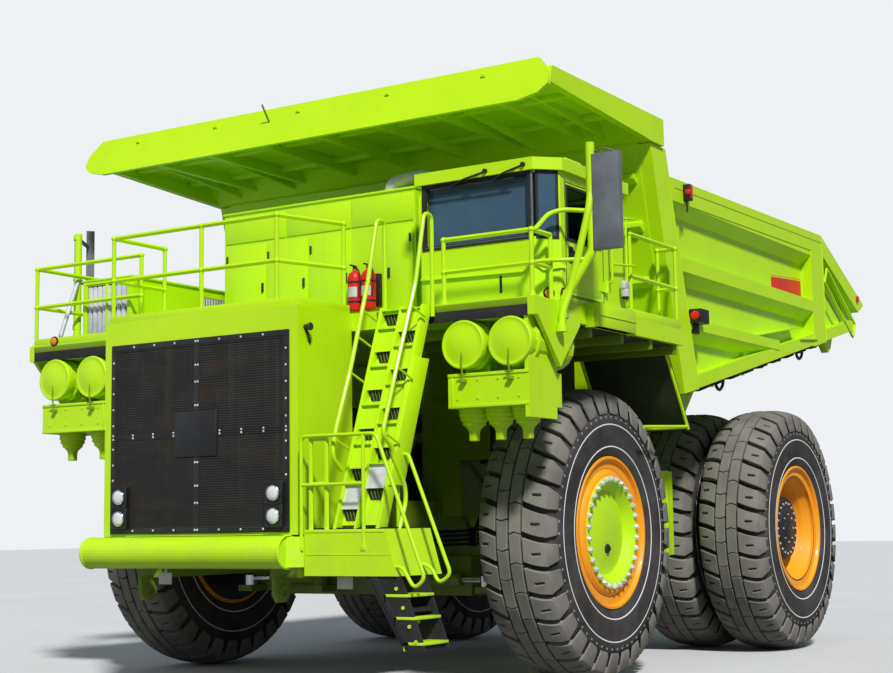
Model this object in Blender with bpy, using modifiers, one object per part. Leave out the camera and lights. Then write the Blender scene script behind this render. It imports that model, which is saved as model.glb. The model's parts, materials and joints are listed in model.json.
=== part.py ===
"""Rigid-frame mining dump truck with an electric drive, modelled as separate named pieces.

Metres, +Z up, the truck's front faces -Y and its left side is +X.
All places along the truck are measured from the front axle while modelling.
finish() then moves every piece so that the middle of the truck stands at the origin.
"""
import math

import bmesh
import bpy
from mathutils import Matrix, Vector

# Driving dimensions
TYRE_RADIUS = 1.735
TYRE_WIDTH = 0.95
WHEELBASE = 5.305
FRONT_TRACK_HALF = 2.905
REAR_TRACK_HALF = 2.744
DUAL_SPACING = 1.10
FRONT_AXLE_Y = -2.725
TRUCK_HALF_WIDTH = 3.79
DECK_TOP = 4.25
BODY_HALF_WIDTH = 3.55
CANOPY_TOP = 7.0

# Clearances and mesh fineness
SEAT_GAP = 0.0003
OVERRUN = 0.05
WHEEL_SIDES = 32
PIN_SIDES = 16
SMALL_SIDES = 12
TUBE_SIDES_LEVEL = 1
WELD_DISTANCE = 0.00001

SIDES = (("left", 1), ("right", -1))

COLLECTION_NAME = "mining_dump_truck"


def clear_scene():
    """Remove what a new file holds."""
    for old in list(bpy.data.objects):
        bpy.data.objects.remove(old, do_unlink=True)


clear_scene()
PARTS = bpy.data.collections.new(COLLECTION_NAME)
CUTTERS = bpy.data.collections.new("cutters")
bpy.context.scene.collection.children.link(PARTS)
bpy.context.scene.collection.children.link(CUTTERS)


# Paints and other finishes
# name: colour, roughness, metallic
LOOKS = {
    "lime_paint": ((0.48, 0.75, 0.01), 0.35, 0.0),
    "orange_paint": ((0.90, 0.33, 0.01), 0.4, 0.0),
    "tyre_rubber": ((0.045, 0.042, 0.04), 0.85, 0.0),
    "black_rubber": ((0.02, 0.02, 0.02), 0.7, 0.0),
    "dark_metal": ((0.05, 0.05, 0.055), 0.5, 0.6),
    "grille_black": ((0.015, 0.015, 0.015), 0.5, 0.2),
    "window_glass": ((0.10, 0.20, 0.32), 0.05, 0.0),
    "chrome_rod": ((0.8, 0.8, 0.8), 0.1, 1.0),
    "grey_plate": ((0.16, 0.17, 0.19), 0.4, 0.2),
    "red_paint": ((0.65, 0.02, 0.02), 0.35, 0.0),
    "louvre_white": ((0.75, 0.76, 0.78), 0.4, 0.2),
    "seat_fabric": ((0.05, 0.05, 0.06), 0.9, 0.0),
}
MATERIALS = {}


def material(look):
    """The shared material of one finish."""
    if look not in MATERIALS:
        colour, roughness, metallic = LOOKS[look]
        made = bpy.data.materials.new(look)
        made.use_nodes = True
        shader = made.node_tree.nodes["Principled BSDF"]
        shader.inputs["Base Color"].default_value = (*colour, 1.0)
        shader.inputs["Roughness"].default_value = roughness
        shader.inputs["Metallic"].default_value = metallic
        made.diffuse_color = (*colour, 1.0)
        MATERIALS[look] = made
    return MATERIALS[look]


def as_object(mesh):
    """Put a mesh in the scene as a helper piece."""
    piece = bpy.data.objects.new("piece", mesh)
    CUTTERS.objects.link(piece)
    piece.hide_render = True
    piece.display_type = "WIRE"
    return piece


def from_bmesh(shape):
    """Turn a bmesh into a helper piece."""
    mesh = bpy.data.meshes.new("piece")
    shape.to_mesh(mesh)
    shape.free()
    return as_object(mesh)


def evaluated_mesh(piece):
    """The mesh that a curve or a modifier gives."""
    depsgraph = bpy.context.evaluated_depsgraph_get()
    depsgraph.update()
    return bpy.data.meshes.new_from_object(piece.evaluated_get(depsgraph))


def settle(piece):
    """Apply a piece's modifiers, or change its curve to a closed mesh."""
    mesh = evaluated_mesh(piece)
    mesh.transform(piece.matrix_world)
    bpy.data.objects.remove(piece, do_unlink=True)
    shape = bmesh.new()
    shape.from_mesh(mesh)
    bmesh.ops.remove_doubles(shape, verts=shape.verts, dist=WELD_DISTANCE)
    bmesh.ops.recalc_face_normals(shape, faces=shape.faces)
    bpy.data.meshes.remove(mesh)
    return from_bmesh(shape)


def block(x, y, z):
    """A box, given by its low and high value on each axis."""
    low = Vector((x[0], y[0], z[0]))
    high = Vector((x[1], y[1], z[1]))
    shape = bmesh.new()
    bmesh.ops.create_cube(shape, size=1.0)
    bmesh.ops.scale(shape, vec=high - low, verts=shape.verts)
    bmesh.ops.translate(shape, vec=(low + high) / 2, verts=shape.verts)
    return from_bmesh(shape)


def bar(start, end, radius, sides=PIN_SIDES, end_radius=None):
    """A round bar or cone between two points."""
    start, end = Vector(start), Vector(end)
    run = end - start
    shape = bmesh.new()
    bmesh.ops.create_cone(
        shape, cap_ends=True, segments=sides, depth=run.length,
        radius1=radius, radius2=radius if end_radius is None else end_radius)
    turn = run.to_track_quat("Z", "Y").to_matrix().to_4x4()
    bmesh.ops.transform(
        shape, matrix=Matrix.Translation((start + end) / 2) @ turn, verts=shape.verts)
    return from_bmesh(shape)


# Where a flat outline's own two axes and its thickness point
PLATE_AXES = {
    "X": Matrix(((0, 0, 1), (1, 0, 0), (0, 1, 0))).to_4x4(),
    "Y": Matrix(((1, 0, 0), (0, 0, -1), (0, 1, 0))).to_4x4(),
    "Z": Matrix.Identity(4),
}


def plate(outline, axis, low, high):
    """A flat outline of (y, z), (x, z) or (x, y) points, thick along X, Y or Z."""
    curve = bpy.data.curves.new("outline", "CURVE")
    curve.dimensions = "2D"
    curve.fill_mode = "BOTH"
    curve.extrude = (high - low) / 2
    spline = curve.splines.new("POLY")
    spline.points.add(len(outline) - 1)
    for point, (across, up) in zip(spline.points, outline):
        point.co = (across, up, 0, 1)
    spline.use_cyclic_u = True
    piece = bpy.data.objects.new("outline", curve)
    CUTTERS.objects.link(piece)
    middle = (low + high) / 2
    shift = {"X": (middle, 0, 0), "Y": (0, middle, 0), "Z": (0, 0, middle)}[axis]
    piece.matrix_world = Matrix.Translation(shift) @ PLATE_AXES[axis]
    return settle(piece)


def tube(points, radius):
    """A bent tube through the given points."""
    curve = bpy.data.curves.new("tube", "CURVE")
    curve.dimensions = "3D"
    curve.bevel_depth = radius
    curve.bevel_resolution = TUBE_SIDES_LEVEL
    curve.use_fill_caps = True
    spline = curve.splines.new("POLY")
    spline.points.add(len(points) - 1)
    for point, place in zip(spline.points, points):
        point.co = (*place, 1)
    piece = bpy.data.objects.new("tube", curve)
    CUTTERS.objects.link(piece)
    return settle(piece)


TURN_AXES = {
    "X": Matrix.Rotation(math.pi / 2, 4, "Y"),
    "Z": Matrix.Identity(4),
}


def turned(profile, axis, centre, steps=WHEEL_SIDES):
    """A profile of (radius, place along the axis) points, turned about X or Z.

    The profile closes on itself as a ring, unless it starts and ends on the axis.
    """
    mesh = bpy.data.meshes.new("profile")
    places = [(radius, 0, along) for radius, along in profile]
    edges = [(i, i + 1) for i in range(len(places) - 1)]
    if profile[0][0] > 0:
        edges.append((len(places) - 1, 0))
    mesh.from_pydata(places, edges, [])
    piece = as_object(mesh)
    screw = piece.modifiers.new("turn", "SCREW")
    screw.steps = steps
    screw.render_steps = steps
    screw.use_merge_vertices = True
    screw.merge_threshold = 0.0001
    piece.matrix_world = Matrix.Translation(centre) @ TURN_AXES[axis]
    return settle(piece)


def boolean(piece, others, operation):
    """Join others to a piece, or cut them from it, and apply the result."""
    helpers = bpy.data.collections.new("helpers")
    CUTTERS.children.link(helpers)
    for other in others:
        CUTTERS.objects.unlink(other)
        helpers.objects.link(other)
    step = piece.modifiers.new("join_or_cut", "BOOLEAN")
    step.operation = operation
    step.solver = "EXACT"
    step.operand_type = "COLLECTION"
    step.collection = helpers
    result = settle(piece)
    for other in list(helpers.objects):
        bpy.data.objects.remove(other, do_unlink=True)
    bpy.data.collections.remove(helpers)
    return result


def fused(pieces):
    """One closed body made of several that overlap."""
    return boolean(pieces[0], pieces[1:], "UNION") if len(pieces) > 1 else pieces[0]


def chained(pieces):
    """One closed body made by joining pieces one after the other."""
    whole = pieces[0]
    for piece in pieces[1:]:
        whole = fused([whole, piece])
    return whole


def cut(piece, cutters):
    """A piece with other shapes taken out of it."""
    return boolean(piece, cutters, "DIFFERENCE")


def mirrored(piece):
    """A copy of a piece on the truck's other side."""
    mesh = piece.data.copy()
    mesh.transform(Matrix.Scale(-1, 4, (1, 0, 0)))
    mesh.flip_normals()
    return as_object(mesh)


def both(piece):
    """A piece and its copy on the truck's other side."""
    return [piece, mirrored(piece)]


def finish(name, piece, look, body=None):
    """Name a finished piece, give it its finish and hang it on its moving body."""
    mesh = piece.data
    pivot = Vector(body.location) if body else Vector((0, 0, 0))
    mesh.transform(Matrix.Translation(Vector((0, FRONT_AXLE_Y, 0)) - pivot))
    bpy.data.objects.remove(piece, do_unlink=True)
    mesh.name = name
    part = bpy.data.objects.new(name, mesh)
    PARTS.objects.link(part)
    part.parent = body
    mesh.materials.append(material(look))
    mesh.shade_smooth()
    mesh.set_sharp_from_angle(angle=math.radians(30))
    return part


def pivot(name, place):
    """An empty on a joint's axis, which its moving pieces hang on."""
    empty = bpy.data.objects.new(name, None)
    PARTS.objects.link(empty)
    world = Vector(place) + Vector((0, FRONT_AXLE_Y, 0))
    empty.location = world
    return empty


def swap(side, pair):
    """A low and high X on the left side, or their mirror on the right."""
    return pair if side > 0 else (-pair[1], -pair[0])


# Frame
RAIL_INNER = 0.80
RAIL_OUTER = 1.15
RAIL_FRONT = -3.30
RAIL_BOTTOM = 1.30
RAIL_NOSE_TOP = 1.77
RAIL_NOSE_REAR = -2.52
RAIL_STEP = 0.20
RAIL_FRONT_TOP = 2.15
RAIL_RISE_START = 1.40
REAR_RISE_START = 3.95
REAR_RISE_END = 4.60
RAIL_TAIL_BOTTOM = 2.75
PIVOT_Y = 6.70
PIVOT_Z = 3.30
RAIL_TOP_OFFSET = 0.25
BODY_REST_OFFSET = 0.30
BODY_REST_SLOPE = 0.12
BODY_REST_FRONT = 2.20
REST_PAD = (2.40, 3.00)
TAIL_ARC_POINTS = 6
KINGPIN_X = 1.85
TOWER_HALF_LENGTH = 0.30
TOWER_TOP = 3.40
POST_HALF_LENGTH = 0.20
STRUT_RADIUS = 0.27
STRUT_BOTTOM = 2.60
STRUT_TOP = 3.50
AXLE_BEAM_HALF_LENGTH = 0.22
AXLE_BEAM_BOTTOM = 0.98
AXLE_BEAM_TOP = 1.47
AXLE_BEAM_HALF_WIDTH = 1.50
CROSSMEMBER_DEPTH = 0.20
DECK_THICKNESS = 0.20
ENGINE_BOTTOM = 1.55
REAR_CROSS_Y = 3.40
REAR_CROSS_TOP = 2.30
TANK_CLEARANCE = 0.17
TANK_LENGTH = 0.98
TANK_REAR = WHEELBASE - TYRE_RADIUS - TANK_CLEARANCE
TANK_FRONT = TANK_REAR - TANK_LENGTH
TANK_ARM_INSET = 0.08
TANK_ARM_LENGTH = 0.30
TANK_ARM_BOTTOM = 1.60
TANK_ARM_TOP = 2.00
TANK_INNER = 1.75
HOIST_BASE_Y = 3.75
HOIST_BASE_Z = 1.50
HOIST_X = 1.47
HOIST_EYE_HALF = 0.11
HOIST_PIN_RADIUS = 0.09
STRUT_PAD_HALF = 0.18
REAR_STRUT_Y = 6.15
REAR_STRUT_X = 0.975
REAR_STRUT_TOP = 2.72
STEER_BASE_X = 0.70
STEER_BASE_Y = -0.39
ARM_BOTTOM = 1.02
ARM_TOP = 1.10
STEER_PLATE_HALF = 0.10


def body_rest_height(y, offset):
    """Height of the sloping line on which the dump body rests."""
    return PIVOT_Z + offset + BODY_REST_SLOPE * (y - PIVOT_Y)


def tail_arc(radius):
    """Points around the dump body's pivot, from over it to under it."""
    lean = math.atan(BODY_REST_SLOPE)
    turns = [math.pi / 2 + lean - math.pi * i / TAIL_ARC_POINTS for i in range(TAIL_ARC_POINTS + 1)]
    return [(PIVOT_Y + radius * math.cos(t), PIVOT_Z + radius * math.sin(t)) for t in turns]


def frame_rails():
    """Two box rails, their crossmembers, strut towers, pads and brackets."""
    rest = body_rest_height(BODY_REST_FRONT, RAIL_TOP_OFFSET)
    radius = RAIL_TOP_OFFSET * math.cos(math.atan(BODY_REST_SLOPE))
    outline = [
        (RAIL_FRONT, RAIL_BOTTOM),
        (RAIL_FRONT, RAIL_NOSE_TOP - SEAT_GAP),
        (RAIL_NOSE_REAR, RAIL_NOSE_TOP - SEAT_GAP),
        (RAIL_NOSE_REAR + RAIL_STEP, RAIL_FRONT_TOP),
        (RAIL_RISE_START, RAIL_FRONT_TOP),
        (BODY_REST_FRONT, rest),
        *tail_arc(radius),
        (REAR_RISE_END, RAIL_TAIL_BOTTOM),
        (REAR_RISE_START, RAIL_BOTTOM),
    ]
    rail = plate(outline, "X", RAIL_INNER, RAIL_OUTER)
    tower = block(
        (RAIL_INNER + OVERRUN, KINGPIN_X), (-TOWER_HALF_LENGTH, TOWER_HALF_LENGTH),
        (RAIL_FRONT_TOP - CROSSMEMBER_DEPTH, TOWER_TOP))
    tower = cut(tower, [block(
        (RAIL_OUTER + STRUT_RADIUS, KINGPIN_X + OVERRUN),
        (-TOWER_HALF_LENGTH - OVERRUN, TOWER_HALF_LENGTH + OVERRUN),
        (RAIL_BOTTOM, STRUT_BOTTOM + OVERRUN))])
    post = block(
        (RAIL_INNER + OVERRUN * 2, RAIL_OUTER + STRUT_RADIUS / 2), (-POST_HALF_LENGTH, POST_HALF_LENGTH),
        (TOWER_TOP - OVERRUN, DECK_TOP - DECK_THICKNESS - SEAT_GAP))
    strut = bar((KINGPIN_X, 0, STRUT_BOTTOM), (KINGPIN_X, 0, STRUT_TOP), STRUT_RADIUS, WHEEL_SIDES)
    beam = block(
        (-AXLE_BEAM_HALF_WIDTH, AXLE_BEAM_HALF_WIDTH),
        (-AXLE_BEAM_HALF_LENGTH, AXLE_BEAM_HALF_LENGTH), (AXLE_BEAM_BOTTOM, AXLE_BEAM_TOP))
    cross_end = RAIL_OUTER - OVERRUN
    engine_cross = [
        block((-cross_end, cross_end), (y - CROSSMEMBER_DEPTH, y),
              (RAIL_BOTTOM + OVERRUN, ENGINE_BOTTOM - SEAT_GAP))
        for y in (ENGINE_FRONT + TOWER_HALF_LENGTH, ENGINE_REAR)]
    rear_cross = block(
        (-cross_end, cross_end), (REAR_CROSS_Y - CROSSMEMBER_DEPTH, REAR_CROSS_Y),
        (RAIL_BOTTOM + OVERRUN, REAR_CROSS_TOP))
    tail_cross = bar(
        (-cross_end, PIVOT_Y, PIVOT_Z), (cross_end, PIVOT_Y, PIVOT_Z),
        RAIL_TOP_OFFSET - OVERRUN)
    tank_reach = TANK_INNER - SEAT_GAP
    tank_arm = TANK_FRONT + TANK_ARM_INSET
    tank_beam = block(
        (-tank_reach, tank_reach), (tank_arm, tank_arm + TANK_ARM_LENGTH), (TANK_ARM_BOTTOM, TANK_ARM_TOP))
    hoist_pin = bar(
        (cross_end, HOIST_BASE_Y, HOIST_BASE_Z),
        (HOIST_X - HOIST_EYE_HALF - SEAT_GAP, HOIST_BASE_Y, HOIST_BASE_Z), HOIST_PIN_RADIUS)
    strut_pad = block(
        (RAIL_INNER + OVERRUN / 2, RAIL_OUTER - OVERRUN / 2),
        (REAR_STRUT_Y - STRUT_PAD_HALF, REAR_STRUT_Y + STRUT_PAD_HALF),
        (REAR_STRUT_TOP, RAIL_TAIL_BOTTOM + STRUT_PAD_HALF * 2))
    rest_pad = plate([
        (REST_PAD[0], body_rest_height(REST_PAD[0], RAIL_TOP_OFFSET - OVERRUN)),
        (REST_PAD[0], body_rest_height(REST_PAD[0], BODY_REST_OFFSET - SEAT_GAP)),
        (REST_PAD[1], body_rest_height(REST_PAD[1], BODY_REST_OFFSET - SEAT_GAP)),
        (REST_PAD[1], body_rest_height(REST_PAD[1], RAIL_TOP_OFFSET - OVERRUN)),
    ], "X", RAIL_INNER + OVERRUN / 2, RAIL_OUTER - OVERRUN / 2)
    steer_plate = block(
        (STEER_BASE_X - STEER_PLATE_HALF, STEER_BASE_X + STEER_PLATE_HALF),
        (STEER_BASE_Y - STEER_PLATE_HALF, 0), (ARM_BOTTOM, ARM_TOP))
    sides = [rail, tower, post, strut, hoist_pin, strut_pad, rest_pad, steer_plate]
    pieces = [copy for piece in sides for copy in both(piece)]
    pieces += [beam, tank_beam, rear_cross, tail_cross] + engine_cross
    finish("frame_rails", chained(pieces), "lime_paint")


# Front bumper, radiator housing and grille
BUMPER_RADIUS = 0.175
BUMPER_Y = -3.79
BUMPER_Z = 1.59
BUMPER_REAR = -3.62
BUMPER_TUBE_HALF = 1.42
BUMPER_HALF = 1.565
BUMPER_BOX_INNER = 1.28
BUMPER_BOX_HALF_HEIGHT = 0.16
HOUSING_HALF_WIDTH = 1.42
HOUSING_FRONT = -3.595
HOUSING_REAR = -2.60
HOUSING_BOTTOM = RAIL_NOSE_TOP
HOUSING_TOP = DECK_TOP
GRILLE_HALF_WIDTH = 1.308
GRILLE_BOTTOM = 1.80
GRILLE_TOP = 3.985
GRILLE_DEPTH = 0.05
LAMP_BOX = 0.27
LAMP_SIDES = 16
LAMP_BOX_DEPTH = 0.16
LAMP_RADIUS = 0.10
LAMP_X = 1.16
LAMP_LOW_Z = 1.97
LAMP_PITCH = 0.26
LAMP_LIP = 0.03
STRIP_WIDTH = 0.11
STRIP_DEPTH = 0.02


def front_bumper():
    """A round tube across the nose with a wedge at each end and two brackets to the rails."""
    beam = bar(
        (-BUMPER_TUBE_HALF, BUMPER_Y, BUMPER_Z), (BUMPER_TUBE_HALF, BUMPER_Y, BUMPER_Z), BUMPER_RADIUS,
        WHEEL_SIDES)
    wedge = plate([
        (BUMPER_BOX_INNER, BUMPER_Y - BUMPER_RADIUS / 2), (BUMPER_TUBE_HALF + OVERRUN / 2, BUMPER_Y),
        (BUMPER_HALF, BUMPER_REAR - OVERRUN), (BUMPER_HALF, BUMPER_REAR), (BUMPER_BOX_INNER, BUMPER_REAR),
    ], "Z", BUMPER_Z - BUMPER_BOX_HALF_HEIGHT, BUMPER_Z + BUMPER_BOX_HALF_HEIGHT)
    bracket = block(
        (RAIL_INNER, RAIL_OUTER), (BUMPER_REAR - OVERRUN, RAIL_FRONT - SEAT_GAP),
        (BUMPER_Z - BUMPER_RADIUS + OVERRUN, BUMPER_Z + BUMPER_RADIUS - OVERRUN))
    finish("front_bumper", fused([beam] + both(wedge) + both(bracket)), "lime_paint")


def radiator_housing():
    """The upright green box that holds the radiator, with a recess for its grille."""
    box = block(
        (-HOUSING_HALF_WIDTH, HOUSING_HALF_WIDTH), (HOUSING_FRONT, HOUSING_REAR),
        (HOUSING_BOTTOM, HOUSING_TOP))
    recess = block(
        (-GRILLE_HALF_WIDTH - SEAT_GAP, GRILLE_HALF_WIDTH + SEAT_GAP),
        (HOUSING_FRONT - OVERRUN, HOUSING_FRONT + GRILLE_DEPTH + SEAT_GAP),
        (GRILLE_BOTTOM - SEAT_GAP, GRILLE_TOP + SEAT_GAP))
    finish("radiator_housing", fused([cut(box, [recess]), nose_rail()]), "lime_paint")
    grille = block(
        (-GRILLE_HALF_WIDTH, GRILLE_HALF_WIDTH),
        (HOUSING_FRONT, HOUSING_FRONT + GRILLE_DEPTH), (GRILLE_BOTTOM, GRILLE_TOP))
    finish("radiator_grille", fused([grille] + grille_strips() + both(fused(headlamps()))), "grille_black")


def grille_strips():
    """The flat strips that hold the grille's mesh: one all round, one upright and one across."""
    strip = (HOUSING_FRONT - STRIP_DEPTH, HOUSING_FRONT + STRIP_DEPTH)
    middle = (GRILLE_BOTTOM + GRILLE_TOP) / 2
    edge = GRILLE_HALF_WIDTH - OVERRUN / 10
    low, high = GRILLE_BOTTOM + OVERRUN / 10, GRILLE_TOP - OVERRUN / 10
    return [
        block((-edge, edge), strip, (low, low + STRIP_WIDTH)),
        block((-edge, edge), strip, (high - STRIP_WIDTH, high)),
        block((-edge, -edge + STRIP_WIDTH), strip, (low, high)),
        block((edge - STRIP_WIDTH, edge), strip, (low, high)),
        block((-STRIP_WIDTH / 2, STRIP_WIDTH / 2), strip, (low, high)),
        block(
            (-edge, edge), (strip[0] + STRIP_DEPTH / 4, strip[1]),
            (middle - STRIP_WIDTH / 4, middle + STRIP_WIDTH / 4)),
    ]


def headlamps():
    """A stack of two square lamp boxes with round lamps, in the grille's low left corner."""
    pieces = []
    for row in range(2):
        z = LAMP_LOW_Z + row * LAMP_PITCH
        pieces.append(block(
            (LAMP_X - LAMP_BOX / 2, LAMP_X + LAMP_BOX / 2),
            (HOUSING_FRONT - LAMP_BOX_DEPTH / 2, HOUSING_FRONT + GRILLE_DEPTH / 2),
            (z - LAMP_BOX / 2, z + LAMP_BOX / 2)))
        pieces.append(bar(
            (LAMP_X, HOUSING_FRONT - LAMP_BOX_DEPTH / 2 - LAMP_LIP, z),
            (LAMP_X, HOUSING_FRONT - LAMP_BOX_DEPTH / 4, z), LAMP_RADIUS, LAMP_SIDES))
    return pieces


# Engine
ENGINE_FRONT = -2.30
ENGINE_REAR = 0.90
ENGINE_HALF_WIDTH = 0.70
ENGINE_TOP = 3.20


def engine_block():
    """The diesel engine and its generator as one plain mass."""
    finish("engine_block", block(
        (-ENGINE_HALF_WIDTH, ENGINE_HALF_WIDTH), (ENGINE_FRONT, ENGINE_REAR),
        (ENGINE_BOTTOM, ENGINE_TOP)), "dark_metal")


# Decks
DECK_FRONT = -2.58
DECK_REAR = 1.25
CENTRE_DECK_REAR = 0.60
SKIRT_THICKNESS = 0.05
SKIRT_TIP = (-2.03, 3.53)
SKIRT_REAR = (-1.56, 4.02)
SKIRT_FRONT = (-2.56, 4.10)


def decks():
    """The centre deck behind the radiator and a wing on each side."""
    centre = block(
        (-HOUSING_HALF_WIDTH, HOUSING_HALF_WIDTH), (HOUSING_REAR + SEAT_GAP, CENTRE_DECK_REAR),
        (DECK_TOP - DECK_THICKNESS, DECK_TOP))
    finish("deck_centre", centre, "lime_paint")
    rails = {"left": [cab_front_rail(), cab_rear_rail()], "right": [right_wing_rail()]}
    for name, side in SIDES:
        wing = block(
            swap(side, (HOUSING_HALF_WIDTH + SEAT_GAP, TRUCK_HALF_WIDTH)),
            (DECK_FRONT, DECK_REAR), (DECK_TOP - DECK_THICKNESS, DECK_TOP))
        skirt = plate([
            (SKIRT_FRONT[0], DECK_TOP - OVERRUN),
            (SKIRT_REAR[0], DECK_TOP - OVERRUN),
            SKIRT_REAR, SKIRT_TIP, SKIRT_FRONT,
        ], "X", *swap(side, (TRUCK_HALF_WIDTH - SKIRT_THICKNESS, TRUCK_HALF_WIDTH)))
        finish("deck_" + name, fused([wing, skirt] + rails[name]), "lime_paint")


# Cab
CAB_LEFT = 3.75
CAB_RIGHT = 2.05
CAB_FRONT = -2.10
CAB_REAR = -0.30
CAB_WALL = 0.07
CAB_ROOF_BOTTOM = 5.74
CAB_ROOF_TOP = 5.86
CAB_CORNER = 0.22
WINDOW_BOTTOM = 4.98
WINDOW_TOP = 5.70
WINDOW_POST = 0.10
WINDOW_LIP = 0.035
DOOR_FRONT = -1.80
DOOR_POST = 0.06
DOOR_REAR = -0.85
DOOR_BOTTOM = 4.33
DOOR_TOP = 5.70
DOOR_GAP = 0.012
GLASS_THICKNESS = 0.02
DOOR_HINGE_GAP = 0.03
DOOR_HINGE_LENGTH = 0.14
SEAT_Y = -1.05
SEAT_HALF = 0.25
SEAT_BASE = 0.24
SEAT_CUSHION = 0.14
SEAT_BACK_TOP = 0.95
SEAT_REACH = 0.62
WHEEL_HEIGHT = 0.72
COLUMN_LEAN_SHARE = 0.75
COLUMN_RADIUS = 0.045
STEERING_WHEEL_RADIUS = 0.22


def cab_outline(inset):
    """The cab's plan with its cut front corner on the door's side, moved inwards."""
    corner = CAB_CORNER
    return [
        (CAB_RIGHT + inset, CAB_REAR - inset),
        (CAB_RIGHT + inset, CAB_FRONT + inset),
        (CAB_LEFT - corner - inset / 2, CAB_FRONT + inset),
        (CAB_LEFT - inset, CAB_FRONT + corner + inset / 2),
        (CAB_LEFT - inset, CAB_REAR - inset),
    ]


def cab():
    """A hollow cab with a window band, a lid-like roof, glass, a door and its furniture."""
    shell = plate(cab_outline(0), "Z", DECK_TOP + SEAT_GAP, CAB_ROOF_BOTTOM)
    room = plate(cab_outline(CAB_WALL), "Z", DECK_TOP + CAB_WALL, CAB_ROOF_BOTTOM + OVERRUN)
    front = block(
        (CAB_RIGHT + WINDOW_LIP, CAB_LEFT - WINDOW_LIP),
        (CAB_FRONT - OVERRUN, CAB_FRONT + CAB_CORNER - WINDOW_LIP), (WINDOW_BOTTOM, WINDOW_TOP))
    right = block(
        (CAB_RIGHT - OVERRUN, CAB_RIGHT + CAB_WALL + OVERRUN),
        (CAB_FRONT + CAB_CORNER, CAB_REAR - WINDOW_POST * 2),
        (WINDOW_BOTTOM, WINDOW_TOP))
    rear = block(
        (CAB_RIGHT + WINDOW_POST * 2, CAB_LEFT - WINDOW_POST * 2),
        (CAB_REAR - CAB_WALL - OVERRUN, CAB_REAR + OVERRUN), (WINDOW_BOTTOM, WINDOW_TOP))
    doorway = block(
        (CAB_LEFT - CAB_WALL - OVERRUN, CAB_LEFT + OVERRUN),
        (DOOR_FRONT, DOOR_REAR), (DOOR_BOTTOM, DOOR_TOP - OVERRUN))
    walls = cut(shell, [room, front, right, rear, doorway])
    roof = plate(cab_outline(-OVERRUN), "Z", CAB_ROOF_BOTTOM - CAB_WALL / 4, CAB_ROOF_TOP)
    finish("cab_shell", fused([walls, roof]), "lime_paint")
    inner = CAB_WALL + SEAT_GAP
    band = plate(cab_outline(inner), "Z", WINDOW_BOTTOM - OVERRUN / 2, WINDOW_TOP + GLASS_THICKNESS / 2)
    hollow = plate(
        cab_outline(inner + GLASS_THICKNESS), "Z", WINDOW_BOTTOM - OVERRUN, WINDOW_TOP + OVERRUN)
    door_side = block(
        (CAB_LEFT - CAB_CORNER, CAB_LEFT),
        (CAB_FRONT + CAB_CORNER, CAB_REAR), (WINDOW_BOTTOM - OVERRUN, WINDOW_TOP + OVERRUN))
    finish("cab_glass", cut(band, [hollow, door_side]), "window_glass")


def cab_door(body):
    """The cab's side door with its window cut, and its pane."""
    leaf = block(
        (CAB_LEFT - CAB_WALL, CAB_LEFT),
        (DOOR_FRONT + DOOR_GAP, DOOR_REAR - DOOR_GAP),
        (DOOR_BOTTOM + DOOR_GAP, DOOR_TOP - OVERRUN - DOOR_GAP))
    window = block(
        (CAB_LEFT - CAB_WALL - OVERRUN, CAB_LEFT + OVERRUN),
        (DOOR_FRONT + DOOR_POST, DOOR_REAR - WINDOW_POST),
        (WINDOW_BOTTOM, DOOR_TOP - OVERRUN - DOOR_POST))
    hinges = []
    for low in (DOOR_BOTTOM + DOOR_HINGE_LENGTH, DOOR_TOP - DOOR_HINGE_LENGTH * 3):
        high = low + DOOR_HINGE_LENGTH
        barrel_x = CAB_LEFT + DOOR_HINGE_GAP
        hinges.append(bar(
            (barrel_x, DOOR_REAR, low), (barrel_x, DOOR_REAR, high), DOOR_HINGE_GAP - SEAT_GAP, SMALL_SIDES))
        hinges.append(block(
            (CAB_LEFT - CAB_WALL / 2, CAB_LEFT + DOOR_HINGE_GAP / 2),
            (DOOR_REAR - DOOR_HINGE_LENGTH, DOOR_REAR - DOOR_GAP), (low + DOOR_GAP, high - DOOR_GAP)))
    finish("cab_door", fused([cut(leaf, [window])] + hinges), "lime_paint", body)


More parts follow.
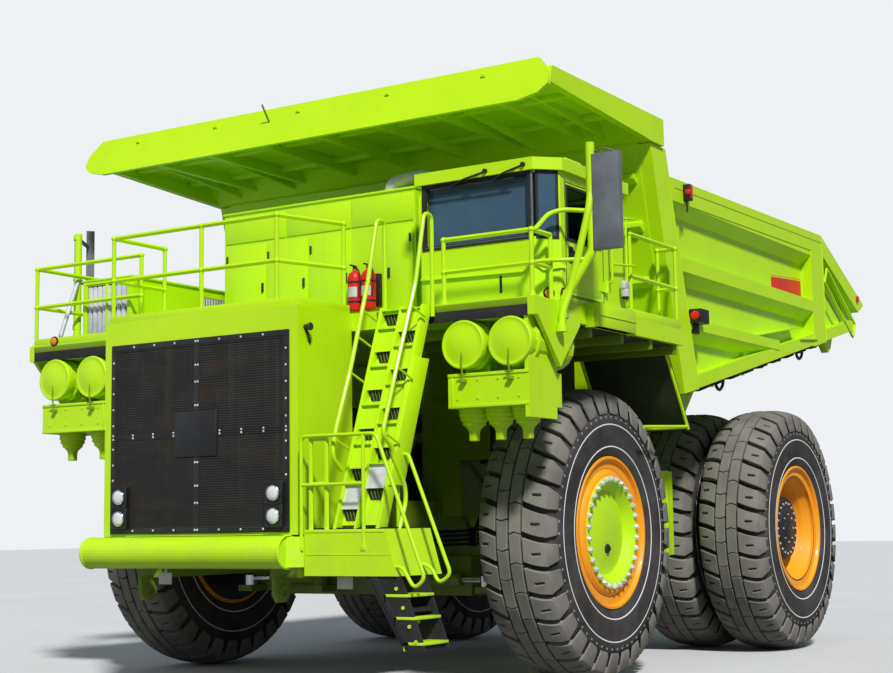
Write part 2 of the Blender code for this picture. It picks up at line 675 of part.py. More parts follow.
def cab_furniture():
    """The driver's seat, and the steering wheel on its column."""
    x = (CAB_LEFT + CAB_RIGHT) / 2
    floor = DECK_TOP + CAB_WALL
    seat = fused([
        block(
            (x - SEAT_HALF / 2, x + SEAT_HALF / 2), (SEAT_Y, SEAT_Y + SEAT_HALF),
            (floor + SEAT_GAP, floor + SEAT_HALF)),
        block((x - SEAT_HALF, x + SEAT_HALF), (SEAT_Y - SEAT_HALF, SEAT_Y + SEAT_HALF),
              (floor + SEAT_BASE, floor + SEAT_BASE + SEAT_CUSHION)),
        block((x - SEAT_HALF, x + SEAT_HALF), (SEAT_Y + SEAT_HALF - SEAT_CUSHION, SEAT_Y + SEAT_HALF),
              (floor + SEAT_BASE, floor + SEAT_BACK_TOP)),
    ])
    finish("operator_seat", seat, "seat_fabric")
    foot = (x, SEAT_Y - SEAT_REACH, floor + COLUMN_RADIUS)
    head = (x, SEAT_Y - SEAT_REACH * COLUMN_LEAN_SHARE, floor + WHEEL_HEIGHT)
    column = bar(foot, head, COLUMN_RADIUS, SMALL_SIDES)
    base = block(
        (x - COLUMN_RADIUS * 2, x + COLUMN_RADIUS * 2),
        (foot[1] - COLUMN_RADIUS * 2, foot[1] + COLUMN_RADIUS * 2),
        (floor + SEAT_GAP, floor + SEAT_CUSHION))
    wheel = turned([
        (STEERING_WHEEL_RADIUS - COLUMN_RADIUS, COLUMN_RADIUS / 2),
        (STEERING_WHEEL_RADIUS, COLUMN_RADIUS / 2),
        (STEERING_WHEEL_RADIUS, -COLUMN_RADIUS / 2),
        (STEERING_WHEEL_RADIUS - COLUMN_RADIUS, -COLUMN_RADIUS / 2),
    ], "Z", head, PIN_SIDES)
    spoke = bar(
        (x - STEERING_WHEEL_RADIUS + COLUMN_RADIUS / 2, head[1], head[2]),
        (x + STEERING_WHEEL_RADIUS - COLUMN_RADIUS / 2, head[1], head[2]), COLUMN_RADIUS / 3, RAIL_POST_SIDES)
    finish("steering_console", fused([column, base, wheel, spoke]), "dark_metal")


# Air cleaners under the front of each wing
# side: inner x, outer x of the box, its cup centres, its canister centres
CLEANER_BOX_LEFT = (2.68, 3.69)
CLEANER_BOX_RIGHT = (2.42, 3.55)
CLEANER_FRONT = -2.56
CLEANER_REAR = -1.84
CLEANER_TOP = 3.47
CLEANER_BOTTOM = 3.10
CANISTER_RADIUS = 0.255
CANISTER_Z = 3.785
CANISTER_INSET = 0.28
CANISTER_SHARES = (0.21, 0.79)
CANISTER_REAR = -1.60
CLEANER_PLATE_REAR = -1.95
CLEANER_PLATE_BOTTOM = 2.97
CUP_Y = -2.30
CUP_RADIUS = 0.16
CUP_NECK_RADIUS = 0.075
CUP_RIM_Z = 3.03
CUP_BOTTOM = 2.90
CUP_TIP_HALF = 0.042
CUP_TIP_BOTTOM = 2.79


def air_cleaner(name, side):
    """Two round canisters over a dust box with cups beneath, hung from the wing."""
    box_x = CLEANER_BOX_LEFT if side > 0 else CLEANER_BOX_RIGHT
    cups = 3 if side > 0 else 2
    pieces = [block(swap(side, box_x), (CLEANER_FRONT, CLEANER_REAR), (CLEANER_BOTTOM, CLEANER_TOP))]
    for share in CANISTER_SHARES:
        x = side * (box_x[0] + (box_x[1] - box_x[0]) * share)
        pieces.append(
            bar(
                (x, CLEANER_FRONT - OVERRUN / 2, CANISTER_Z), (x, CANISTER_REAR, CANISTER_Z),
                CANISTER_RADIUS, PIN_SIDES))
        pieces.append(block(
            (x - CUP_RADIUS, x + CUP_RADIUS), (CLEANER_FRONT + CANISTER_INSET, CLEANER_REAR),
            (CLEANER_TOP - OVERRUN, DECK_TOP - DECK_THICKNESS - SEAT_GAP)))
    width = box_x[1] - box_x[0]
    for cup in range(cups):
        x = side * (box_x[0] + width * (2 * cup + 1) / (2 * cups))
        pieces.append(bar((x, CUP_Y, CLEANER_BOTTOM + OVERRUN), (x, CUP_Y, CUP_RIM_Z), CUP_RADIUS))
        pieces.append(bar((x, CUP_Y, CUP_RIM_Z + OVERRUN / 2), (x, CUP_Y, CUP_BOTTOM), CUP_RADIUS - OVERRUN / 10,
                          PIN_SIDES, CUP_NECK_RADIUS))
        pieces.append(block(
            (x - CUP_TIP_HALF, x + CUP_TIP_HALF), (CUP_Y - CUP_TIP_HALF, CUP_Y + CUP_TIP_HALF),
            (CUP_TIP_BOTTOM, CUP_BOTTOM + OVERRUN)))
    if side > 0:
        pieces.append(block(
            (box_x[1] - OVERRUN, box_x[1]), (CLEANER_FRONT, CLEANER_PLATE_REAR),
            (CLEANER_PLATE_BOTTOM, DECK_TOP - DECK_THICKNESS - SEAT_GAP)))
    finish("air_cleaner_" + name, fused(pieces), "lime_paint")


# Electrical cabinet and retarder grid
CABINET_RIGHT = -1.30
CABINET_LEFT = 1.65
CABINET_FRONT = -1.60
CABINET_REAR = 0.35
CABINET_TOP = 5.85
GRID_RIGHT = -2.95
GRID_LEFT = -2.12
GRID_FRONT = -2.45
GRID_REAR = -0.60
GRID_BOTTOM = 4.33
GRID_TOP = 5.05
GRID_RIM = 0.07
LOUVRE_COUNT = 6
LOUVRE_DEPTH = 0.10
LOUVRE_BACK_SHARE = 0.6
LOUVRE_SLAT_SHARE = 0.8
LOUVRE_WIDTH_SHARES = (0.2, 0.8)


def electrical_cabinet():
    """The control cabinet behind the radiator."""
    box = block(
        (CABINET_RIGHT, CABINET_LEFT), (CABINET_FRONT, CABINET_REAR), (DECK_TOP + SEAT_GAP, CABINET_TOP))
    finish("electrical_cabinet", box, "lime_paint")


def retarder_grid():
    """The resistor box on the right wing with upright louvres in its front."""
    box = block((GRID_RIGHT, GRID_LEFT), (GRID_FRONT, GRID_REAR), (DECK_TOP + SEAT_GAP, GRID_TOP))
    mouth = block(
        (GRID_RIGHT + GRID_RIM, GRID_LEFT - GRID_RIM), (GRID_FRONT - OVERRUN, GRID_FRONT + LOUVRE_DEPTH),
        (GRID_BOTTOM, GRID_TOP - GRID_RIM))
    finish("retarder_grid_box", cut(box, [mouth]), "lime_paint")
    inner = (GRID_RIGHT + GRID_RIM + SEAT_GAP, GRID_LEFT - GRID_RIM - SEAT_GAP)
    pitch = (inner[1] - inner[0]) / LOUVRE_COUNT
    back = block(
        inner, (GRID_FRONT + LOUVRE_DEPTH * LOUVRE_BACK_SHARE, GRID_FRONT + LOUVRE_DEPTH - SEAT_GAP),
        (GRID_BOTTOM + SEAT_GAP, GRID_TOP - GRID_RIM - SEAT_GAP))
    slats = [
        block(tuple(inner[0] + pitch * (i + share) for share in LOUVRE_WIDTH_SHARES),
              (GRID_FRONT, GRID_FRONT + LOUVRE_DEPTH * LOUVRE_SLAT_SHARE),
              (GRID_BOTTOM + SEAT_GAP * 2, GRID_TOP - GRID_RIM - SEAT_GAP * 2))
        for i in range(LOUVRE_COUNT)]
    finish("retarder_louvres", fused([back] + slats), "louvre_white")


# Ladder, platform, steps and handrails
LADDER_X = (1.92, 2.50)
LADDER_FOOT_Y = -3.66
LADDER_HEAD = (-2.62, 4.25)
STRINGER_WIDTH = 0.17
GUARD_WIDTH = 0.30
GUARD_HEIGHTS = (2.27, 3.65)
STRINGER_THICKNESS = 0.04
TREAD_COUNT = 8
TREAD_DEPTH = 0.16
TREAD_THICKNESS = 0.04
TREAD_NOSE = 0.02
FIRST_TREAD_SHARE = 0.7
PLATFORM_X = (1.58, 2.61)
PLATFORM_FOOT_LEFT = 2.75
PLATFORM_FRONT = -3.70
PLATFORM_REAR = -2.85
PLATFORM_BOTTOM = 1.34
PLATFORM_TOP = 1.82
PLATFORM_ARM = (-3.15, -2.95)
STEPS_FRONT = -3.68
STEPS_REAR = -3.19
STEPS_TOP_X = (2.35, 2.78)
STEPS_BOTTOM_X = (2.81, 3.06)
STEPS_BOTTOM = 0.60
STEP_SHARES = (0.0, 0.5)
RAIL_RADIUS = 0.028
LADDER_RAIL_OUT = 0.30
LADDER_HOOP_HEIGHT = 1.0
PLATFORM_RAIL_HEIGHT = 0.95
HANDRAIL_HEIGHTS = (1.03, 0.52)
CAB_RAIL_HEIGHTS = (0.72, 0.36)
HANDRAIL_INSET = 0.06
NOSE_RAIL_SHARE = 0.8
RAIL_POST_RADIUS = 0.025
RAIL_POST_SIDES = 8
MIRROR_LEFT_X = (4.14, 4.50)
MIRROR_LEFT_Y = -1.90
MIRROR_LEFT_Z = (4.78, 5.84)
MIRROR_LEAN = 0.10
MIRROR_RIGHT_NEAR = (-4.14, -1.16)
MIRROR_RIGHT_FAR = (-4.46, -0.84)
MIRROR_RIGHT_Z = (5.05, 6.05)
MIRROR_RIGHT_POST_Y = -1.70
MIRROR_ARM_INSET = 0.22
MIRROR_THICKNESS = 0.08
MIRROR_POST_RADIUS = 0.045


def ladder():
    """Two stringers with treads between them, from the platform up to the deck."""
    foot_y, foot_z = LADDER_FOOT_Y, PLATFORM_TOP + SEAT_GAP
    head_y, head_z = LADDER_HEAD
    head_rear = head_y + STRINGER_THICKNESS - SEAT_GAP
    head_front = head_rear - STRINGER_WIDTH
    lean = (head_front - foot_y) / (head_z - foot_z)
    pieces = []
    for low in (LADDER_X[0], LADDER_X[1] - STRINGER_THICKNESS):
        pieces.append(plate([
            (foot_y, foot_z), (foot_y + STRINGER_WIDTH, foot_z),
            (head_rear, head_z), (head_front, head_z),
        ], "X", low, low + STRINGER_THICKNESS))
    front_edge = [foot_y + lean * (z - foot_z) for z in GUARD_HEIGHTS]
    pieces.append(plate([
        (front_edge[0] + OVERRUN, GUARD_HEIGHTS[0]), (front_edge[0] + GUARD_WIDTH, GUARD_HEIGHTS[0]),
        (front_edge[1] + GUARD_WIDTH, GUARD_HEIGHTS[1]), (front_edge[1] + OVERRUN, GUARD_HEIGHTS[1]),
    ], "X", LADDER_X[1] - STRINGER_THICKNESS / 2, LADDER_X[1] + STRINGER_THICKNESS / 2))
    for i in range(TREAD_COUNT):
        z = foot_z + (head_z - foot_z) * (i + FIRST_TREAD_SHARE) / TREAD_COUNT
        y = foot_y + lean * (z - foot_z)
        pieces.append(block(
            (LADDER_X[0] + STRINGER_THICKNESS / 2, LADDER_X[1] - STRINGER_THICKNESS / 2),
            (y - TREAD_NOSE, y - TREAD_NOSE + TREAD_DEPTH), (z - TREAD_THICKNESS, z)))
    for x in LADDER_X:
        rail_x = x + (RAIL_RADIUS / 2 if x == LADDER_X[1] else -RAIL_RADIUS / 2)
        pieces.append(tube([
            (rail_x, foot_y + STRINGER_WIDTH / 2, foot_z + TREAD_DEPTH),
            (rail_x, foot_y - LADDER_RAIL_OUT / 2, foot_z + LADDER_RAIL_OUT),
            (rail_x, head_y - LADDER_RAIL_OUT, head_z + LADDER_RAIL_OUT / 4),
            (rail_x, head_y - LADDER_RAIL_OUT / 2, head_z + LADDER_HOOP_HEIGHT),
            (rail_x, head_y, head_z + LADDER_HOOP_HEIGHT),
            (rail_x, head_y, head_z - TREAD_DEPTH),
        ], RAIL_RADIUS))
    finish("ladder", fused(pieces), "lime_paint")


def front_platform():
    """The boarding platform beside the bumper with arms to the frame and a rail."""
    box = plate([
        (PLATFORM_X[0], PLATFORM_BOTTOM), (PLATFORM_FOOT_LEFT, PLATFORM_BOTTOM),
        (PLATFORM_X[1], PLATFORM_TOP), (PLATFORM_X[0], PLATFORM_TOP),
    ], "Y", PLATFORM_FRONT, PLATFORM_REAR)
    arm = block(
        (RAIL_OUTER + SEAT_GAP, PLATFORM_X[0] + OVERRUN), PLATFORM_ARM,
        (PLATFORM_BOTTOM, RAIL_NOSE_TOP - OVERRUN))
    rail_y = PLATFORM_FRONT + RAIL_RADIUS * 2
    hoop = tube([
        (PLATFORM_X[0] + OVERRUN, rail_y, PLATFORM_TOP - OVERRUN),
        (PLATFORM_X[0] + OVERRUN, rail_y, PLATFORM_TOP + PLATFORM_RAIL_HEIGHT),
        (LADDER_X[0] - RAIL_RADIUS * 3, rail_y, PLATFORM_TOP + PLATFORM_RAIL_HEIGHT),
        (LADDER_X[0] - RAIL_RADIUS * 3, rail_y, PLATFORM_TOP - OVERRUN),
    ], RAIL_RADIUS)
    middle = tube([
        (PLATFORM_X[0] + OVERRUN, rail_y, PLATFORM_TOP + PLATFORM_RAIL_HEIGHT / 2),
        (LADDER_X[0] - RAIL_RADIUS * 3, rail_y, PLATFORM_TOP + PLATFORM_RAIL_HEIGHT / 2),
    ], RAIL_RADIUS)
    finish("front_platform", fused([box, arm, hoop, middle]), "lime_paint")


def boarding_steps():
    """Hanging side plates with treads, going out and down from the platform."""
    top = PLATFORM_BOTTOM - SEAT_GAP
    outline = [
        (STEPS_TOP_X[0], top), (STEPS_TOP_X[1], top),
        (STEPS_BOTTOM_X[1], STEPS_BOTTOM), (STEPS_BOTTOM_X[0], STEPS_BOTTOM),
    ]
    pieces = [
        plate(outline, "Y", STEPS_FRONT, STEPS_FRONT + STRINGER_THICKNESS),
        plate(outline, "Y", STEPS_REAR - STRINGER_THICKNESS, STEPS_REAR),
    ]
    inset = STRINGER_THICKNESS / 4
    for share in STEP_SHARES:
        z = STEPS_BOTTOM + (top - STEPS_BOTTOM) * share + inset
        low, high = (
            bottom + (upper - bottom) * share for bottom, upper in zip(STEPS_BOTTOM_X, STEPS_TOP_X))
        pieces.append(block(
            (low, high - TREAD_THICKNESS), (STEPS_FRONT + inset, STEPS_REAR - inset),
            (z, z + TREAD_THICKNESS)))
    finish("boarding_steps", fused(pieces), "black_rubber")


def railing(stations, heights):
    """Posts from the deck at each station, joined by a rail at each height."""
    pieces = []
    for height in heights:
        pieces.append(tube([(x, y, DECK_TOP + height) for x, y in stations], RAIL_RADIUS))
    for x, y in stations:
        pieces.append(bar(
            (x, y, DECK_TOP - OVERRUN), (x, y, DECK_TOP + heights[0]), RAIL_POST_RADIUS, RAIL_POST_SIDES))
    return fused(pieces)


def nose_rail():
    """The guard rail round the top of the radiator housing."""
    front = HOUSING_FRONT + HANDRAIL_INSET
    half = HOUSING_HALF_WIDTH - HANDRAIL_INSET
    rear = HOUSING_REAR - HANDRAIL_INSET
    stations = [(half, rear), (half * NOSE_RAIL_SHARE, front), (0, front), (-half, front), (-half, rear)]
    return railing(stations, HANDRAIL_HEIGHTS)


def cab_front_rail():
    """The rail before the cab and along its front corner."""
    edge = TRUCK_HALF_WIDTH - HANDRAIL_INSET
    front = DECK_FRONT + HANDRAIL_INSET
    stations = [(LADDER_X[1] + HANDRAIL_INSET * 2, front), (edge, front), (edge, CAB_FRONT)]
    return railing(stations, CAB_RAIL_HEIGHTS)


def cab_rear_rail():
    """The rail behind the cab's door."""
    edge = TRUCK_HALF_WIDTH - HANDRAIL_INSET
    rear = DECK_REAR - HANDRAIL_INSET
    stations = [(edge - HANDRAIL_INSET * 4, rear), (edge, rear), (edge, CAB_REAR + HANDRAIL_INSET * 3)]
    return railing(stations, HANDRAIL_HEIGHTS)


def right_wing_rail():
    """The rail round the right wing."""
    edge = TRUCK_HALF_WIDTH - HANDRAIL_INSET
    front = DECK_FRONT + HANDRAIL_INSET
    stations = [
        (GRID_LEFT + HANDRAIL_INSET * 4, front), (-edge, front), (-edge, 0),
        (-edge, DECK_REAR - HANDRAIL_INSET)]
    return railing(stations, HANDRAIL_HEIGHTS)


def mirror_left():
    """A tall flat mirror square to the truck, on a bent post at the cab's front corner."""
    x = MIRROR_LEFT_X[0]
    panel = block(
        MIRROR_LEFT_X, (MIRROR_LEFT_Y - MIRROR_THICKNESS / 2, MIRROR_LEFT_Y + MIRROR_THICKNESS / 2),
        MIRROR_LEFT_Z)
    foot_x = TRUCK_HALF_WIDTH + MIRROR_POST_RADIUS + SEAT_GAP
    foot_y = MIRROR_LEFT_Y - MIRROR_LEAN
    post = tube([
        (foot_x, foot_y, DECK_TOP - DECK_THICKNESS), (foot_x, foot_y, DECK_TOP),
        (x, MIRROR_LEFT_Y, MIRROR_LEFT_Z[0]), (x, MIRROR_LEFT_Y, MIRROR_LEFT_Z[1] + MIRROR_POST_RADIUS * 2),
    ], MIRROR_POST_RADIUS)
    finish("mirror_left", fused([post, panel]), "grey_plate")


def mirror_right():
    """A mirror turned towards the driver, on two arms from a straight post on the right wing."""
    (near_x, near_y), (far_x, far_y) = MIRROR_RIGHT_NEAR, MIRROR_RIGHT_FAR
    half = MIRROR_THICKNESS / 2
    panel = plate([
        (near_x - half, near_y - half), (near_x + half, near_y + half),
        (far_x + half, far_y + half), (far_x - half, far_y - half),
    ], "Z", *MIRROR_RIGHT_Z)
    post_x = -TRUCK_HALF_WIDTH - MIRROR_POST_RADIUS - SEAT_GAP
    top = MIRROR_RIGHT_Z[1] - MIRROR_ARM_INSET
    middle = ((near_x + far_x) / 2, (near_y + far_y) / 2)
    pieces = [panel, bar(
        (post_x, MIRROR_RIGHT_POST_Y, DECK_TOP - DECK_THICKNESS),
        (post_x, MIRROR_RIGHT_POST_Y, top + MIRROR_POST_RADIUS),
        MIRROR_POST_RADIUS, RAIL_POST_SIDES)]
    for z in (top, MIRROR_RIGHT_Z[0] + MIRROR_ARM_INSET):
        pieces.append(bar((post_x, MIRROR_RIGHT_POST_Y, z), (*middle, z), RAIL_RADIUS, RAIL_POST_SIDES))
    finish("mirror_right", fused(pieces), "grey_plate")


# Fire extinguishers
EXTINGUISHER_X = (0.86, 1.06)
EXTINGUISHER_RADIUS = 0.085
EXTINGUISHER_BOTTOM = 4.42
EXTINGUISHER_TOP = 4.92
EXTINGUISHER_BACK = 0.06


def fire_extinguishers():
    """Two red bottles in one bracket on the cabinet's front."""
    y = CABINET_FRONT - EXTINGUISHER_BACK - EXTINGUISHER_RADIUS
    bottles = [
        bar((x, y, EXTINGUISHER_BOTTOM), (x, y, EXTINGUISHER_TOP), EXTINGUISHER_RADIUS, SMALL_SIDES)
        for x in EXTINGUISHER_X]
    bracket = block(
        (EXTINGUISHER_X[0] - EXTINGUISHER_RADIUS, EXTINGUISHER_X[1] + EXTINGUISHER_RADIUS),
        (y, CABINET_FRONT - SEAT_GAP),
        (EXTINGUISHER_BOTTOM + EXTINGUISHER_RADIUS, EXTINGUISHER_TOP - EXTINGUISHER_RADIUS))
    finish("fire_extinguishers", fused(bottles + [bracket]), "red_paint")


# Tanks
TANK_OUTER = 2.60
TANK_BOTTOM = 1.40
TANK_TOP = 2.55


def tanks():
    """The fuel tank on the right and the hydraulic tank on the left, on the frame's arms."""
    for name, side in (("fuel_tank", -1), ("hydraulic_tank", 1)):
        box = block(swap(side, (TANK_INNER, TANK_OUTER)), (TANK_FRONT, TANK_REAR), (TANK_BOTTOM, TANK_TOP))
        finish(name, box, "lime_paint")


# Wheels and tyres
RIM_SEAT_RADIUS = 0.74
RIM_FLANGE_RADIUS = 0.905
RIM_FLANGE_THICKNESS = 0.05
RIM_HALF_WIDTH = 0.44
RIM_WALL = 0.05
LUG_CORNER_RADIUS = 1.655
LUG_GROOVE_RADIUS = 1.575
LUG_CORNER_HALF = 0.425
SHOULDER_RADIUS = 1.40
BULGE_RADIUS = 1.10
BULGE_INSET = 0.003
LUG_SLANT = 0.11
# a groove's middle and the two ends of the lug beside it, as shares of a pitch
LUG_SHARES = (0.0, 0.11, 0.89)
HUB_FACE_DEPTH = 0.14
HUB_DISC_THICKNESS = 0.12
HUB_RADIUS = 0.42
HUB_INNER_X = 2.62
SPINDLE_RADIUS = 0.28
MOTOR_FACE_DEPTH = 0.38
AXLE_SPINDLE_RADIUS = 0.50


def plain_ring(x, radius):
    """One point to each lug's pitch: place along the axis, then pairs of turn and radius."""
    step = 2 * math.pi / WHEEL_SIDES
    return x, [(i * step, radius) for i in range(WHEEL_SIDES)]


def lug_ring(x, slant):
    """Three points to each pitch: the groove beside a lug and the lug's two ends."""
    step = 2 * math.pi / WHEEL_SIDES
    points = []
    for i in range(WHEEL_SIDES):
        for share in LUG_SHARES:
            radius = LUG_CORNER_RADIUS if share else LUG_GROOVE_RADIUS
            points.append(((i + share) * step + slant / TYRE_RADIUS, radius))
    return x, points


def tyre_rings(centre_x, bulges):
    """Rings over a tyre from its inner bead to its outer one; bulges tells which sidewalls swell."""
    half = TYRE_WIDTH / 2
    bead = RIM_HALF_WIDTH - RIM_FLANGE_THICKNESS - SEAT_GAP
    rings = []
    for side in (-1, 1):
        wall = [plain_ring(centre_x + side * bead, RIM_FLANGE_RADIUS + SEAT_GAP)]
        if side in bulges:
            wall.append(plain_ring(centre_x + side * (half - BULGE_INSET), BULGE_RADIUS))
        wall.append(plain_ring(centre_x + side * half, SHOULDER_RADIUS))
        wall.append(lug_ring(centre_x + side * LUG_CORNER_HALF, side * LUG_SLANT))
        rings += wall + [plain_ring(centre_x, TYRE_RADIUS)] if side < 0 else wall[::-1]
    return rings


def bead_ring(centre_x, side):
    """The edge of a tyre's seat on its rim."""
    bead = RIM_HALF_WIDTH - RIM_FLANGE_THICKNESS - SEAT_GAP
    return plain_ring(centre_x + side * bead, RIM_SEAT_RADIUS + SEAT_GAP)


def ring_body(rings, y):
    """A closed ring-shaped body through a loop of rings about the wheel's axis at a place along the truck."""
    shape = bmesh.new()
    loops = []
    for x, points in rings:
        loops.append([shape.verts.new((
            x, y - radius * math.cos(turn),
            TYRE_RADIUS - radius * math.sin(turn))) for turn, radius in points])
    for near, far in zip(loops, loops[1:] + loops[:1]):
        if len(near) == len(far):
            for i in range(len(near)):
                shape.faces.new((near[i - 1], near[i], far[i], far[i - 1]))
            continue
        few, many = (near, far) if len(near) < len(far) else (far, near)
        for i, corner in enumerate(few):
            groove, start, end, after = (many[(3 * i + k) % len(many)] for k in range(4))
            opposite = few[(i + 1) % len(few)]
            for face in (
                (corner, groove, start), (corner, start, end), (corner, end, opposite),
                (opposite, end, after)):
                shape.faces.new(face)
    bmesh.ops.recalc_face_normals(shape, faces=shape.faces)
    return from_bmesh(shape)


def moved(piece, y):
    """A piece shifted along the truck."""
    piece.data.transform(Matrix.Translation((0, y, 0)))
    return piece


def disc_wheel(inner_x, outer_x, face, cap, boss):
    """A rim with a disc and a hub, turned in one about X at the front axle.

    face is the disc's outer side, cap the hub's outer end and boss its inner end.
    """
    seat, inside = RIM_SEAT_RADIUS, RIM_SEAT_RADIUS - RIM_WALL
    back = face - HUB_DISC_THICKNESS
    return turned([
        (0, cap), (HUB_RADIUS, cap), (HUB_RADIUS, face), (inside, face),
        (inside, outer_x), (RIM_FLANGE_RADIUS, outer_x),
        (RIM_FLANGE_RADIUS, outer_x - RIM_FLANGE_THICKNESS), (seat, outer_x - RIM_FLANGE_THICKNESS),
        (seat, inner_x + RIM_FLANGE_THICKNESS), (RIM_FLANGE_RADIUS, inner_x + RIM_FLANGE_THICKNESS),
        (RIM_FLANGE_RADIUS, inner_x), (inside, inner_x),
        (inside, back), (HUB_RADIUS, back), (HUB_RADIUS, boss), (0, boss),
    ], "X", (0, 0, TYRE_RADIUS))


def front_wheel(name, side, body):
    """Rim, hub disc and hub barrel of a steered wheel, with its tyre."""
    outer = FRONT_TRACK_HALF + RIM_HALF_WIDTH
    face = outer - HUB_FACE_DEPTH
    wheel = disc_wheel(FRONT_TRACK_HALF - RIM_HALF_WIDTH, outer, face, face + RIM_WALL, HUB_INNER_X)
    rubber = ring_body(
        [bead_ring(FRONT_TRACK_HALF, -1)] + tyre_rings(FRONT_TRACK_HALF, (-1, 1))
        + [bead_ring(FRONT_TRACK_HALF, 1)], 0)
    if side < 0:
        wheel, rubber = flipped(wheel), flipped(rubber)
    finish("front_wheel_" + name, wheel, "orange_paint", body)
    finish("front_tyre_" + name, rubber, "tyre_rubber", body)


def flipped(piece):
    """A piece moved to the truck's other side."""
    other = mirrored(piece)
    bpy.data.objects.remove(piece, do_unlink=True)
    return other


def twin_tyres(inner_centre, outer_centre):
    """Two tyres with the spacer ring between them, in one."""
    bead = RIM_HALF_WIDTH - RIM_FLANGE_THICKNESS - SEAT_GAP
    spacer = RIM_FLANGE_RADIUS + RIM_WALL
    inner, outer = tyre_rings(inner_centre, ()), tyre_rings(outer_centre, (1,))
    ends = [inner_centre + bead, outer_centre - bead]
    inner[-1], outer[0] = plain_ring(ends[0] + SEAT_GAP, spacer), plain_ring(ends[1] - SEAT_GAP, spacer)
    rings = [bead_ring(inner_centre, -1)] + inner + outer + [bead_ring(outer_centre, 1)]
    rings += [bead_ring(outer_centre, -1)]
    rings += [plain_ring(end, RIM_FLANGE_RADIUS + SEAT_GAP) for end in reversed(ends)]
    return ring_body(rings + [bead_ring(inner_centre, 1)], WHEELBASE)


def rear_wheel(name, side, body):
    """The twin rim with its drive disc and motor cover, and its two tyres."""
    outer_centre = REAR_TRACK_HALF + DUAL_SPACING / 2
    inner_centre = REAR_TRACK_HALF - DUAL_SPACING / 2
    face = outer_centre + RIM_HALF_WIDTH - MOTOR_FACE_DEPTH
    wheel = moved(disc_wheel(
        inner_centre - RIM_HALF_WIDTH, outer_centre + RIM_HALF_WIDTH,
        face, face + HUB_DISC_THICKNESS, face - HUB_DISC_THICKNESS - RIM_WALL), WHEELBASE)
    rubber = twin_tyres(inner_centre, outer_centre)
    if side < 0:
        wheel, rubber = flipped(wheel), flipped(rubber)
    finish("rear_wheel_" + name, wheel, "orange_paint", body)
    finish("rear_tyres_" + name, rubber, "tyre_rubber", body)


# Knuckles and steering
KNUCKLE_RADIUS = 0.22
KNUCKLE_BOTTOM = ARM_BOTTOM
KNUCKLE_TOP = 2.15
PISTON_RADIUS = 0.17
FRONT_ARM_LENGTH = 0.42
REAR_ARM_LENGTH = 0.78
ARM_HALF_WIDTH = 0.11
TIE_ROD_RADIUS = 0.05
TIE_ROD_EYE_RADIUS = 0.10
TIE_ROD_Z = 1.16
STEER_CYLINDER_Z = 1.19
STEER_BARREL_RADIUS = 0.08
STEER_ROD_RADIUS = 0.04
STEER_EYE_RADIUS = 0.09
STEER_BARREL_LENGTH = 0.78
STEER_ROD_START = 0.37
STEER_EYE_SHARE = 0.9


def knuckle(name, side, body):
    """The kingpin post with its spindle, suspension rod and two steering arms."""
    post = bar((KINGPIN_X, 0, KNUCKLE_BOTTOM), (KINGPIN_X, 0, KNUCKLE_TOP), KNUCKLE_RADIUS, WHEEL_SIDES)
    piston = bar(
        (KINGPIN_X, 0, KNUCKLE_TOP - OVERRUN), (KINGPIN_X, 0, STRUT_BOTTOM - SEAT_GAP), PISTON_RADIUS,
        WHEEL_SIDES)
    spindle = bar(
        (KINGPIN_X, 0, TYRE_RADIUS), (HUB_INNER_X - SEAT_GAP, 0, TYRE_RADIUS), SPINDLE_RADIUS, WHEEL_SIDES)
    arm = block(
        (KINGPIN_X - ARM_HALF_WIDTH, KINGPIN_X + ARM_HALF_WIDTH),
        (-FRONT_ARM_LENGTH - ARM_HALF_WIDTH, REAR_ARM_LENGTH + ARM_HALF_WIDTH), (ARM_BOTTOM, ARM_TOP))
    piece = fused([post, piston, spindle, arm])
    finish("knuckle_" + name, piece if side > 0 else flipped(piece), "lime_paint", body)


def tie_rod(body):
    """The rod that joins both steering arms behind the axle."""
    z = (ARM_TOP + SEAT_GAP, TIE_ROD_Z + TIE_ROD_RADIUS)
    eyes = [
        bar(
            (side * KINGPIN_X, REAR_ARM_LENGTH, z[0]), (side * KINGPIN_X, REAR_ARM_LENGTH, z[1]),
            TIE_ROD_EYE_RADIUS, PIN_SIDES)
        for _, side in SIDES]
    rod = bar(
        (-KINGPIN_X, REAR_ARM_LENGTH, TIE_ROD_Z), (KINGPIN_X, REAR_ARM_LENGTH, TIE_ROD_Z), TIE_ROD_RADIUS,
        SMALL_SIDES)
    finish("tie_rod", fused([rod] + eyes), "dark_metal", body)


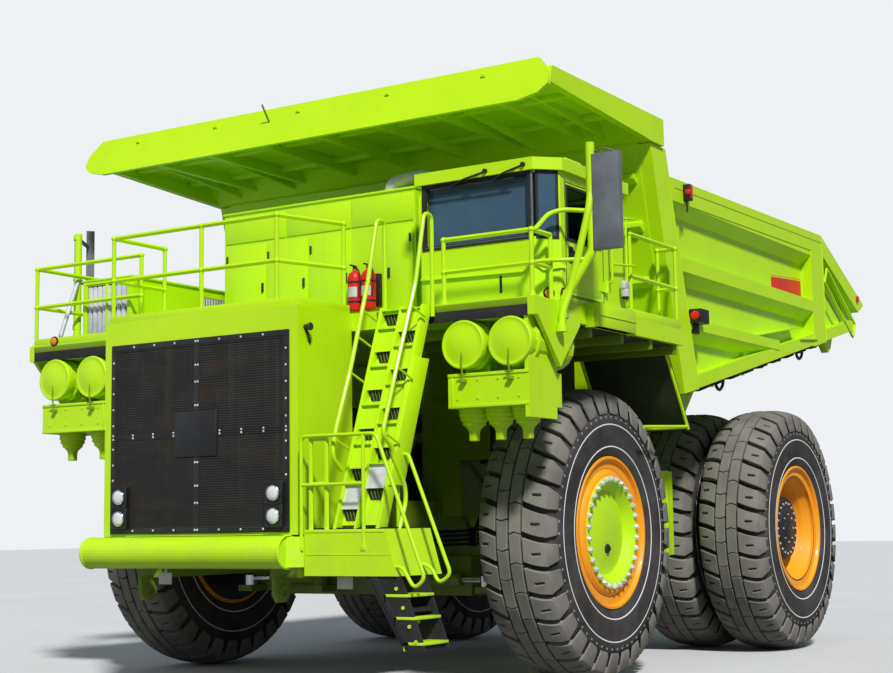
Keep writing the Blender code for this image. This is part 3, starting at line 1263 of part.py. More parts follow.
def steering_cylinder(name, side, barrel_body, rod_body):
    """A hydraulic cylinder from the axle beam to the knuckle's front arm."""
    z = STEER_CYLINDER_Z
    base = Vector((STEER_BASE_X, STEER_BASE_Y, z))
    eye = Vector((KINGPIN_X, -FRONT_ARM_LENGTH, z))
    run = (eye - base).normalized()
    low = ARM_TOP + SEAT_GAP
    barrel = fused([
        bar(base, base + run * STEER_BARREL_LENGTH, STEER_BARREL_RADIUS, PIN_SIDES),
        bar(
            (base.x, base.y, low), (base.x, base.y, z + STEER_BARREL_RADIUS * STEER_EYE_SHARE),
            STEER_EYE_RADIUS, PIN_SIDES),
    ])
    bore = bar(
        base + run * (STEER_EYE_RADIUS + OVERRUN / 2), base + run * (STEER_BARREL_LENGTH + OVERRUN),
        STEER_ROD_RADIUS + SEAT_GAP, SMALL_SIDES)
    barrel = cut(barrel, [bore])
    rod = fused([
        bar(base + run * STEER_ROD_START, eye, STEER_ROD_RADIUS, SMALL_SIDES),
        bar((eye.x, eye.y, low), (eye.x, eye.y, z + STEER_ROD_RADIUS), STEER_EYE_RADIUS, PIN_SIDES),
    ])
    if side < 0:
        barrel, rod = flipped(barrel), flipped(rod)
    finish("steering_cylinder_" + name, barrel, "lime_paint", barrel_body)
    finish("steering_rod_" + name, rod, "chrome_rod", rod_body)


# Rear axle and struts
AXLE_HOUSING_RADIUS = 0.58
AXLE_HOUSING_HALF = 1.60
AXLE_NOSE_RADIUS = 0.20
AXLE_NOSE_BASE_RADIUS = 0.45
REAR_STRUT_RADIUS = 0.13
REAR_STRUT_BOTTOM = 2.05


def rear_axle():
    """The axle box with its nose cone, a spindle in each twin wheel, and strut brackets."""
    boss = REAR_TRACK_HALF + DUAL_SPACING / 2 + RIM_HALF_WIDTH - MOTOR_FACE_DEPTH - HUB_DISC_THICKNESS - RIM_WALL
    middle = TYRE_RADIUS
    box = bar(
        (-AXLE_HOUSING_HALF, WHEELBASE, middle), (AXLE_HOUSING_HALF, WHEELBASE, middle),
        AXLE_HOUSING_RADIUS, WHEEL_SIDES)
    spindle = bar(
        (-boss + SEAT_GAP, WHEELBASE, middle), (boss - SEAT_GAP, WHEELBASE, middle), AXLE_SPINDLE_RADIUS,
        WHEEL_SIDES)
    nose = bar(
        (0, WHEELBASE, middle), (0, REAR_CROSS_Y + SEAT_GAP, middle), AXLE_NOSE_BASE_RADIUS, PIN_SIDES,
        AXLE_NOSE_RADIUS)
    bracket = block(
        (REAR_STRUT_X - STRUT_PAD_HALF, REAR_STRUT_X + STRUT_PAD_HALF),
        (WHEELBASE, REAR_STRUT_Y + STRUT_PAD_HALF), (middle - STRUT_PAD_HALF, REAR_STRUT_BOTTOM))
    strut = bar(
        (REAR_STRUT_X, REAR_STRUT_Y, REAR_STRUT_BOTTOM - OVERRUN),
        (REAR_STRUT_X, REAR_STRUT_Y, REAR_STRUT_TOP - SEAT_GAP), REAR_STRUT_RADIUS)
    finish("rear_axle_housing", fused([box, spindle, nose] + both(bracket) + both(strut)), "lime_paint")


# Dump body
FLOOR_FRONT = (1.77, 3.47)
FLOOR_SLOPE = 0.2135
FLOOR_THICKNESS = 0.10
WALL_THICKNESS = 0.10
RIB_DEPTH = 0.18
RIB_INSET = 0.01
FRONT_WALL_TOP = (0.94, 6.65)
FRONT_WALL_THICKNESS = 0.14
FRONT_POST_WIDTH = 0.48
REAR_POST = (6.85, 7.42)
WALL_TOP_FRONT = (1.64, 6.30)
WALL_TOP_REAR = (7.35, 6.39)
TAIL_TOP = (9.40, 5.48)
TAIL_BOTTOM_Y = 9.08
TOP_RAIL_HEIGHT = 0.30
MID_RIB_Z = (5.10, 5.28)
LOW_RIB_Z = (4.36, 4.50)
LOW_RIB_REAR = 5.30
CANOPY_FRONT = -1.88
CANOPY_REAR = 1.29
CANOPY_HALF_WIDTH = 3.59
CANOPY_PLATE = 0.10
CANOPY_SIDE_DEPTH_FRONT = 0.20
CANOPY_SIDE_DEPTH_REAR = 0.35
LIP_TOP = 7.13
LIP_BOTTOM = 6.61
LIP_THICKNESS = 0.07
LIP_LEAN = 0.385
# place along the lip's height, half-width there
LIP_SHARES = ((0.0, 0.90), (0.12, 0.97), (0.30, 1.0), (0.60, 0.997), (1.0, 0.947))
CANOPY_RIB_COUNT = 7
CANOPY_RIB_WIDTH = 0.08
CANOPY_RIB_DEPTH = 0.14
BOLSTER_REAR = 7.00
BOLSTER_TAPER_REAR = 8.30
CHEEK_THICKNESS = 0.10
CHEEK_HALF = 0.28
CHEEK_STEPS = 6
HOIST_TOP_Y = 3.90
HOIST_TOP_Z = 3.66
PIVOT_CAP_RADIUS = 0.12


def floor_underside(y):
    """Height of the floor's underside at a place along the truck."""
    return FLOOR_FRONT[1] + FLOOR_SLOPE * (y - FLOOR_FRONT[0])


def floor_top(y):
    """Height of the floor's upper face at a place along the truck."""
    return floor_underside(y) + FLOOR_THICKNESS


def front_wall_y(z, back=0):
    """Place of the leaning front wall at a height."""
    lean = (FLOOR_FRONT[0] - FRONT_WALL_TOP[0]) / (FRONT_WALL_TOP[1] - FLOOR_FRONT[1])
    return FLOOR_FRONT[0] - lean * (z - FLOOR_FRONT[1]) + back


def side_rib(heights, front, rear, inset):
    """A rib along the body's side whose underside slants in to the wall."""
    wall_x, outer = BODY_HALF_WIDTH - RIB_DEPTH, BODY_HALF_WIDTH - inset
    low, high = heights
    return plate([
        (wall_x - OVERRUN, low - RIB_DEPTH), (outer, low), (outer, high), (wall_x - OVERRUN, high),
    ], "Y", front, rear)


def dump_body(body):
    """The hollow load box with ribbed sides, bolsters under it and pivot cheeks."""
    wall_x = BODY_HALF_WIDTH - RIB_DEPTH
    tail_bottom = (TAIL_BOTTOM_Y, floor_underside(TAIL_BOTTOM_Y))
    side_outline = [
        FLOOR_FRONT, FRONT_WALL_TOP,
        (front_wall_y(FRONT_WALL_TOP[1], FRONT_POST_WIDTH), FRONT_WALL_TOP[1]),
        WALL_TOP_FRONT, WALL_TOP_REAR, TAIL_TOP, tail_bottom,
    ]
    rear = TAIL_TOP[0] + FLOOR_THICKNESS
    over = WALL_TOP_REAR[1] + TOP_RAIL_HEIGHT
    load_space = [
        (FLOOR_FRONT[0] + FRONT_WALL_THICKNESS, floor_top(FLOOR_FRONT[0] + FRONT_WALL_THICKNESS)),
        (front_wall_y(over, FRONT_WALL_THICKNESS), over),
        (rear, over), (rear, floor_top(rear)),
    ]
    inner_x = wall_x - WALL_THICKNESS
    shell = cut(plate(side_outline, "X", -wall_x, wall_x), [plate(load_space, "X", -inner_x, inner_x)])
    low, high = FLOOR_FRONT[1] + RIB_INSET * 2, FRONT_WALL_TOP[1] - RIB_INSET
    post_foot = FLOOR_FRONT[0] + FRONT_POST_WIDTH
    post = plate([
        (front_wall_y(low, RIB_INSET), low), (front_wall_y(high, RIB_INSET), high),
        (front_wall_y(high, FRONT_POST_WIDTH - RIB_INSET), high),
        (post_foot, floor_underside(post_foot) + RIB_INSET),
    ], "X", wall_x - OVERRUN, BODY_HALF_WIDTH)
    rail_front = WALL_TOP_FRONT[0] - FRONT_POST_WIDTH / 2
    top_rail = plate([
        (rail_front, WALL_TOP_FRONT[1] - TOP_RAIL_HEIGHT), (rail_front, WALL_TOP_FRONT[1]),
        WALL_TOP_REAR, TAIL_TOP, (TAIL_TOP[0] - TOP_RAIL_HEIGHT, TAIL_TOP[1] - TOP_RAIL_HEIGHT / 2),
        (WALL_TOP_REAR[0], WALL_TOP_REAR[1] - TOP_RAIL_HEIGHT),
    ], "X", wall_x - OVERRUN, BODY_HALF_WIDTH)
    rear_post = plate([
        (REAR_POST[0], WALL_TOP_REAR[1] - TOP_RAIL_HEIGHT / 2),
        (REAR_POST[1], WALL_TOP_REAR[1] - TOP_RAIL_HEIGHT),
        *((y, floor_underside(y)) for y in reversed(REAR_POST)),
    ], "X", wall_x - OVERRUN, BODY_HALF_WIDTH)
    rib_rear = REAR_POST[0] + OVERRUN
    mid_rib = side_rib(MID_RIB_Z, front_wall_y(MID_RIB_Z[0], FRONT_POST_WIDTH / 2), rib_rear, 0)
    low_rib = side_rib(LOW_RIB_Z, front_wall_y(LOW_RIB_Z[0], FRONT_POST_WIDTH / 2), LOW_RIB_REAR, 0)
    rail_foot = WALL_TOP_FRONT[1] - TOP_RAIL_HEIGHT
    rail_chamfer = side_rib(
        (rail_foot, rail_foot + TOP_RAIL_HEIGHT / 2), front_wall_y(rail_foot, FRONT_POST_WIDTH / 2),
        rib_rear, RIB_INSET)
    sill_front, sill_rear = post_foot - RIB_DEPTH, TAIL_BOTTOM_Y - RIB_DEPTH
    sill = plate([
        (sill_front, floor_underside(sill_front) + RIB_INSET * 2),
        (sill_rear, floor_underside(sill_rear) + RIB_INSET * 2),
        (sill_rear, floor_top(sill_rear) + FLOOR_THICKNESS),
        (sill_front, floor_top(sill_front) + FLOOR_THICKNESS),
    ], "X", wall_x - OVERRUN, BODY_HALF_WIDTH - RIB_INSET)
    bolster = plate([
        (BODY_REST_FRONT, body_rest_height(BODY_REST_FRONT, BODY_REST_OFFSET)),
        (BOLSTER_REAR, body_rest_height(BOLSTER_REAR, BODY_REST_OFFSET)),
        (BOLSTER_TAPER_REAR, floor_underside(BOLSTER_TAPER_REAR) + OVERRUN),
        (BODY_REST_FRONT, floor_underside(BODY_REST_FRONT) + OVERRUN),
    ], "X", RAIL_INNER, RAIL_OUTER + CHEEK_THICKNESS)
    cheek_arc = [
        (PIVOT_Y - CHEEK_HALF * math.cos(turn), PIVOT_Z - CHEEK_HALF * math.sin(turn))
        for turn in (math.pi * i / CHEEK_STEPS for i in range(CHEEK_STEPS + 1))]
    cheek = plate([
        *cheek_arc,
        (PIVOT_Y + CHEEK_HALF, PIVOT_Z + BODY_REST_OFFSET + CHEEK_HALF),
        (PIVOT_Y - CHEEK_HALF, PIVOT_Z + BODY_REST_OFFSET + CHEEK_HALF),
    ], "X", RAIL_OUTER + SEAT_GAP, RAIL_OUTER + CHEEK_THICKNESS - SEAT_GAP)
    cap = bar(
        (RAIL_OUTER + CHEEK_THICKNESS - OVERRUN, PIVOT_Y, PIVOT_Z),
        (RAIL_OUTER + CHEEK_THICKNESS + OVERRUN, PIVOT_Y, PIVOT_Z), PIVOT_CAP_RADIUS, PIN_SIDES)
    hoist_pin = bar(
        (RAIL_INNER + OVERRUN, HOIST_TOP_Y, HOIST_TOP_Z),
        (HOIST_X - HOIST_EYE_HALF - SEAT_GAP, HOIST_TOP_Y, HOIST_TOP_Z), HOIST_PIN_RADIUS)
    mirrored_pieces = [
        post, top_rail, rail_chamfer, rear_post, mid_rib, low_rib, sill, bolster, cheek, cap, hoist_pin]
    pieces = [copy for piece in mirrored_pieces for copy in both(piece)]
    finish("dump_body", fused([shell] + pieces), "lime_paint", body)


def lip_y(z):
    """Place of the lip's leaning front face at a height."""
    return CANOPY_FRONT + LIP_LEAN * (z - LIP_BOTTOM)


def canopy_lip():
    """The upright front plate with rounded lower corners, leaning back."""
    half = [
        (CANOPY_HALF_WIDTH * wide, LIP_BOTTOM + (LIP_TOP - LIP_BOTTOM) * high) for high, wide in LIP_SHARES]
    outline = half + [(-x, z) for x, z in reversed(half)]
    lip = plate(outline, "Y", 0, LIP_THICKNESS)
    for point in lip.data.vertices:
        point.co.y += lip_y(point.co.z)
    return lip


def body_canopy(body):
    """The rock guard over the cab: a ribbed roof with deep sides and a front lip."""
    rear = CANOPY_REAR
    low = CANOPY_TOP - CANOPY_SIDE_DEPTH_FRONT
    inside = LIP_THICKNESS / 2
    slab = plate([
        (lip_y(low) + inside, low), (lip_y(CANOPY_TOP) + inside, CANOPY_TOP), (rear, CANOPY_TOP),
        (rear, FRONT_WALL_TOP[1] + SEAT_GAP), (FRONT_WALL_TOP[0], FRONT_WALL_TOP[1] + SEAT_GAP),
    ], "X", -CANOPY_HALF_WIDTH, CANOPY_HALF_WIDTH)
    under = plate([
        (CANOPY_FRONT - OVERRUN, CANOPY_TOP - CANOPY_PLATE),
        (FRONT_WALL_TOP[0] - CANOPY_SIDE_DEPTH_REAR, CANOPY_TOP - CANOPY_PLATE),
        (FRONT_WALL_TOP[0] - OVERRUN, FRONT_WALL_TOP[1] - OVERRUN),
        (CANOPY_FRONT - OVERRUN, FRONT_WALL_TOP[1] - OVERRUN),
    ], "X", -CANOPY_HALF_WIDTH + CANOPY_PLATE, CANOPY_HALF_WIDTH - CANOPY_PLATE)
    roof = cut(slab, [under])
    ribs = []
    for i in range(CANOPY_RIB_COUNT):
        x = CANOPY_HALF_WIDTH * (2 * (i + 1) / (CANOPY_RIB_COUNT + 1) - 1)
        ribs.append(block(
            (x - CANOPY_RIB_WIDTH / 2, x + CANOPY_RIB_WIDTH / 2),
            (lip_y(CANOPY_TOP) + inside, FRONT_WALL_TOP[0] - CANOPY_RIB_DEPTH),
            (CANOPY_TOP - CANOPY_PLATE - CANOPY_RIB_DEPTH, CANOPY_TOP - CANOPY_PLATE / 2)))
    finish("body_canopy", fused([roof, canopy_lip()] + ribs), "lime_paint", body)


# Hoist cylinders
HOIST_BARREL_RADIUS = 0.20
HOIST_STAGE_RADIUS = 0.15
HOIST_ROD_RADIUS = 0.10
HOIST_BARREL_LENGTH = 1.62
HOIST_STAGE_OUT = 0.12
HOIST_BOTTOM_WALL = 0.16
HOIST_ROD_EYE_RADIUS = 0.16


def hoist(name, side, barrel_body, stage_body, rod_body):
    """A two-stage cylinder from the frame's pin up to the dump body's pin."""
    base = Vector((HOIST_X, HOIST_BASE_Y, HOIST_BASE_Z))
    eye = Vector((HOIST_X, HOIST_TOP_Y, HOIST_TOP_Z))
    run = (eye - base).normalized()
    half = HOIST_EYE_HALF
    start = HOIST_BARREL_RADIUS + HOIST_BOTTOM_WALL
    barrel = fused([
        bar(base + run * HOIST_BOTTOM_WALL, base + run * HOIST_BARREL_LENGTH, HOIST_BARREL_RADIUS, PIN_SIDES),
        bar(
            (HOIST_X - half, base.y, base.z), (HOIST_X + half, base.y, base.z), HOIST_BARREL_RADIUS,
            PIN_SIDES),
    ])
    barrel = cut(barrel, [bar(
        base + run * start, base + run * (HOIST_BARREL_LENGTH + OVERRUN), HOIST_STAGE_RADIUS + SEAT_GAP,
        PIN_SIDES)])
    stage_top = HOIST_BARREL_LENGTH + HOIST_STAGE_OUT
    stage = bar(base + run * (start + SEAT_GAP), base + run * stage_top, HOIST_STAGE_RADIUS, PIN_SIDES)
    stage = cut(stage, [bar(
        base + run * (start + HOIST_BOTTOM_WALL), base + run * (stage_top + OVERRUN),
        HOIST_ROD_RADIUS + SEAT_GAP, PIN_SIDES)])
    rod = fused([
        bar(base + run * (start + HOIST_BOTTOM_WALL + SEAT_GAP), eye, HOIST_ROD_RADIUS, PIN_SIDES),
        bar((HOIST_X - half, eye.y, eye.z), (HOIST_X + half, eye.y, eye.z), HOIST_ROD_EYE_RADIUS, PIN_SIDES),
    ])
    if side < 0:
        barrel, stage, rod = flipped(barrel), flipped(stage), flipped(rod)
    finish("hoist_barrel_" + name, barrel, "lime_paint", barrel_body)
    finish("hoist_stage_" + name, stage, "chrome_rod", stage_body)
    finish("hoist_rod_" + name, rod, "chrome_rod", rod_body)


def build():
    """Make every piece of the truck."""
    frame_rails()
    front_bumper()
    radiator_housing()
    engine_block()
    decks()
    cab()
    cab_door(pivot("cab_door_axis", (CAB_LEFT + DOOR_HINGE_GAP, DOOR_REAR, DOOR_BOTTOM)))
    cab_furniture()
    electrical_cabinet()
    retarder_grid()
    ladder()
    front_platform()
    boarding_steps()
    mirror_left()
    mirror_right()
    fire_extinguishers()
    tanks()
    rear_axle()
    tie_rod(pivot("tie_rod_axis", (KINGPIN_X, REAR_ARM_LENGTH, TIE_ROD_Z)))
    body_axis = pivot("dump_body_axis", (0, PIVOT_Y, PIVOT_Z))
    dump_body(body_axis)
    body_canopy(body_axis)
    for name, side in SIDES:
        air_cleaner(name, side)
        knuckle(name, side, pivot("steer_axis_" + name, (side * KINGPIN_X, 0, TYRE_RADIUS)))
        front_wheel(name, side, pivot("front_spin_axis_" + name, (side * FRONT_TRACK_HALF, 0, TYRE_RADIUS)))
        rear_wheel(
            name, side, pivot("rear_spin_axis_" + name, (side * REAR_TRACK_HALF, WHEELBASE, TYRE_RADIUS)))
        base = (side * STEER_BASE_X, STEER_BASE_Y, STEER_CYLINDER_Z)
        steering_cylinder(
            name, side, pivot("steering_cylinder_axis_" + name, base),
            pivot("steering_rod_axis_" + name, base))
        foot = (side * HOIST_X, HOIST_BASE_Y, HOIST_BASE_Z)
        hoist(name, side, pivot("hoist_axis_" + name, foot), pivot("hoist_stage_axis_" + name, foot),
              pivot("hoist_rod_axis_" + name, foot))


build()
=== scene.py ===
# %% [markdown]
# # A mining dump truck, step by step
# The truck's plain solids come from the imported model. This lesson paints them, and replaces the ones
# that need finer shapes: tyres, rims, grille, lamps, rails and the load body's trim.
# Everything is in metres, +Z up, with the truck's nose towards -Y and its left side towards +X.

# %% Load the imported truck
import json
import math

import bpy
from mathutils import Matrix, Vector


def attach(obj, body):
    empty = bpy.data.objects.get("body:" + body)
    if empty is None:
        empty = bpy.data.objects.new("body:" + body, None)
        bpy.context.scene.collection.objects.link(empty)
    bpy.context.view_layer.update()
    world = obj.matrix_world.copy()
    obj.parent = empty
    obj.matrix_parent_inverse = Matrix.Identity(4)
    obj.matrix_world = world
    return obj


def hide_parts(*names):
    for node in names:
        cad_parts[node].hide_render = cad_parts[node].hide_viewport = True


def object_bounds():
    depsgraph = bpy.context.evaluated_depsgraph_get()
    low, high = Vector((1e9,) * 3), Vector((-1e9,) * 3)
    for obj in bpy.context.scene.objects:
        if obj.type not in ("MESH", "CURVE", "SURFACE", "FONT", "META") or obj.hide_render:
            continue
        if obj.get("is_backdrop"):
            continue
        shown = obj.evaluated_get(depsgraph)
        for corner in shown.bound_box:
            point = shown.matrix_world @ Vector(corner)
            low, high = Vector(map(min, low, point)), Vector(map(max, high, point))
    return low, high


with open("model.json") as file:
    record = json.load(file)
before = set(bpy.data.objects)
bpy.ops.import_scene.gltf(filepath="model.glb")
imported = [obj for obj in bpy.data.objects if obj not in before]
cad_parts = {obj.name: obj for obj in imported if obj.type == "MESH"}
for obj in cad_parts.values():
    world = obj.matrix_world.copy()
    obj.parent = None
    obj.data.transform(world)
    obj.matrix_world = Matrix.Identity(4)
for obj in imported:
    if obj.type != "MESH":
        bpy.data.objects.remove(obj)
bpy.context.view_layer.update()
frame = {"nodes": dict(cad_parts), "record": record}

# %% [markdown]
# ## Camera
# The photograph was taken from about eye height, well in front of the truck's left front corner, with a
# long lens that looks slightly upwards. The place, turn and lens come from a fit to the wheels and deck.

# %% Place the camera
camera_data = bpy.data.cameras.new("camera")
camera_data.sensor_width = 36.0
camera_data.lens = 63.61
camera_data.clip_end = 200.0
camera = bpy.data.objects.new("camera", camera_data)
bpy.context.scene.collection.objects.link(camera)
yaw, pitch, roll = (math.radians(v) for v in (32.3195, 6.8663, -0.8494))
forward = Vector((-math.sin(yaw) * math.cos(pitch), math.cos(yaw) * math.cos(pitch), math.sin(pitch)))
level = Vector((math.cos(yaw), math.sin(yaw), 0))
upward = level.cross(forward)
right = math.cos(roll) * level + math.sin(roll) * upward
upright = -math.sin(roll) * level + math.cos(roll) * upward
turn = Matrix((right, upright, -forward)).transposed().to_4x4()
camera.matrix_world = Matrix.Translation((11.8205, -19.753, 1.8329)) @ turn
bpy.context.scene.camera = camera
print("camera at", tuple(round(v, 2) for v in camera.location))

# %% [markdown]
# ## Light and floor
# A broad soft key light stands front left and high, as the sun does in the photograph, with a weak fill
# from the other side. The world gives an even pale light, and looks near white to the camera.

# %% Lights, world and floor
scene = bpy.context.scene
scene.view_settings.view_transform = "Standard"


def area_light(name, place, target, size, watts):
    """A square soft light at a place, pointed at a target."""
    data = bpy.data.lights.new(name, "AREA")
    data.size = size
    data.energy = watts
    light = bpy.data.objects.new(name, data)
    scene.collection.objects.link(light)
    light.matrix_world = Matrix.Translation(place) @ (
        Vector(place) - Vector(target)).to_track_quat("Z", "Y").to_matrix().to_4x4()
    return light


sun_data = bpy.data.lights.new("key_sun", "SUN")
sun_data.energy = 3.9
sun_data.angle = math.radians(6)
sun = bpy.data.objects.new("key_sun", sun_data)
scene.collection.objects.link(sun)
sun.matrix_world = Vector((0.62, -0.66, 0.85)).to_track_quat("Z", "Y").to_matrix().to_4x4()
area_light("low_fill", (-14, -16, 7), (0, 0, 2.5), 12, 260)

world = bpy.data.worlds.new("studio")
scene.world = world
world.use_nodes = True
sky = world.node_tree
background = sky.nodes["Background"]
seen = sky.nodes.new("ShaderNodeLightPath")
shade = sky.nodes.new("ShaderNodeMix")
shade.data_type = "RGBA"
shade.inputs["A"].default_value = (0.21, 0.24, 0.29, 1)
shade.inputs["B"].default_value = (0.86, 0.88, 0.90, 1)
sky.links.new(seen.outputs["Is Camera Ray"], shade.inputs["Factor"])
sky.links.new(shade.outputs["Result"], background.inputs["Color"])

bpy.ops.object.select_all(action="DESELECT")
bpy.ops.mesh.primitive_plane_add(size=240, location=(0, 0, 0))
floor = bpy.context.object
floor.name = "studio_floor"
floor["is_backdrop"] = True

# %% [markdown]
# ## Finishes
# Every finish is built from the same few steps: a base colour that wanders a little, dust that gathers
# low down, roughness that varies, and a fine bump. All patterns read Object coordinates, so they are at
# real scale, and stay on the pieces when these move.

# %% A small kit for node finishes


class Finish:
    """A material that is put together node by node."""

    def __init__(self, name, metallic=0.0, coat=0.0, specular=0.5):
        self.material = bpy.data.materials.new(name)
        self.material.use_nodes = True
        self.tree = self.material.node_tree
        self.shader = self.tree.nodes["Principled BSDF"]
        self.shader.inputs["Metallic"].default_value = metallic
        self.shader.inputs["Coat Weight"].default_value = coat
        self.shader.inputs["Coat Roughness"].default_value = 0.12
        self.shader.inputs["Specular IOR Level"].default_value = specular
        self.place = self.tree.nodes.new("ShaderNodeTexCoord").outputs["Object"]

    def link(self, value, socket):
        if isinstance(value, bpy.types.NodeSocket):
            self.tree.links.new(value, socket)
        elif isinstance(value, tuple) and len(value) == 3 and socket.type == "RGBA":
            socket.default_value = (*value, 1)
        else:
            socket.default_value = value

    def mapping(self, scale=(1, 1, 1), location=(0, 0, 0), rotation=(0, 0, 0)):
        node = self.tree.nodes.new("ShaderNodeMapping")
        node.inputs["Scale"].default_value = scale
        node.inputs["Location"].default_value = location
        node.inputs["Rotation"].default_value = rotation
        self.tree.links.new(self.place, node.inputs["Vector"])
        return node.outputs["Vector"]

    def noise(self, scale, detail=4.0, rough=0.55, vector=None):
        node = self.tree.nodes.new("ShaderNodeTexNoise")
        node.inputs["Scale"].default_value = scale
        node.inputs["Detail"].default_value = detail
        node.inputs["Roughness"].default_value = rough
        self.tree.links.new(vector or self.place, node.inputs["Vector"])
        return node.outputs["Fac"]

    def ramp(self, value, low, high, start=0.0, end=1.0):
        node = self.tree.nodes.new("ShaderNodeMapRange")
        self.link(value, node.inputs["Value"])
        for key, number in (("From Min", low), ("From Max", high), ("To Min", start), ("To Max", end)):
            node.inputs[key].default_value = number
        return node.outputs["Result"]

    def math(self, operation, a, b=0.0):
        node = self.tree.nodes.new("ShaderNodeMath")
        node.operation = operation
        self.link(a, node.inputs[0])
        self.link(b, node.inputs[1])
        return node.outputs[0]

    def mix(self, factor, a, b):
        node = self.tree.nodes.new("ShaderNodeMix")
        node.data_type = "RGBA"
        self.link(factor, node.inputs["Factor"])
        self.link(a, node.inputs["A"])
        self.link(b, node.inputs["B"])
        return node.outputs["Result"]

    def part(self, axis, vector=None):
        node = self.tree.nodes.new("ShaderNodeSeparateXYZ")
        self.tree.links.new(vector or self.place, node.inputs["Vector"])
        return node.outputs[axis]

    def bump(self, height, strength, distance=0.01):
        node = self.tree.nodes.new("ShaderNodeBump")
        node.inputs["Strength"].default_value = strength
        node.inputs["Distance"].default_value = distance
        self.link(height, node.inputs["Height"])
        self.tree.links.new(node.outputs["Normal"], self.shader.inputs["Normal"])

    def done(self, colour, roughness):
        self.link(colour, self.shader.inputs["Base Color"])
        self.link(roughness, self.shader.inputs["Roughness"])
        return self.material


print("finish kit ready")

# %% [markdown]
# The truck's plates are sprayed with gloss enamel. The paint fades in slow patches, runs in thin streaks and
# gathers dust low down, so three noises at different scales are mixed over the base colour.

# %% Enamel on welded plate


def plate_paint(name, colour, shade_colour, dust=0.35, roughness=0.40, coat=0.10):
    """Gloss enamel on welded plate: slow colour drift, thin streaks, dust low down, orange peel."""
    f = Finish(name, coat=coat, specular=0.30)
    drift = f.ramp(f.noise(0.7, 3), 0.35, 0.7)
    streaks = f.ramp(f.noise(5.0, 5, vector=f.mapping(scale=(1, 1, 0.09))), 0.56, 0.78, 0, 0.35)
    paint = f.mix(f.math("MULTIPLY", drift, 0.45), colour, shade_colour)
    paint = f.mix(streaks, paint, shade_colour)
    low = f.ramp(f.part("Z"), 0.3, 2.6, 1.0, 0.0)
    patches = f.ramp(f.noise(3.2, 6, 0.65), 0.42, 0.72)
    grime = f.math("MULTIPLY", f.math("MULTIPLY", low, patches), dust)
    paint = f.mix(grime, paint, (0.24, 0.20, 0.14))
    f.bump(f.noise(42.0, 2), 0.05, 0.004)
    rough = f.ramp(f.noise(2.4, 4), 0.3, 0.7, roughness - 0.07, roughness + 0.12)
    return f.done(paint, f.math("ADD", rough, f.math("MULTIPLY", grime, 0.6)))


LIME = plate_paint("lime_enamel", (0.50, 0.79, 0.004), (0.41, 0.68, 0.004))
ORANGE = plate_paint("orange_enamel", (0.96, 0.37, 0.006), (0.78, 0.25, 0.006), dust=0.3)
RED = plate_paint("red_enamel", (0.72, 0.015, 0.012), (0.45, 0.010, 0.010))
# This finish is lime darkened by painted shade, for pieces that lie in shade.
SHADE_LIME = plate_paint("shaded_lime", (0.20, 0.33, 0.004), (0.15, 0.26, 0.004))
# The next finish is lime darkened by grime and by painted shade.
LIME_GRIME_AND_SHADE = plate_paint("lime_grime_and_painted_shade", (0.17, 0.27, 0.006), (0.10, 0.145, 0.012), dust=0.6)
YELLOW = plate_paint("yellow_enamel", (0.85, 0.62, 0.02), (0.70, 0.48, 0.02))
print("paints:", LIME.name, ORANGE.name, RED.name)


# %% [markdown]
# Castings, plated nuts, worn steel and dull painted covers differ in colour, metal share and roughness only,
# so one function makes them all.

# %% Castings, plating and dull paint


def plain_metal(name, colour, metallic, roughness, grain=60.0):
    """Cast, rolled or plated metal with a faint grain and smudges."""
    f = Finish(name, metallic=metallic)
    worn = f.ramp(f.noise(3.0, 5), 0.35, 0.7)
    darker = tuple(c * 0.62 for c in colour)
    f.bump(f.noise(grain, 3), 0.06, 0.003)
    rough = f.ramp(f.noise(7.0, 4), 0.3, 0.7, roughness - 0.08, roughness + 0.12)
    return f.done(f.mix(worn, colour, darker), rough)


DARK = plain_metal("dark_casting", (0.045, 0.045, 0.05), 0.5, 0.5)
BLACK = plain_metal("black_paint", (0.012, 0.012, 0.013), 0.0, 0.45)
CHROME = plain_metal("chromed_rod", (0.80, 0.80, 0.82), 1.0, 0.16)
NUTS = plain_metal("zinc_nuts", (0.86, 0.86, 0.84), 0.35, 0.32)
GREY = plain_metal("grey_housing", (0.17, 0.18, 0.20), 0.1, 0.45)
WHITE = plain_metal("pale_louvre", (0.66, 0.67, 0.69), 0.1, 0.4)
WORN_STEEL = plain_metal("worn_steel", (0.30, 0.28, 0.25), 0.6, 0.45, 30.0)
WIRE = plain_metal("woven_wire", (0.042, 0.042, 0.037), 0.2, 0.5)
SLATE = plain_metal("slate_panel", (0.155, 0.165, 0.185), 0.0, 0.5, 30.0)
PLATE_WHITE = plain_metal("bare_plate", (0.55, 0.55, 0.54), 0.1, 0.45)
MIRROR = plain_metal("mirror_face", (0.55, 0.57, 0.60), 1.0, 0.12)
print("metals ready")

# %% [markdown]
# Tyres are dry rubber with a pale bloom of dust, thickest on the tread. Soft parts, old mud and the seat's
# cloth have the same dry look, and the mud finish is darkened further by painted shade. The radiator's core
# gets brown and green streaks behind the wire.

# %% Rubber, mud and the radiator's core


def rubber(name, colour, dusty, bump=0.25):
    """Moulded rubber with a dry, dusty bloom."""
    f = Finish(name, specular=0.25)
    bloom = f.ramp(f.noise(2.2, 6, 0.65), 0.35, 0.72)
    specks = f.ramp(f.noise(38.0, 4, 0.6), 0.55, 0.75, 0.0, 0.35)
    tint = f.mix(f.math("MULTIPLY", bloom, 0.8), colour, dusty)
    f.bump(f.noise(90.0, 4), bump, 0.004)
    return f.done(f.mix(specks, tint, dusty), f.ramp(f.noise(5.0, 4), 0.3, 0.7, 0.68, 0.9))


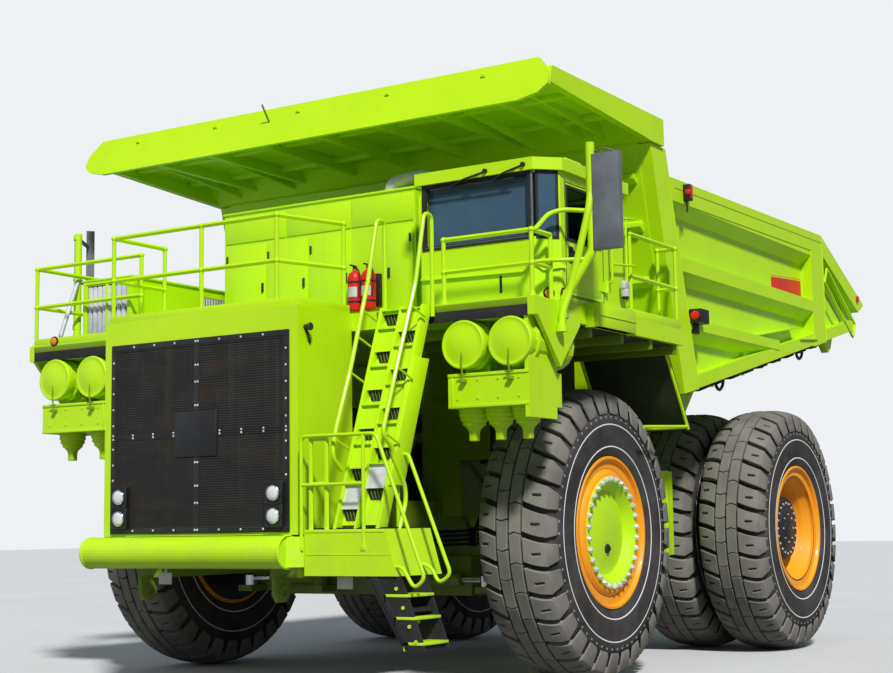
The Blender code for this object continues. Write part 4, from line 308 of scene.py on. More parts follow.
TYRE = rubber("tyre_rubber_dusty", (0.030, 0.027, 0.025), (0.085, 0.077, 0.070))
TREAD = rubber("dusty_tread", (0.150, 0.142, 0.122), (0.260, 0.246, 0.212), 0.8)
RUBBER = rubber("black_rubber_soft", (0.016, 0.016, 0.016), (0.035, 0.034, 0.032))
# The next finish is a dark mud colour that also holds painted shade.
MUD_AND_SHADE = rubber("mud_and_painted_shade_plate", (0.030, 0.042, 0.016), (0.055, 0.070, 0.030), 0.4)
PIPS = rubber("pale_moulding", (0.20, 0.19, 0.18), (0.30, 0.29, 0.27), 0.1)
CLOTH = rubber("seat_cloth", (0.03, 0.03, 0.035), (0.06, 0.06, 0.065), 0.5)
f = Finish("radiator_core", metallic=0.2)
across = f.noise(1.0, 3, vector=f.mapping(scale=(0.7, 0.7, 4.0)))
upright = f.noise(1.0, 2, vector=f.mapping(scale=(9.0, 0.7, 0.25)))
dark = f.mix(f.ramp(across, 0.48, 0.60), (0.034, 0.035, 0.030), (0.120, 0.072, 0.045))
CORE = f.done(f.mix(f.ramp(upright, 0.56, 0.70, 0.0, 0.6), dark, (0.130, 0.190, 0.040)), 0.6)
print("rubbers ready")

# %% [markdown]
# Glass and lamp lenses let some light through and carry a faint smear, so they don't look like new plastic.

# %% Glass and lamp lenses


def pane(name, colour, roughness, transmission, alpha=1.0):
    f = Finish(name, coat=0.0)
    f.shader.inputs["Transmission Weight"].default_value = transmission
    f.shader.inputs["IOR"].default_value = 1.45
    f.shader.inputs["Alpha"].default_value = alpha
    smear = f.ramp(f.noise(2.6, 4), 0.35, 0.75)
    return f.done(f.mix(smear, colour, tuple(min(1.0, c * 1.25) for c in colour)),
                  f.ramp(f.noise(11.0, 3), 0.3, 0.8, roughness, roughness + 0.05))


GLASS = pane("tinted_pane", (0.16, 0.30, 0.45), 0.03, 0.75)
LAMP = pane("lamp_lens", (0.85, 0.90, 0.95), 0.05, 0.35)
DEEP_PANE = pane("deep_pane", (0.045, 0.085, 0.130), 0.04, 0.0)
AMBER = pane("amber_lens", (0.95, 0.30, 0.01), 0.1, 0.25)
RED_LENS = pane("red_lens", (0.75, 0.02, 0.015), 0.1, 0.25)
print("panes ready")

# %% [markdown]
# The studio floor is pale to the camera and greyer to bounced light, so undersides stay as dark as they are
# over the earth of a mine. Every solid that stays gets its finish; the ones below get a darker lime that holds
# painted shade as well as grime.

# %% Floor and the solids that stay
f = Finish("pale_floor", specular=0.3)
pale = f.mix(f.ramp(f.noise(0.35, 5), 0.35, 0.7), (0.64, 0.64, 0.63), (0.68, 0.68, 0.67))
seen = f.tree.nodes.new("ShaderNodeLightPath").outputs["Is Camera Ray"]
FLOOR = f.done(f.mix(seen, (0.24, 0.24, 0.24), pale), 0.75)
floor.data.materials.append(FLOOR)

# The finish of each solid that stays
NODE_FINISHES = {
    "lime_paint": LIME, "orange_paint": ORANGE, "tyre_rubber": TYRE, "black_rubber": RUBBER,
    "dark_metal": DARK, "grille_black": BLACK, "window_glass": GLASS, "chrome_rod": CHROME,
    "grey_plate": GREY, "red_paint": RED, "louvre_white": WHITE, "seat_fabric": CLOTH,
}
slot_of = {s["node"]: s["material_slot"] for s in frame["record"]["subparts"]}
for name, node in frame["nodes"].items():
    for held in node.material_slots:
        held.material = NODE_FINISHES[slot_of[name]]
# The undercarriage solids get lime darkened by grime and by painted shade.
for name in ("frame_rails", "knuckle_left", "knuckle_right", "steering_cylinder_left",
             "steering_cylinder_right", "rear_axle_housing"):
    for held in frame["nodes"][name].material_slots:
        held.material = LIME_GRIME_AND_SHADE
print("painted", len(frame["nodes"]), "solids")

# %% [markdown]
# ## Modelling helpers
# Most pieces are made the way a hand would make them in edit mode: a flat outline is added, extruded step
# by step, and each new ring is moved and sized. These helpers do just that, so each later cell only lists
# the outlines. A finished piece has its place in its mesh, so its object stays at the origin.

# %% Select, apply and hand over a piece


def only(piece):
    """Make this the one selected and active object."""
    bpy.ops.object.select_all(action="DESELECT")
    piece.select_set(True)
    bpy.context.view_layer.objects.active = piece


def soften(piece, width, segments=2, angle=35):
    """Round a piece's sharp edges."""
    bevel = piece.modifiers.new("soft_edges", "BEVEL")
    bevel.width = width
    bevel.segments = segments
    bevel.limit_method = "ANGLE"
    bevel.angle_limit = math.radians(angle)
    only(piece)
    bpy.ops.object.modifier_apply(modifier=bevel.name)
    return piece


def hand_over(piece, name, body="chassis", finish=LIME, smooth=35):
    """Name a piece, give it its finish and let it ride on its body; most are lime plate on the chassis."""
    only(piece)
    bpy.ops.object.transform_apply(location=True, rotation=True, scale=True)
    bpy.ops.object.shade_smooth_by_angle(angle=math.radians(smooth))
    piece.name = name
    if not piece.data.materials:
        piece.data.materials.append(finish)
    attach(piece, body)
    return piece


def joined(pieces):
    """Several pieces made one."""
    bpy.ops.object.select_all(action="DESELECT")
    for piece in pieces:
        piece.select_set(True)
    bpy.context.view_layer.objects.active = pieces[0]
    bpy.ops.object.join()
    return pieces[0]


def copied(piece, matrix):
    """A copy with its own mesh, moved by a matrix."""
    twin = piece.copy()
    twin.data = piece.data.copy()
    scene.collection.objects.link(twin)
    twin.data.transform(matrix)
    if matrix.determinant() < 0:
        twin.data.flip_normals()
    return twin


def mirror_x(piece):
    return copied(piece, Matrix.Scale(-1, 4, (1, 0, 0)))


# %% [markdown]
# A loft extrudes one outline through many; a lathe is a loft of circles; a box is a stretched cube with
# softened edges; a pipe is a curve with a round bevel that is turned into a mesh.

# %% Lofts and lathes


def loft(sections, closed=False):
    """Extrude an outline through a list of sections that have the same number of points."""
    count = len(sections[0])
    bpy.ops.object.select_all(action="DESELECT")
    bpy.ops.mesh.primitive_circle_add(vertices=count, fill_type="NOTHING" if closed else "NGON")
    piece = bpy.context.object
    for vertex, point in zip(piece.data.vertices, sections[0]):
        vertex.co = point
    rings = [list(range(count))]
    for section in sections[1:]:
        bpy.ops.object.mode_set(mode="EDIT")
        bpy.ops.mesh.extrude_region_move()
        bpy.ops.object.mode_set(mode="OBJECT")
        before = {tuple(round(c, 6) for c in piece.data.vertices[i].co): k for k, i in enumerate(rings[-1])}
        fresh = [v for v in piece.data.vertices if v.select]
        ring = [0] * count
        for vertex in fresh:
            ring[before[tuple(round(c, 6) for c in vertex.co)]] = vertex.index
        for index, point in zip(ring, section):
            piece.data.vertices[index].co = point
        rings.append(ring)
    if closed:
        for vertex in piece.data.vertices:
            vertex.select = vertex.index in rings[0] or vertex.index in rings[-1]
        bpy.ops.object.mode_set(mode="EDIT")
        bpy.ops.mesh.bridge_edge_loops()
        bpy.ops.object.mode_set(mode="OBJECT")
    return outward(piece)


def outward(piece):
    """Turn all faces of a closed piece outwards."""
    only(piece)
    bpy.ops.object.mode_set(mode="EDIT")
    bpy.ops.mesh.select_all(action="SELECT")
    bpy.ops.mesh.normals_make_consistent(inside=False)
    bpy.ops.object.mode_set(mode="OBJECT")
    return piece


def lathe(rings, centre, sides=64, axis="X"):
    """Turn a list of (place along the axis, radius) rings; one that starts on the axis makes a solid."""
    solid = rings[0][1] < 1e-6
    used = [r for r in rings if r[1] > 1e-6] if solid else rings
    sections = []
    for along, radius in used:
        ring = []
        for i in range(sides):
            t = 2 * math.pi * i / sides
            a, b = radius * math.cos(t), radius * math.sin(t)
            flat = {"X": (along, a, b), "Y": (a, along, b), "Z": (a, b, along)}[axis]
            ring.append(Vector(flat) + Vector(centre))
        sections.append(ring)
    return loft(sections, closed=not solid)


print("loft and lathe ready")

# %% Boxes, pipes and bolts


def box(low, high, bevel=0.0, segments=2):
    """A box between two corners, with softened edges."""
    bpy.ops.object.select_all(action="DESELECT")
    middle = [(a + b) / 2 for a, b in zip(low, high)]
    bpy.ops.mesh.primitive_cube_add(size=1, location=middle)
    piece = bpy.context.object
    piece.scale = [b - a for a, b in zip(low, high)]
    bpy.ops.object.transform_apply(location=True, rotation=True, scale=True)
    return soften(piece, bevel, segments) if bevel else piece


def rounded(points, radius, steps=5):
    """A bent line whose corners are turned into arcs."""
    points = [Vector(p) for p in points]
    line = [points[0]]
    for before, corner, after in zip(points, points[1:], points[2:]):
        a, b = before - corner, after - corner
        cut = min(radius, a.length * 0.48, b.length * 0.48)
        start, end = corner + a.normalized() * cut, corner + b.normalized() * cut
        for i in range(steps + 1):
            t = i / steps
            line.append(start * (1 - t) ** 2 + corner * 2 * t * (1 - t) + end * t * t)
    line.append(points[-1])
    return line


def pipe(points, radius, bend=0.08, sides=3):
    """A round tube along a line with rounded bends."""
    bpy.ops.object.select_all(action="DESELECT")
    bpy.ops.curve.primitive_bezier_curve_add(location=(0, 0, 0))
    piece = bpy.context.object
    line = rounded(points, bend) if len(points) > 2 and bend else [Vector(p) for p in points]
    piece.data.splines.clear()
    spline = piece.data.splines.new("POLY")
    spline.points.add(len(line) - 1)
    for point, place in zip(spline.points, line):
        point.co = (*place, 1)
    piece.data.bevel_depth = radius
    piece.data.bevel_resolution = sides
    piece.data.use_fill_caps = True
    only(piece)
    bpy.ops.object.convert(target="MESH")
    return bpy.context.object


def bolt(place, axis, radius=0.02, height=0.015):
    """A six-sided bolt head that sits on a face and points along an axis."""
    bpy.ops.object.select_all(action="DESELECT")
    bpy.ops.mesh.primitive_cylinder_add(vertices=6, radius=radius, depth=height)
    head = bpy.context.object
    turn = Vector(axis).to_track_quat("Z", "Y").to_matrix().to_4x4()
    head.data.transform(Matrix.Translation(Vector(place) + Vector(axis).normalized() * height / 2) @ turn)
    return head


print("helpers ready")

# %% [markdown]
# ## Places and repeats
# The truck's drawings measure everything along the truck from the front axle, so the pieces below are
# placed that way. Repeated bolts, nuts and rivets are modelled once and copied round a circle or in a row.

# %% Helpers for places, plates and repeats
FRONT_AXLE_Y = -2.725
REAR_AXLE = 5.305
FRONT_WHEEL_X = 2.905
REAR_OUTER_X, REAR_INNER_X = 3.294, 2.194
TYRE_R = 1.735
DECK_TOP = 4.25
SIDES = ((1, "left"), (-1, "right"))


def at(x, y, z):
    """A place given from the front axle, in the frame of the truck."""
    return Vector((x, y + FRONT_AXLE_Y, z))


def slab(outline, axis, low, high, bevel=0.0, segments=2):
    """A plate cut to an outline that lies across an axis, from low to high along it."""
    def place(a, b, along):
        return {"X": at(along, a, b), "Y": at(a, along, b), "Z": at(a, b, along)}[axis]
    piece = loft([[place(a, b, low) for a, b in outline], [place(a, b, high) for a, b in outline]])
    return soften(piece, bevel, segments) if bevel else piece


def block(x, y, z, bevel=0.0, segments=2):
    """A box from three pairs of numbers, placed from the front axle."""
    return box(at(min(x), min(y), min(z)), at(max(x), max(y), max(z)), bevel, segments)


def tube(points, radius, bend=0.08, sides=3):
    """A bent tube through places given from the front axle."""
    return pipe([at(*p) for p in points], radius, bend, sides)


def ring_of(piece, centre, count, axis="X"):
    """A piece copied round a circle whose centre line passes through a place."""
    there, back = Matrix.Translation(centre), Matrix.Translation(-Vector(centre))
    turns = [copied(piece, there @ Matrix.Rotation(2 * math.pi * i / count, 4, axis) @ back)
             for i in range(1, count)]
    return joined([piece] + turns)


def row(piece, step, count):
    """A piece copied in a straight row."""
    return joined([piece] + [copied(piece, Matrix.Translation(Vector(step) * i)) for i in range(1, count)])


def nut(place, axis, radius=0.026):
    """A wheel nut on its washer, with the stud's end standing out."""
    parts = [bolt(place, axis, radius, radius * 0.7)]
    parts.append(bolt(Vector(place) + Vector(axis) * radius * 0.7, axis, radius * 0.55, radius * 0.5))
    return joined(parts)


print("place helpers ready")

# %% [markdown]
# ## Tyres
# A dump truck's tyre has two rows of flat blocks along its middle, parted by thin chevron cuts, and a row
# of heavy slanted lugs on each shoulder, each with a small slot. One pitch of the pattern is modelled flat,
# copied round the tyre and wrapped onto it. The carcass under it is turned from one outline.

# %% One pitch of tread, modelled flat
PITCHES = 32
PITCH = 2 * math.pi * TYRE_R / PITCHES
# place across the tyre: height of the tread there
CROWN = ((0.0, 0.0), (0.15, -0.006), (0.28, -0.028), (0.36, -0.055), (0.425, -0.090))


def crown(x):
    """Height of the tread's surface at a place across the tyre."""
    x = abs(x)
    for (x0, h0), (x1, h1) in zip(CROWN, CROWN[1:]):
        if x <= x1:
            return h0 + (h1 - h0) * (x - x0) / (x1 - x0)
    return CROWN[-1][1]


def groove_line(x):
    """How far a shoulder groove has drifted along the tread at a place across it."""
    t = (x - 0.17) / 0.25
    return -0.115 * t + 0.035 * t * t


def shoulder_lug():
    """The slanted lug of the +X shoulder, with its sloping outer end and its slot."""
    sections = []
    for x in (0.172, 0.235, 0.30, 0.365, 0.425):
        low, high = groove_line(x) + 0.034, groove_line(x) + PITCH - 0.034
        sections.append([(x, low, -0.16), (x, high, -0.16), (x, high, crown(x)), (x, low, crown(x))])
    low, high = groove_line(0.425) + 0.060, groove_line(0.425) + PITCH - 0.060
    sections.append([(0.462, low, -0.33), (0.462, high, -0.33), (0.474, high, -0.28), (0.474, low, -0.28)])
    lug = loft(sections)
    middle = groove_line(0.33) + PITCH / 2
    slot = box((0.268, middle - 0.018, -0.09), (0.372, middle + 0.012, 0.05))
    only(lug)
    carve = lug.modifiers.new("slot", "BOOLEAN")
    carve.operation = "DIFFERENCE"
    carve.solver = "EXACT"
    carve.object = slot
    bpy.ops.object.modifier_apply(modifier=carve.name)
    bpy.data.objects.remove(slot, do_unlink=True)
    return soften(lug, 0.010, 1, 40)


def centre_block():
    """One block of the +X centre row, with a chevron end."""
    sections = []
    for x, push in ((0.012, 0.0), (0.080, 0.022), (0.150, 0.0)):
        low, high = push + 0.006, push + PITCH - 0.006
        sections.append([(x, low, -0.10), (x, high, -0.10), (x, high, crown(x)), (x, low, crown(x))])
    return soften(loft(sections), 0.006, 1, 40)


half_turn = Matrix.Rotation(math.pi, 4, "Z")
lug, middle_block = shoulder_lug(), centre_block()
half_pitch = Matrix.Translation((0, PITCH * 0.5, 0))
pitch_parts = [lug, copied(lug, half_turn), middle_block, copied(middle_block, half_pitch @ half_turn)]
tread_pitch = joined(pitch_parts)
print("one pitch has", len(tread_pitch.data.polygons), "faces")

# %% [markdown]
# Every point of the flat tread has a place along it and a height. Wrapping turns the first into an angle and
# adds the second to the radius. The carcass is a lathe, and so are the thin raised rings on its sidewalls.

# %% Wrap the pattern and turn the carcass


def wrapped_tread(centre):
    """All pitches of the tread, wrapped round a tyre's middle."""
    turns = [copied(tread_pitch, Matrix.Translation((0, PITCH * i, 0))) for i in range(PITCHES)]
    tread = joined(turns)
    for vertex in tread.data.vertices:
        x, along, height = vertex.co
        turned, radius = along / TYRE_R, TYRE_R + height
        vertex.co = Vector((x, -radius * math.cos(turned), radius * math.sin(turned))) + Vector(centre)
    return tread


CARCASS = (
    (0.388, 0.742), (0.388, 0.906), (0.430, 0.915), (0.462, 0.985), (0.474, 1.10), (0.475, 1.22),
    (0.468, 1.32), (0.455, 1.395), (0.436, 1.42), (0.420, 1.50), (0.390, 1.575), (0.30, 1.61),
    (0.168, 1.628), (0.160, 1.655), (0.020, 1.675), (0.0, 1.675))


def tyre(centre):
    """A whole tyre: carcass, tread and two raised rings on each sidewall."""
    rings = [(x, r) for x, r in CARCASS] + [(-x, r) for x, r in reversed(CARCASS[:-1])]
    carcass = lathe(rings, centre, 128)
    carcass.data.materials.append(TYRE)
    tread = outward(wrapped_tread(centre))
    tread.data.materials.append(TREAD)
    for piece in (carcass, tread):
        only(piece)
        bpy.ops.object.shade_smooth_by_angle(angle=math.radians(30))
    pieces = [carcass, tread]
    for side in (1, -1):
        for radius, thick in ((1.02, 0.003), (1.285, 0.002)):
            x = side * (0.466 if radius < 1.1 else 0.470)
            pieces.append(lathe([
                (x - side * 0.01, radius - 0.012), (x + side * thick, radius - 0.006),
                (x + side * thick, radius + 0.006), (x - side * 0.01, radius + 0.012)], centre, 96))
    return joined(pieces)


for side, name in SIDES:
    rubber_ring = tyre(at(side * FRONT_WHEEL_X, 0, TYRE_R))
    hand_over(rubber_ring, "tyre_front_" + name, "front_hub_" + name, TYRE, 30)
    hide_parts("front_tyre_" + name)
    pair = joined([tyre(at(side * x, REAR_AXLE, TYRE_R)) for x in (REAR_OUTER_X, REAR_INNER_X)])
    hand_over(pair, "tyres_rear_" + name, "rear_hub_" + name, TYRE, 30)
    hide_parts("rear_tyres_" + name)
    print("tyres", name, len(rubber_ring.data.polygons), len(pair.data.polygons))
bpy.data.objects.remove(tread_pitch, do_unlink=True)

# %% [markdown]
# ## Wheels
# Rims are rolled and welded rings. The front wheel's rim carries a ring of bright nuts round a green hub
# cover; the rear rims are deep dishes that run in to the dark cover of the wheel motor. Each is turned from
# its section, so it is made with a lathe, and the nuts are copied round it.

# %% Front rims, hub covers and nuts
RIM_BEADS = (
    (-0.440, 0.800), (-0.440, 0.898), (-0.432, 0.905), (-0.395, 0.905), (-0.387, 0.740), (0.387, 0.740),
    (0.395, 0.905), (0.432, 0.905), (0.440, 0.898))
FRONT_RIM = RIM_BEADS + (
    (0.440, 0.874), (0.428, 0.864), (0.385, 0.850), (0.335, 0.822), (0.322, 0.804), (0.326, 0.784),
    (0.345, 0.770), (0.370, 0.764), (0.388, 0.754),
    (0.424, 0.712), (0.430, 0.700), (0.431, 0.650), (0.300, 0.640), (0.150, 0.610), (0.130, 0.640),
    (-0.340, 0.690))
HUB_COVER = (
    (-0.280, 0.0), (-0.280, 0.400), (-0.265, 0.416), (-0.020, 0.418), (0.0, 0.500), (0.140, 0.592),
    (0.400, 0.630), (0.410, 0.665), (0.436, 0.668), (0.442, 0.660), (0.442, 0.602), (0.434, 0.592),
    (0.350, 0.520), (0.328, 0.500), (0.326, 0.480), (0.342, 0.400), (0.362, 0.270), (0.372, 0.140),
    (0.375, 0.040), (0.375, 0.0))
NUT_CIRCLE = 0.635


def along_x(rings, side):
    return [(x * side, r) for x, r in rings]


for side, name in SIDES:
    hub, centre = "front_hub_" + name, at(side * FRONT_WHEEL_X, 0, TYRE_R)
    rim = lathe(along_x(FRONT_RIM, side), centre, 96)
    hand_over(rim, "rim_front_" + name, hub, ORANGE, 40)
    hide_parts("front_wheel_" + name)
    cover = lathe(along_x(HUB_COVER, side), centre, 72)
    hand_over(cover, "hub_cover_" + name, hub, LIME, 40)
    nuts = ring_of(nut(centre + Vector((side * 0.440, 0, NUT_CIRCLE)), (side, 0, 0), 0.037), centre, 30)
    hand_over(nuts, "wheel_nuts_front_" + name, hub, NUTS)
    cap = joined([
        lathe(along_x(((0.350, 0.0), (0.350, 0.056), (0.386, 0.056), (0.392, 0.048), (0.392, 0.0)), side),
              centre + Vector((0, -0.02, -0.19)), 20),
        bolt(centre + Vector((side * 0.392, -0.02, -0.19)), (side, 0, 0), 0.024, 0.022)])
    hand_over(cap, "hub_filler_cap_" + name, hub, DARK)
    drain = bolt(centre + Vector((side * 0.360, -0.07, -0.11)), (side, 0, 0), 0.020, 0.012)
    hand_over(drain, "hub_level_plug_" + name, hub, DARK)
    print("front wheel", name, len(rim.data.polygons), "faces")

# %% [markdown]
# The rear twin rims share the beads of the front one. The outer rim's dish runs in to a bolted cover.

# %% Rear rims and motor covers
REAR_RIM_OUTER = RIM_BEADS + (
    (0.440, 0.874), (0.428, 0.862), (0.390, 0.850),
    (0.345, 0.830), (0.335, 0.812), (0.345, 0.798), (0.372, 0.788), (0.380, 0.775), (0.378, 0.758),
    (0.362, 0.745), (0.250, 0.705), (0.240, 0.690), (0.222, 0.684), (0.120, 0.645), (0.020, 0.590),
    (0.006, 0.575), (0.006, 0.500), (-0.030, 0.496), (-0.060, 0.500), (-0.060, 0.640), (-0.340, 0.700))
REAR_RIM_INNER = RIM_BEADS + (
    (0.440, 0.800), (0.340, 0.690), (0.060, 0.640), (0.060, 0.510), (-0.060, 0.510), (-0.060, 0.640),
    (-0.340, 0.690))
MOTOR_COVER = (
    (-1.570, 0.0), (-1.570, 0.485), (-0.050, 0.490), (0.004, 0.488), (0.012, 0.478), (0.016, 0.465),
    (0.190, 0.462), (0.216, 0.456), (0.236, 0.440), (0.246, 0.410), (0.250, 0.300), (0.262, 0.288),
    (0.268, 0.270), (0.272, 0.140), (0.286, 0.130), (0.292, 0.110), (0.292, 0.0))

for side, name in SIDES:
    hub = "rear_hub_" + name
    outer, inner = at(side * REAR_OUTER_X, REAR_AXLE, TYRE_R), at(side * REAR_INNER_X, REAR_AXLE, TYRE_R)
    rims = joined([lathe(along_x(REAR_RIM_OUTER, side), outer, 96),
                   lathe(along_x(REAR_RIM_INNER, side), inner, 72)])
    hand_over(rims, "rims_rear_" + name, hub, ORANGE, 40)
    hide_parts("rear_wheel_" + name)
    cover = lathe(along_x(MOTOR_COVER, side), outer, 64)
    hand_over(cover, "motor_cover_" + name, hub, DARK, 40)
    bolts = joined([
        ring_of(bolt(outer + Vector((side * 0.006, 0, 0.535)), (side, 0, 0), 0.020, 0.020), outer, 32),
        ring_of(bolt(outer + Vector((side * 0.246, 0, 0.365)), (side, 0, 0), 0.017, 0.015), outer, 20),
        ring_of(bolt(outer + Vector((side * 0.270, 0, 0.200)), (side, 0, 0), 0.014, 0.012), outer, 8)])
    hand_over(bolts, "motor_cover_bolts_" + name, hub, NUTS)
    print("rear wheel", name, len(rims.data.polygons), "faces")

# %% [markdown]
# A row of pale moulding pips rings every outer sidewall near the lugs. They catch the light as dots, so
# each is a low dome of a few faces.

# %% Sidewall pips


def pip_ring(centre, side):
    """Low domes round a sidewall, one to each lug."""
    bpy.ops.object.select_all(action="DESELECT")
    bpy.ops.mesh.primitive_ico_sphere_add(subdivisions=1, radius=0.020)
    pip = bpy.context.object
    pip.data.transform(Matrix.Translation(centre + Vector((side * 0.458, 0, 1.37))) @ Matrix.Scale(
        0.6, 4, (1, 0, 0)))
    return ring_of(pip, centre, 64)


for side, name in SIDES:
    pips = pip_ring(at(side * FRONT_WHEEL_X, 0, TYRE_R), side)
    hand_over(pips, "sidewall_pips_front_" + name, "front_hub_" + name, PIPS)
    pips = pip_ring(at(side * REAR_OUTER_X, REAR_AXLE, TYRE_R), side)
    hand_over(pips, "sidewall_pips_rear_" + name, "rear_hub_" + name, PIPS)
print("pips on four sidewalls")

# %% [markdown]
# ## Radiator grille
# The truck's nose is one tall black screen: woven wire in a flat frame, held by rows of bright rivets. Bars
# of wire are laid across each other in a row, the frame strips lie on top, and the rivets are low domes.
# In the middle sits a plain square plate, and four round lamps stand in square black housings.

# %% Screen, frame strips and rivets
SCREEN = {"half": 1.29, "low": 1.82, "high": 3.965, "y": -3.600}


def dome(place, axis, radius, height=0.5, sides=10):
    """A low round head: a sphere's half that is flattened along its axis."""
    bpy.ops.object.select_all(action="DESELECT")
    bpy.ops.mesh.primitive_uv_sphere_add(segments=sides, ring_count=6, radius=radius)
    head = bpy.context.object
    only(head)
    bpy.ops.object.mode_set(mode="EDIT")
    bpy.ops.mesh.select_all(action="SELECT")
    bpy.ops.mesh.bisect(plane_co=(0, 0, 0), plane_no=(0, 0, 1), clear_inner=True, use_fill=True)
    bpy.ops.object.mode_set(mode="OBJECT")
    turned = Vector(axis).to_track_quat("Z", "Y").to_matrix().to_4x4()
    head.data.transform(Matrix.Translation(Vector(place)) @ turned @ Matrix.Scale(height, 4, (0, 0, 1)))
    return head


half, low, high, plane = (SCREEN[k] for k in ("half", "low", "high", "y"))
upright_count, level_count, wire = 92, 78, 0.008
upright = block((-half, -half + wire), (plane - wire, plane), (low, high))
uprights = row(upright, ((2 * half - wire) / (upright_count - 1), 0, 0), upright_count)
level_wire = block((-half, half), (plane - 0.014, plane - 0.006), (low, low + wire))
levels = row(level_wire, (0, 0, (high - low - wire) / (level_count - 1)), level_count)
screen = joined([uprights, levels])
hand_over(screen, "grille_screen", "chassis", WIRE, 30)

front = plane - 0.012
strips = [
    block((-1.308, 1.308), (front, plane), (3.915, 3.985), 0.004),
    block((-1.308, 1.308), (front, plane), (1.80, 1.870), 0.004),
    block((-1.308, -1.232), (front, plane), (1.870, 3.915), 0.004),
    block((1.232, 1.308), (front, plane), (1.870, 3.915), 0.004),
    block((-0.045, 0.045), (front, plane), (1.870, 3.915), 0.004),
    block((-1.232, 1.232), (front + 0.004, plane), (2.880, 2.940), 0.003)]
frame_strips = joined(strips)
hand_over(frame_strips, "grille_frame_strips", "chassis", BLACK)
core = block((-1.308, 1.308), (-3.594, -3.545), (1.80, 3.985), 0.004)
hand_over(core, "radiator_core", "chassis", CORE)
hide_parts("radiator_grille")

places = []
for z in (2.413, 2.59, 2.773, 2.888, 2.93, 3.046, 3.234, 3.42, 3.60, 3.78):
    places += [(-1.270, z), (1.270, z)]
for x in (-0.954, -0.641, -0.331, -0.018, 0.018, 0.331, 0.641, 0.954):
    places += [(x, 3.950), (x, 1.836)]
for z in (2.134, 2.324, 2.587, 3.225, 3.49, 3.68):
    places += [(-0.018, z), (0.018, z)]
for x in (-0.96, -0.65, -0.34, 0.34, 0.65, 0.96):
    places += [(x, 2.893), (x, 2.927)]
rivet = dome(at(0, front, 0), (0, -1, 0), 0.014)
rivets = joined([copied(rivet, Matrix.Translation((x, 0, z))) for x, z in places])
bpy.data.objects.remove(rivet, do_unlink=True)
hand_over(rivets, "grille_rivets", "chassis", NUTS)
blank_plate = block((-0.305, 0.305), (front - 0.018, plane), (2.645, 3.165), 0.012, 3)
hand_over(blank_plate, "grille_blank_plate", "chassis", BLACK)
print("screen", len(screen.data.polygons), "faces,", len(places), "rivets")

# %% [markdown]
# A housing is a square lofted inwards at its face, so it gets a real rim. The ring and the domed lens are
# turned from their sections and sit in front of it.

# %% Head lamps in square housings


def head_lamp(x, z):
    """A square housing with a rounded rim, a bright dish, a bulb and a domed lens."""
    face, half = -3.665, 0.120
    sections = []
    for y, share in ((face + 0.075, 1.0), (face + 0.004, 1.0), (face, 0.97), (face, 0.84),
                     (face + 0.010, 0.80)):
        sections.append([at(x + a * half * share, y, z + b * half * share)
                         for a, b in ((-1, -1), (1, -1), (1, 1), (-1, 1))])
    housing = soften(loft(sections), 0.010, 2, 60)
    place = f"{x:+.2f}_{z:.2f}".replace("+", "p").replace("-", "m")
    hand_over(housing, "lamp_housing_" + place, "chassis", BLACK)
    centre = at(x, 0, z)
    ring = lathe([(face + 0.006, 0.092), (face - 0.010, 0.090), (face - 0.016, 0.083),
                  (face - 0.012, 0.075), (face + 0.006, 0.073)], centre, 40, "Y")
    hand_over(ring, "lamp_ring_" + place, "chassis", CHROME, 50)
    lens = lathe([(face + 0.004, 0.0), (face + 0.004, 0.076), (face - 0.008, 0.074),
                  (face - 0.016, 0.058), (face - 0.021, 0.034), (face - 0.023, 0.010),
                  (face - 0.023, 0.0)], centre, 40, "Y")
    hand_over(lens, "lamp_lens_" + place, "chassis", LAMP, 60)


for x in (-1.13, 1.13):
    for z in (1.975, 2.220):
        head_lamp(x, z)
print("four head lamps")

# %% [markdown]
# ## Bumper, tow eyes and blank plates
# The bumper is a thick tube with a wedge welded on at each end. Weld beads run where the tube meets the
# wedges, tow eyes hang below the frame's nose, and the two small plates under it are left bare.

# %% Bumper trim
beads = []
for x in (-1.42, 1.42):
    beads.append(lathe([(x - 0.02, 0.170), (x - 0.012, 0.182), (x + 0.012, 0.184), (x + 0.02, 0.170)],
                       at(0, -3.79, 1.59), 40))
hand_over(joined(beads), "bumper_weld_beads")
hanger = joined([
    block((-0.46, -0.27), (-3.706, -3.696), (1.24, 1.37), 0.006),
    block((-0.38, -0.35), (-3.70, -3.68), (1.34, 1.50), 0.004),
    block((1.90, 2.10), (-3.560, -3.550), (1.20, 1.33), 0.006),
    block((1.985, 2.015), (-3.556, -3.53), (1.30, 1.45), 0.004)])
hand_over(hanger, "bare_plates", "chassis", PLATE_WHITE)
eyes = []
for x in (-0.975, 0.975):
    eyes.append(slab([(-3.46, 1.12), (-3.40, 1.04), (-3.26, 1.04), (-3.20, 1.12), (-3.20, 1.31),
                      (-3.46, 1.31)], "X", x - 0.03, x + 0.03, 0.008))
    eyes.append(lathe([(x - 0.045, 0.045), (x - 0.045, 0.075), (x + 0.045, 0.075), (x + 0.045, 0.045)],
                      at(0, -3.33, 1.15), 24))
# The tow eyes get the lime darkened by grime and by painted shade.
hand_over(joined(eyes), "tow_eyes", "chassis", LIME_GRIME_AND_SHADE)
print("bumper beads, plates and tow eyes")

# %% [markdown]
# ## Cab
# Each window is held by a black rubber channel with a bright filler strip at the corner joint. Two wipers
# hang from the roof's edge, a rolled lip runs round the panel below the windows, and amber lamps sit on the
# front corner. Frames are swept as closed loops, so their corners stay mitred.

# %% Window channels


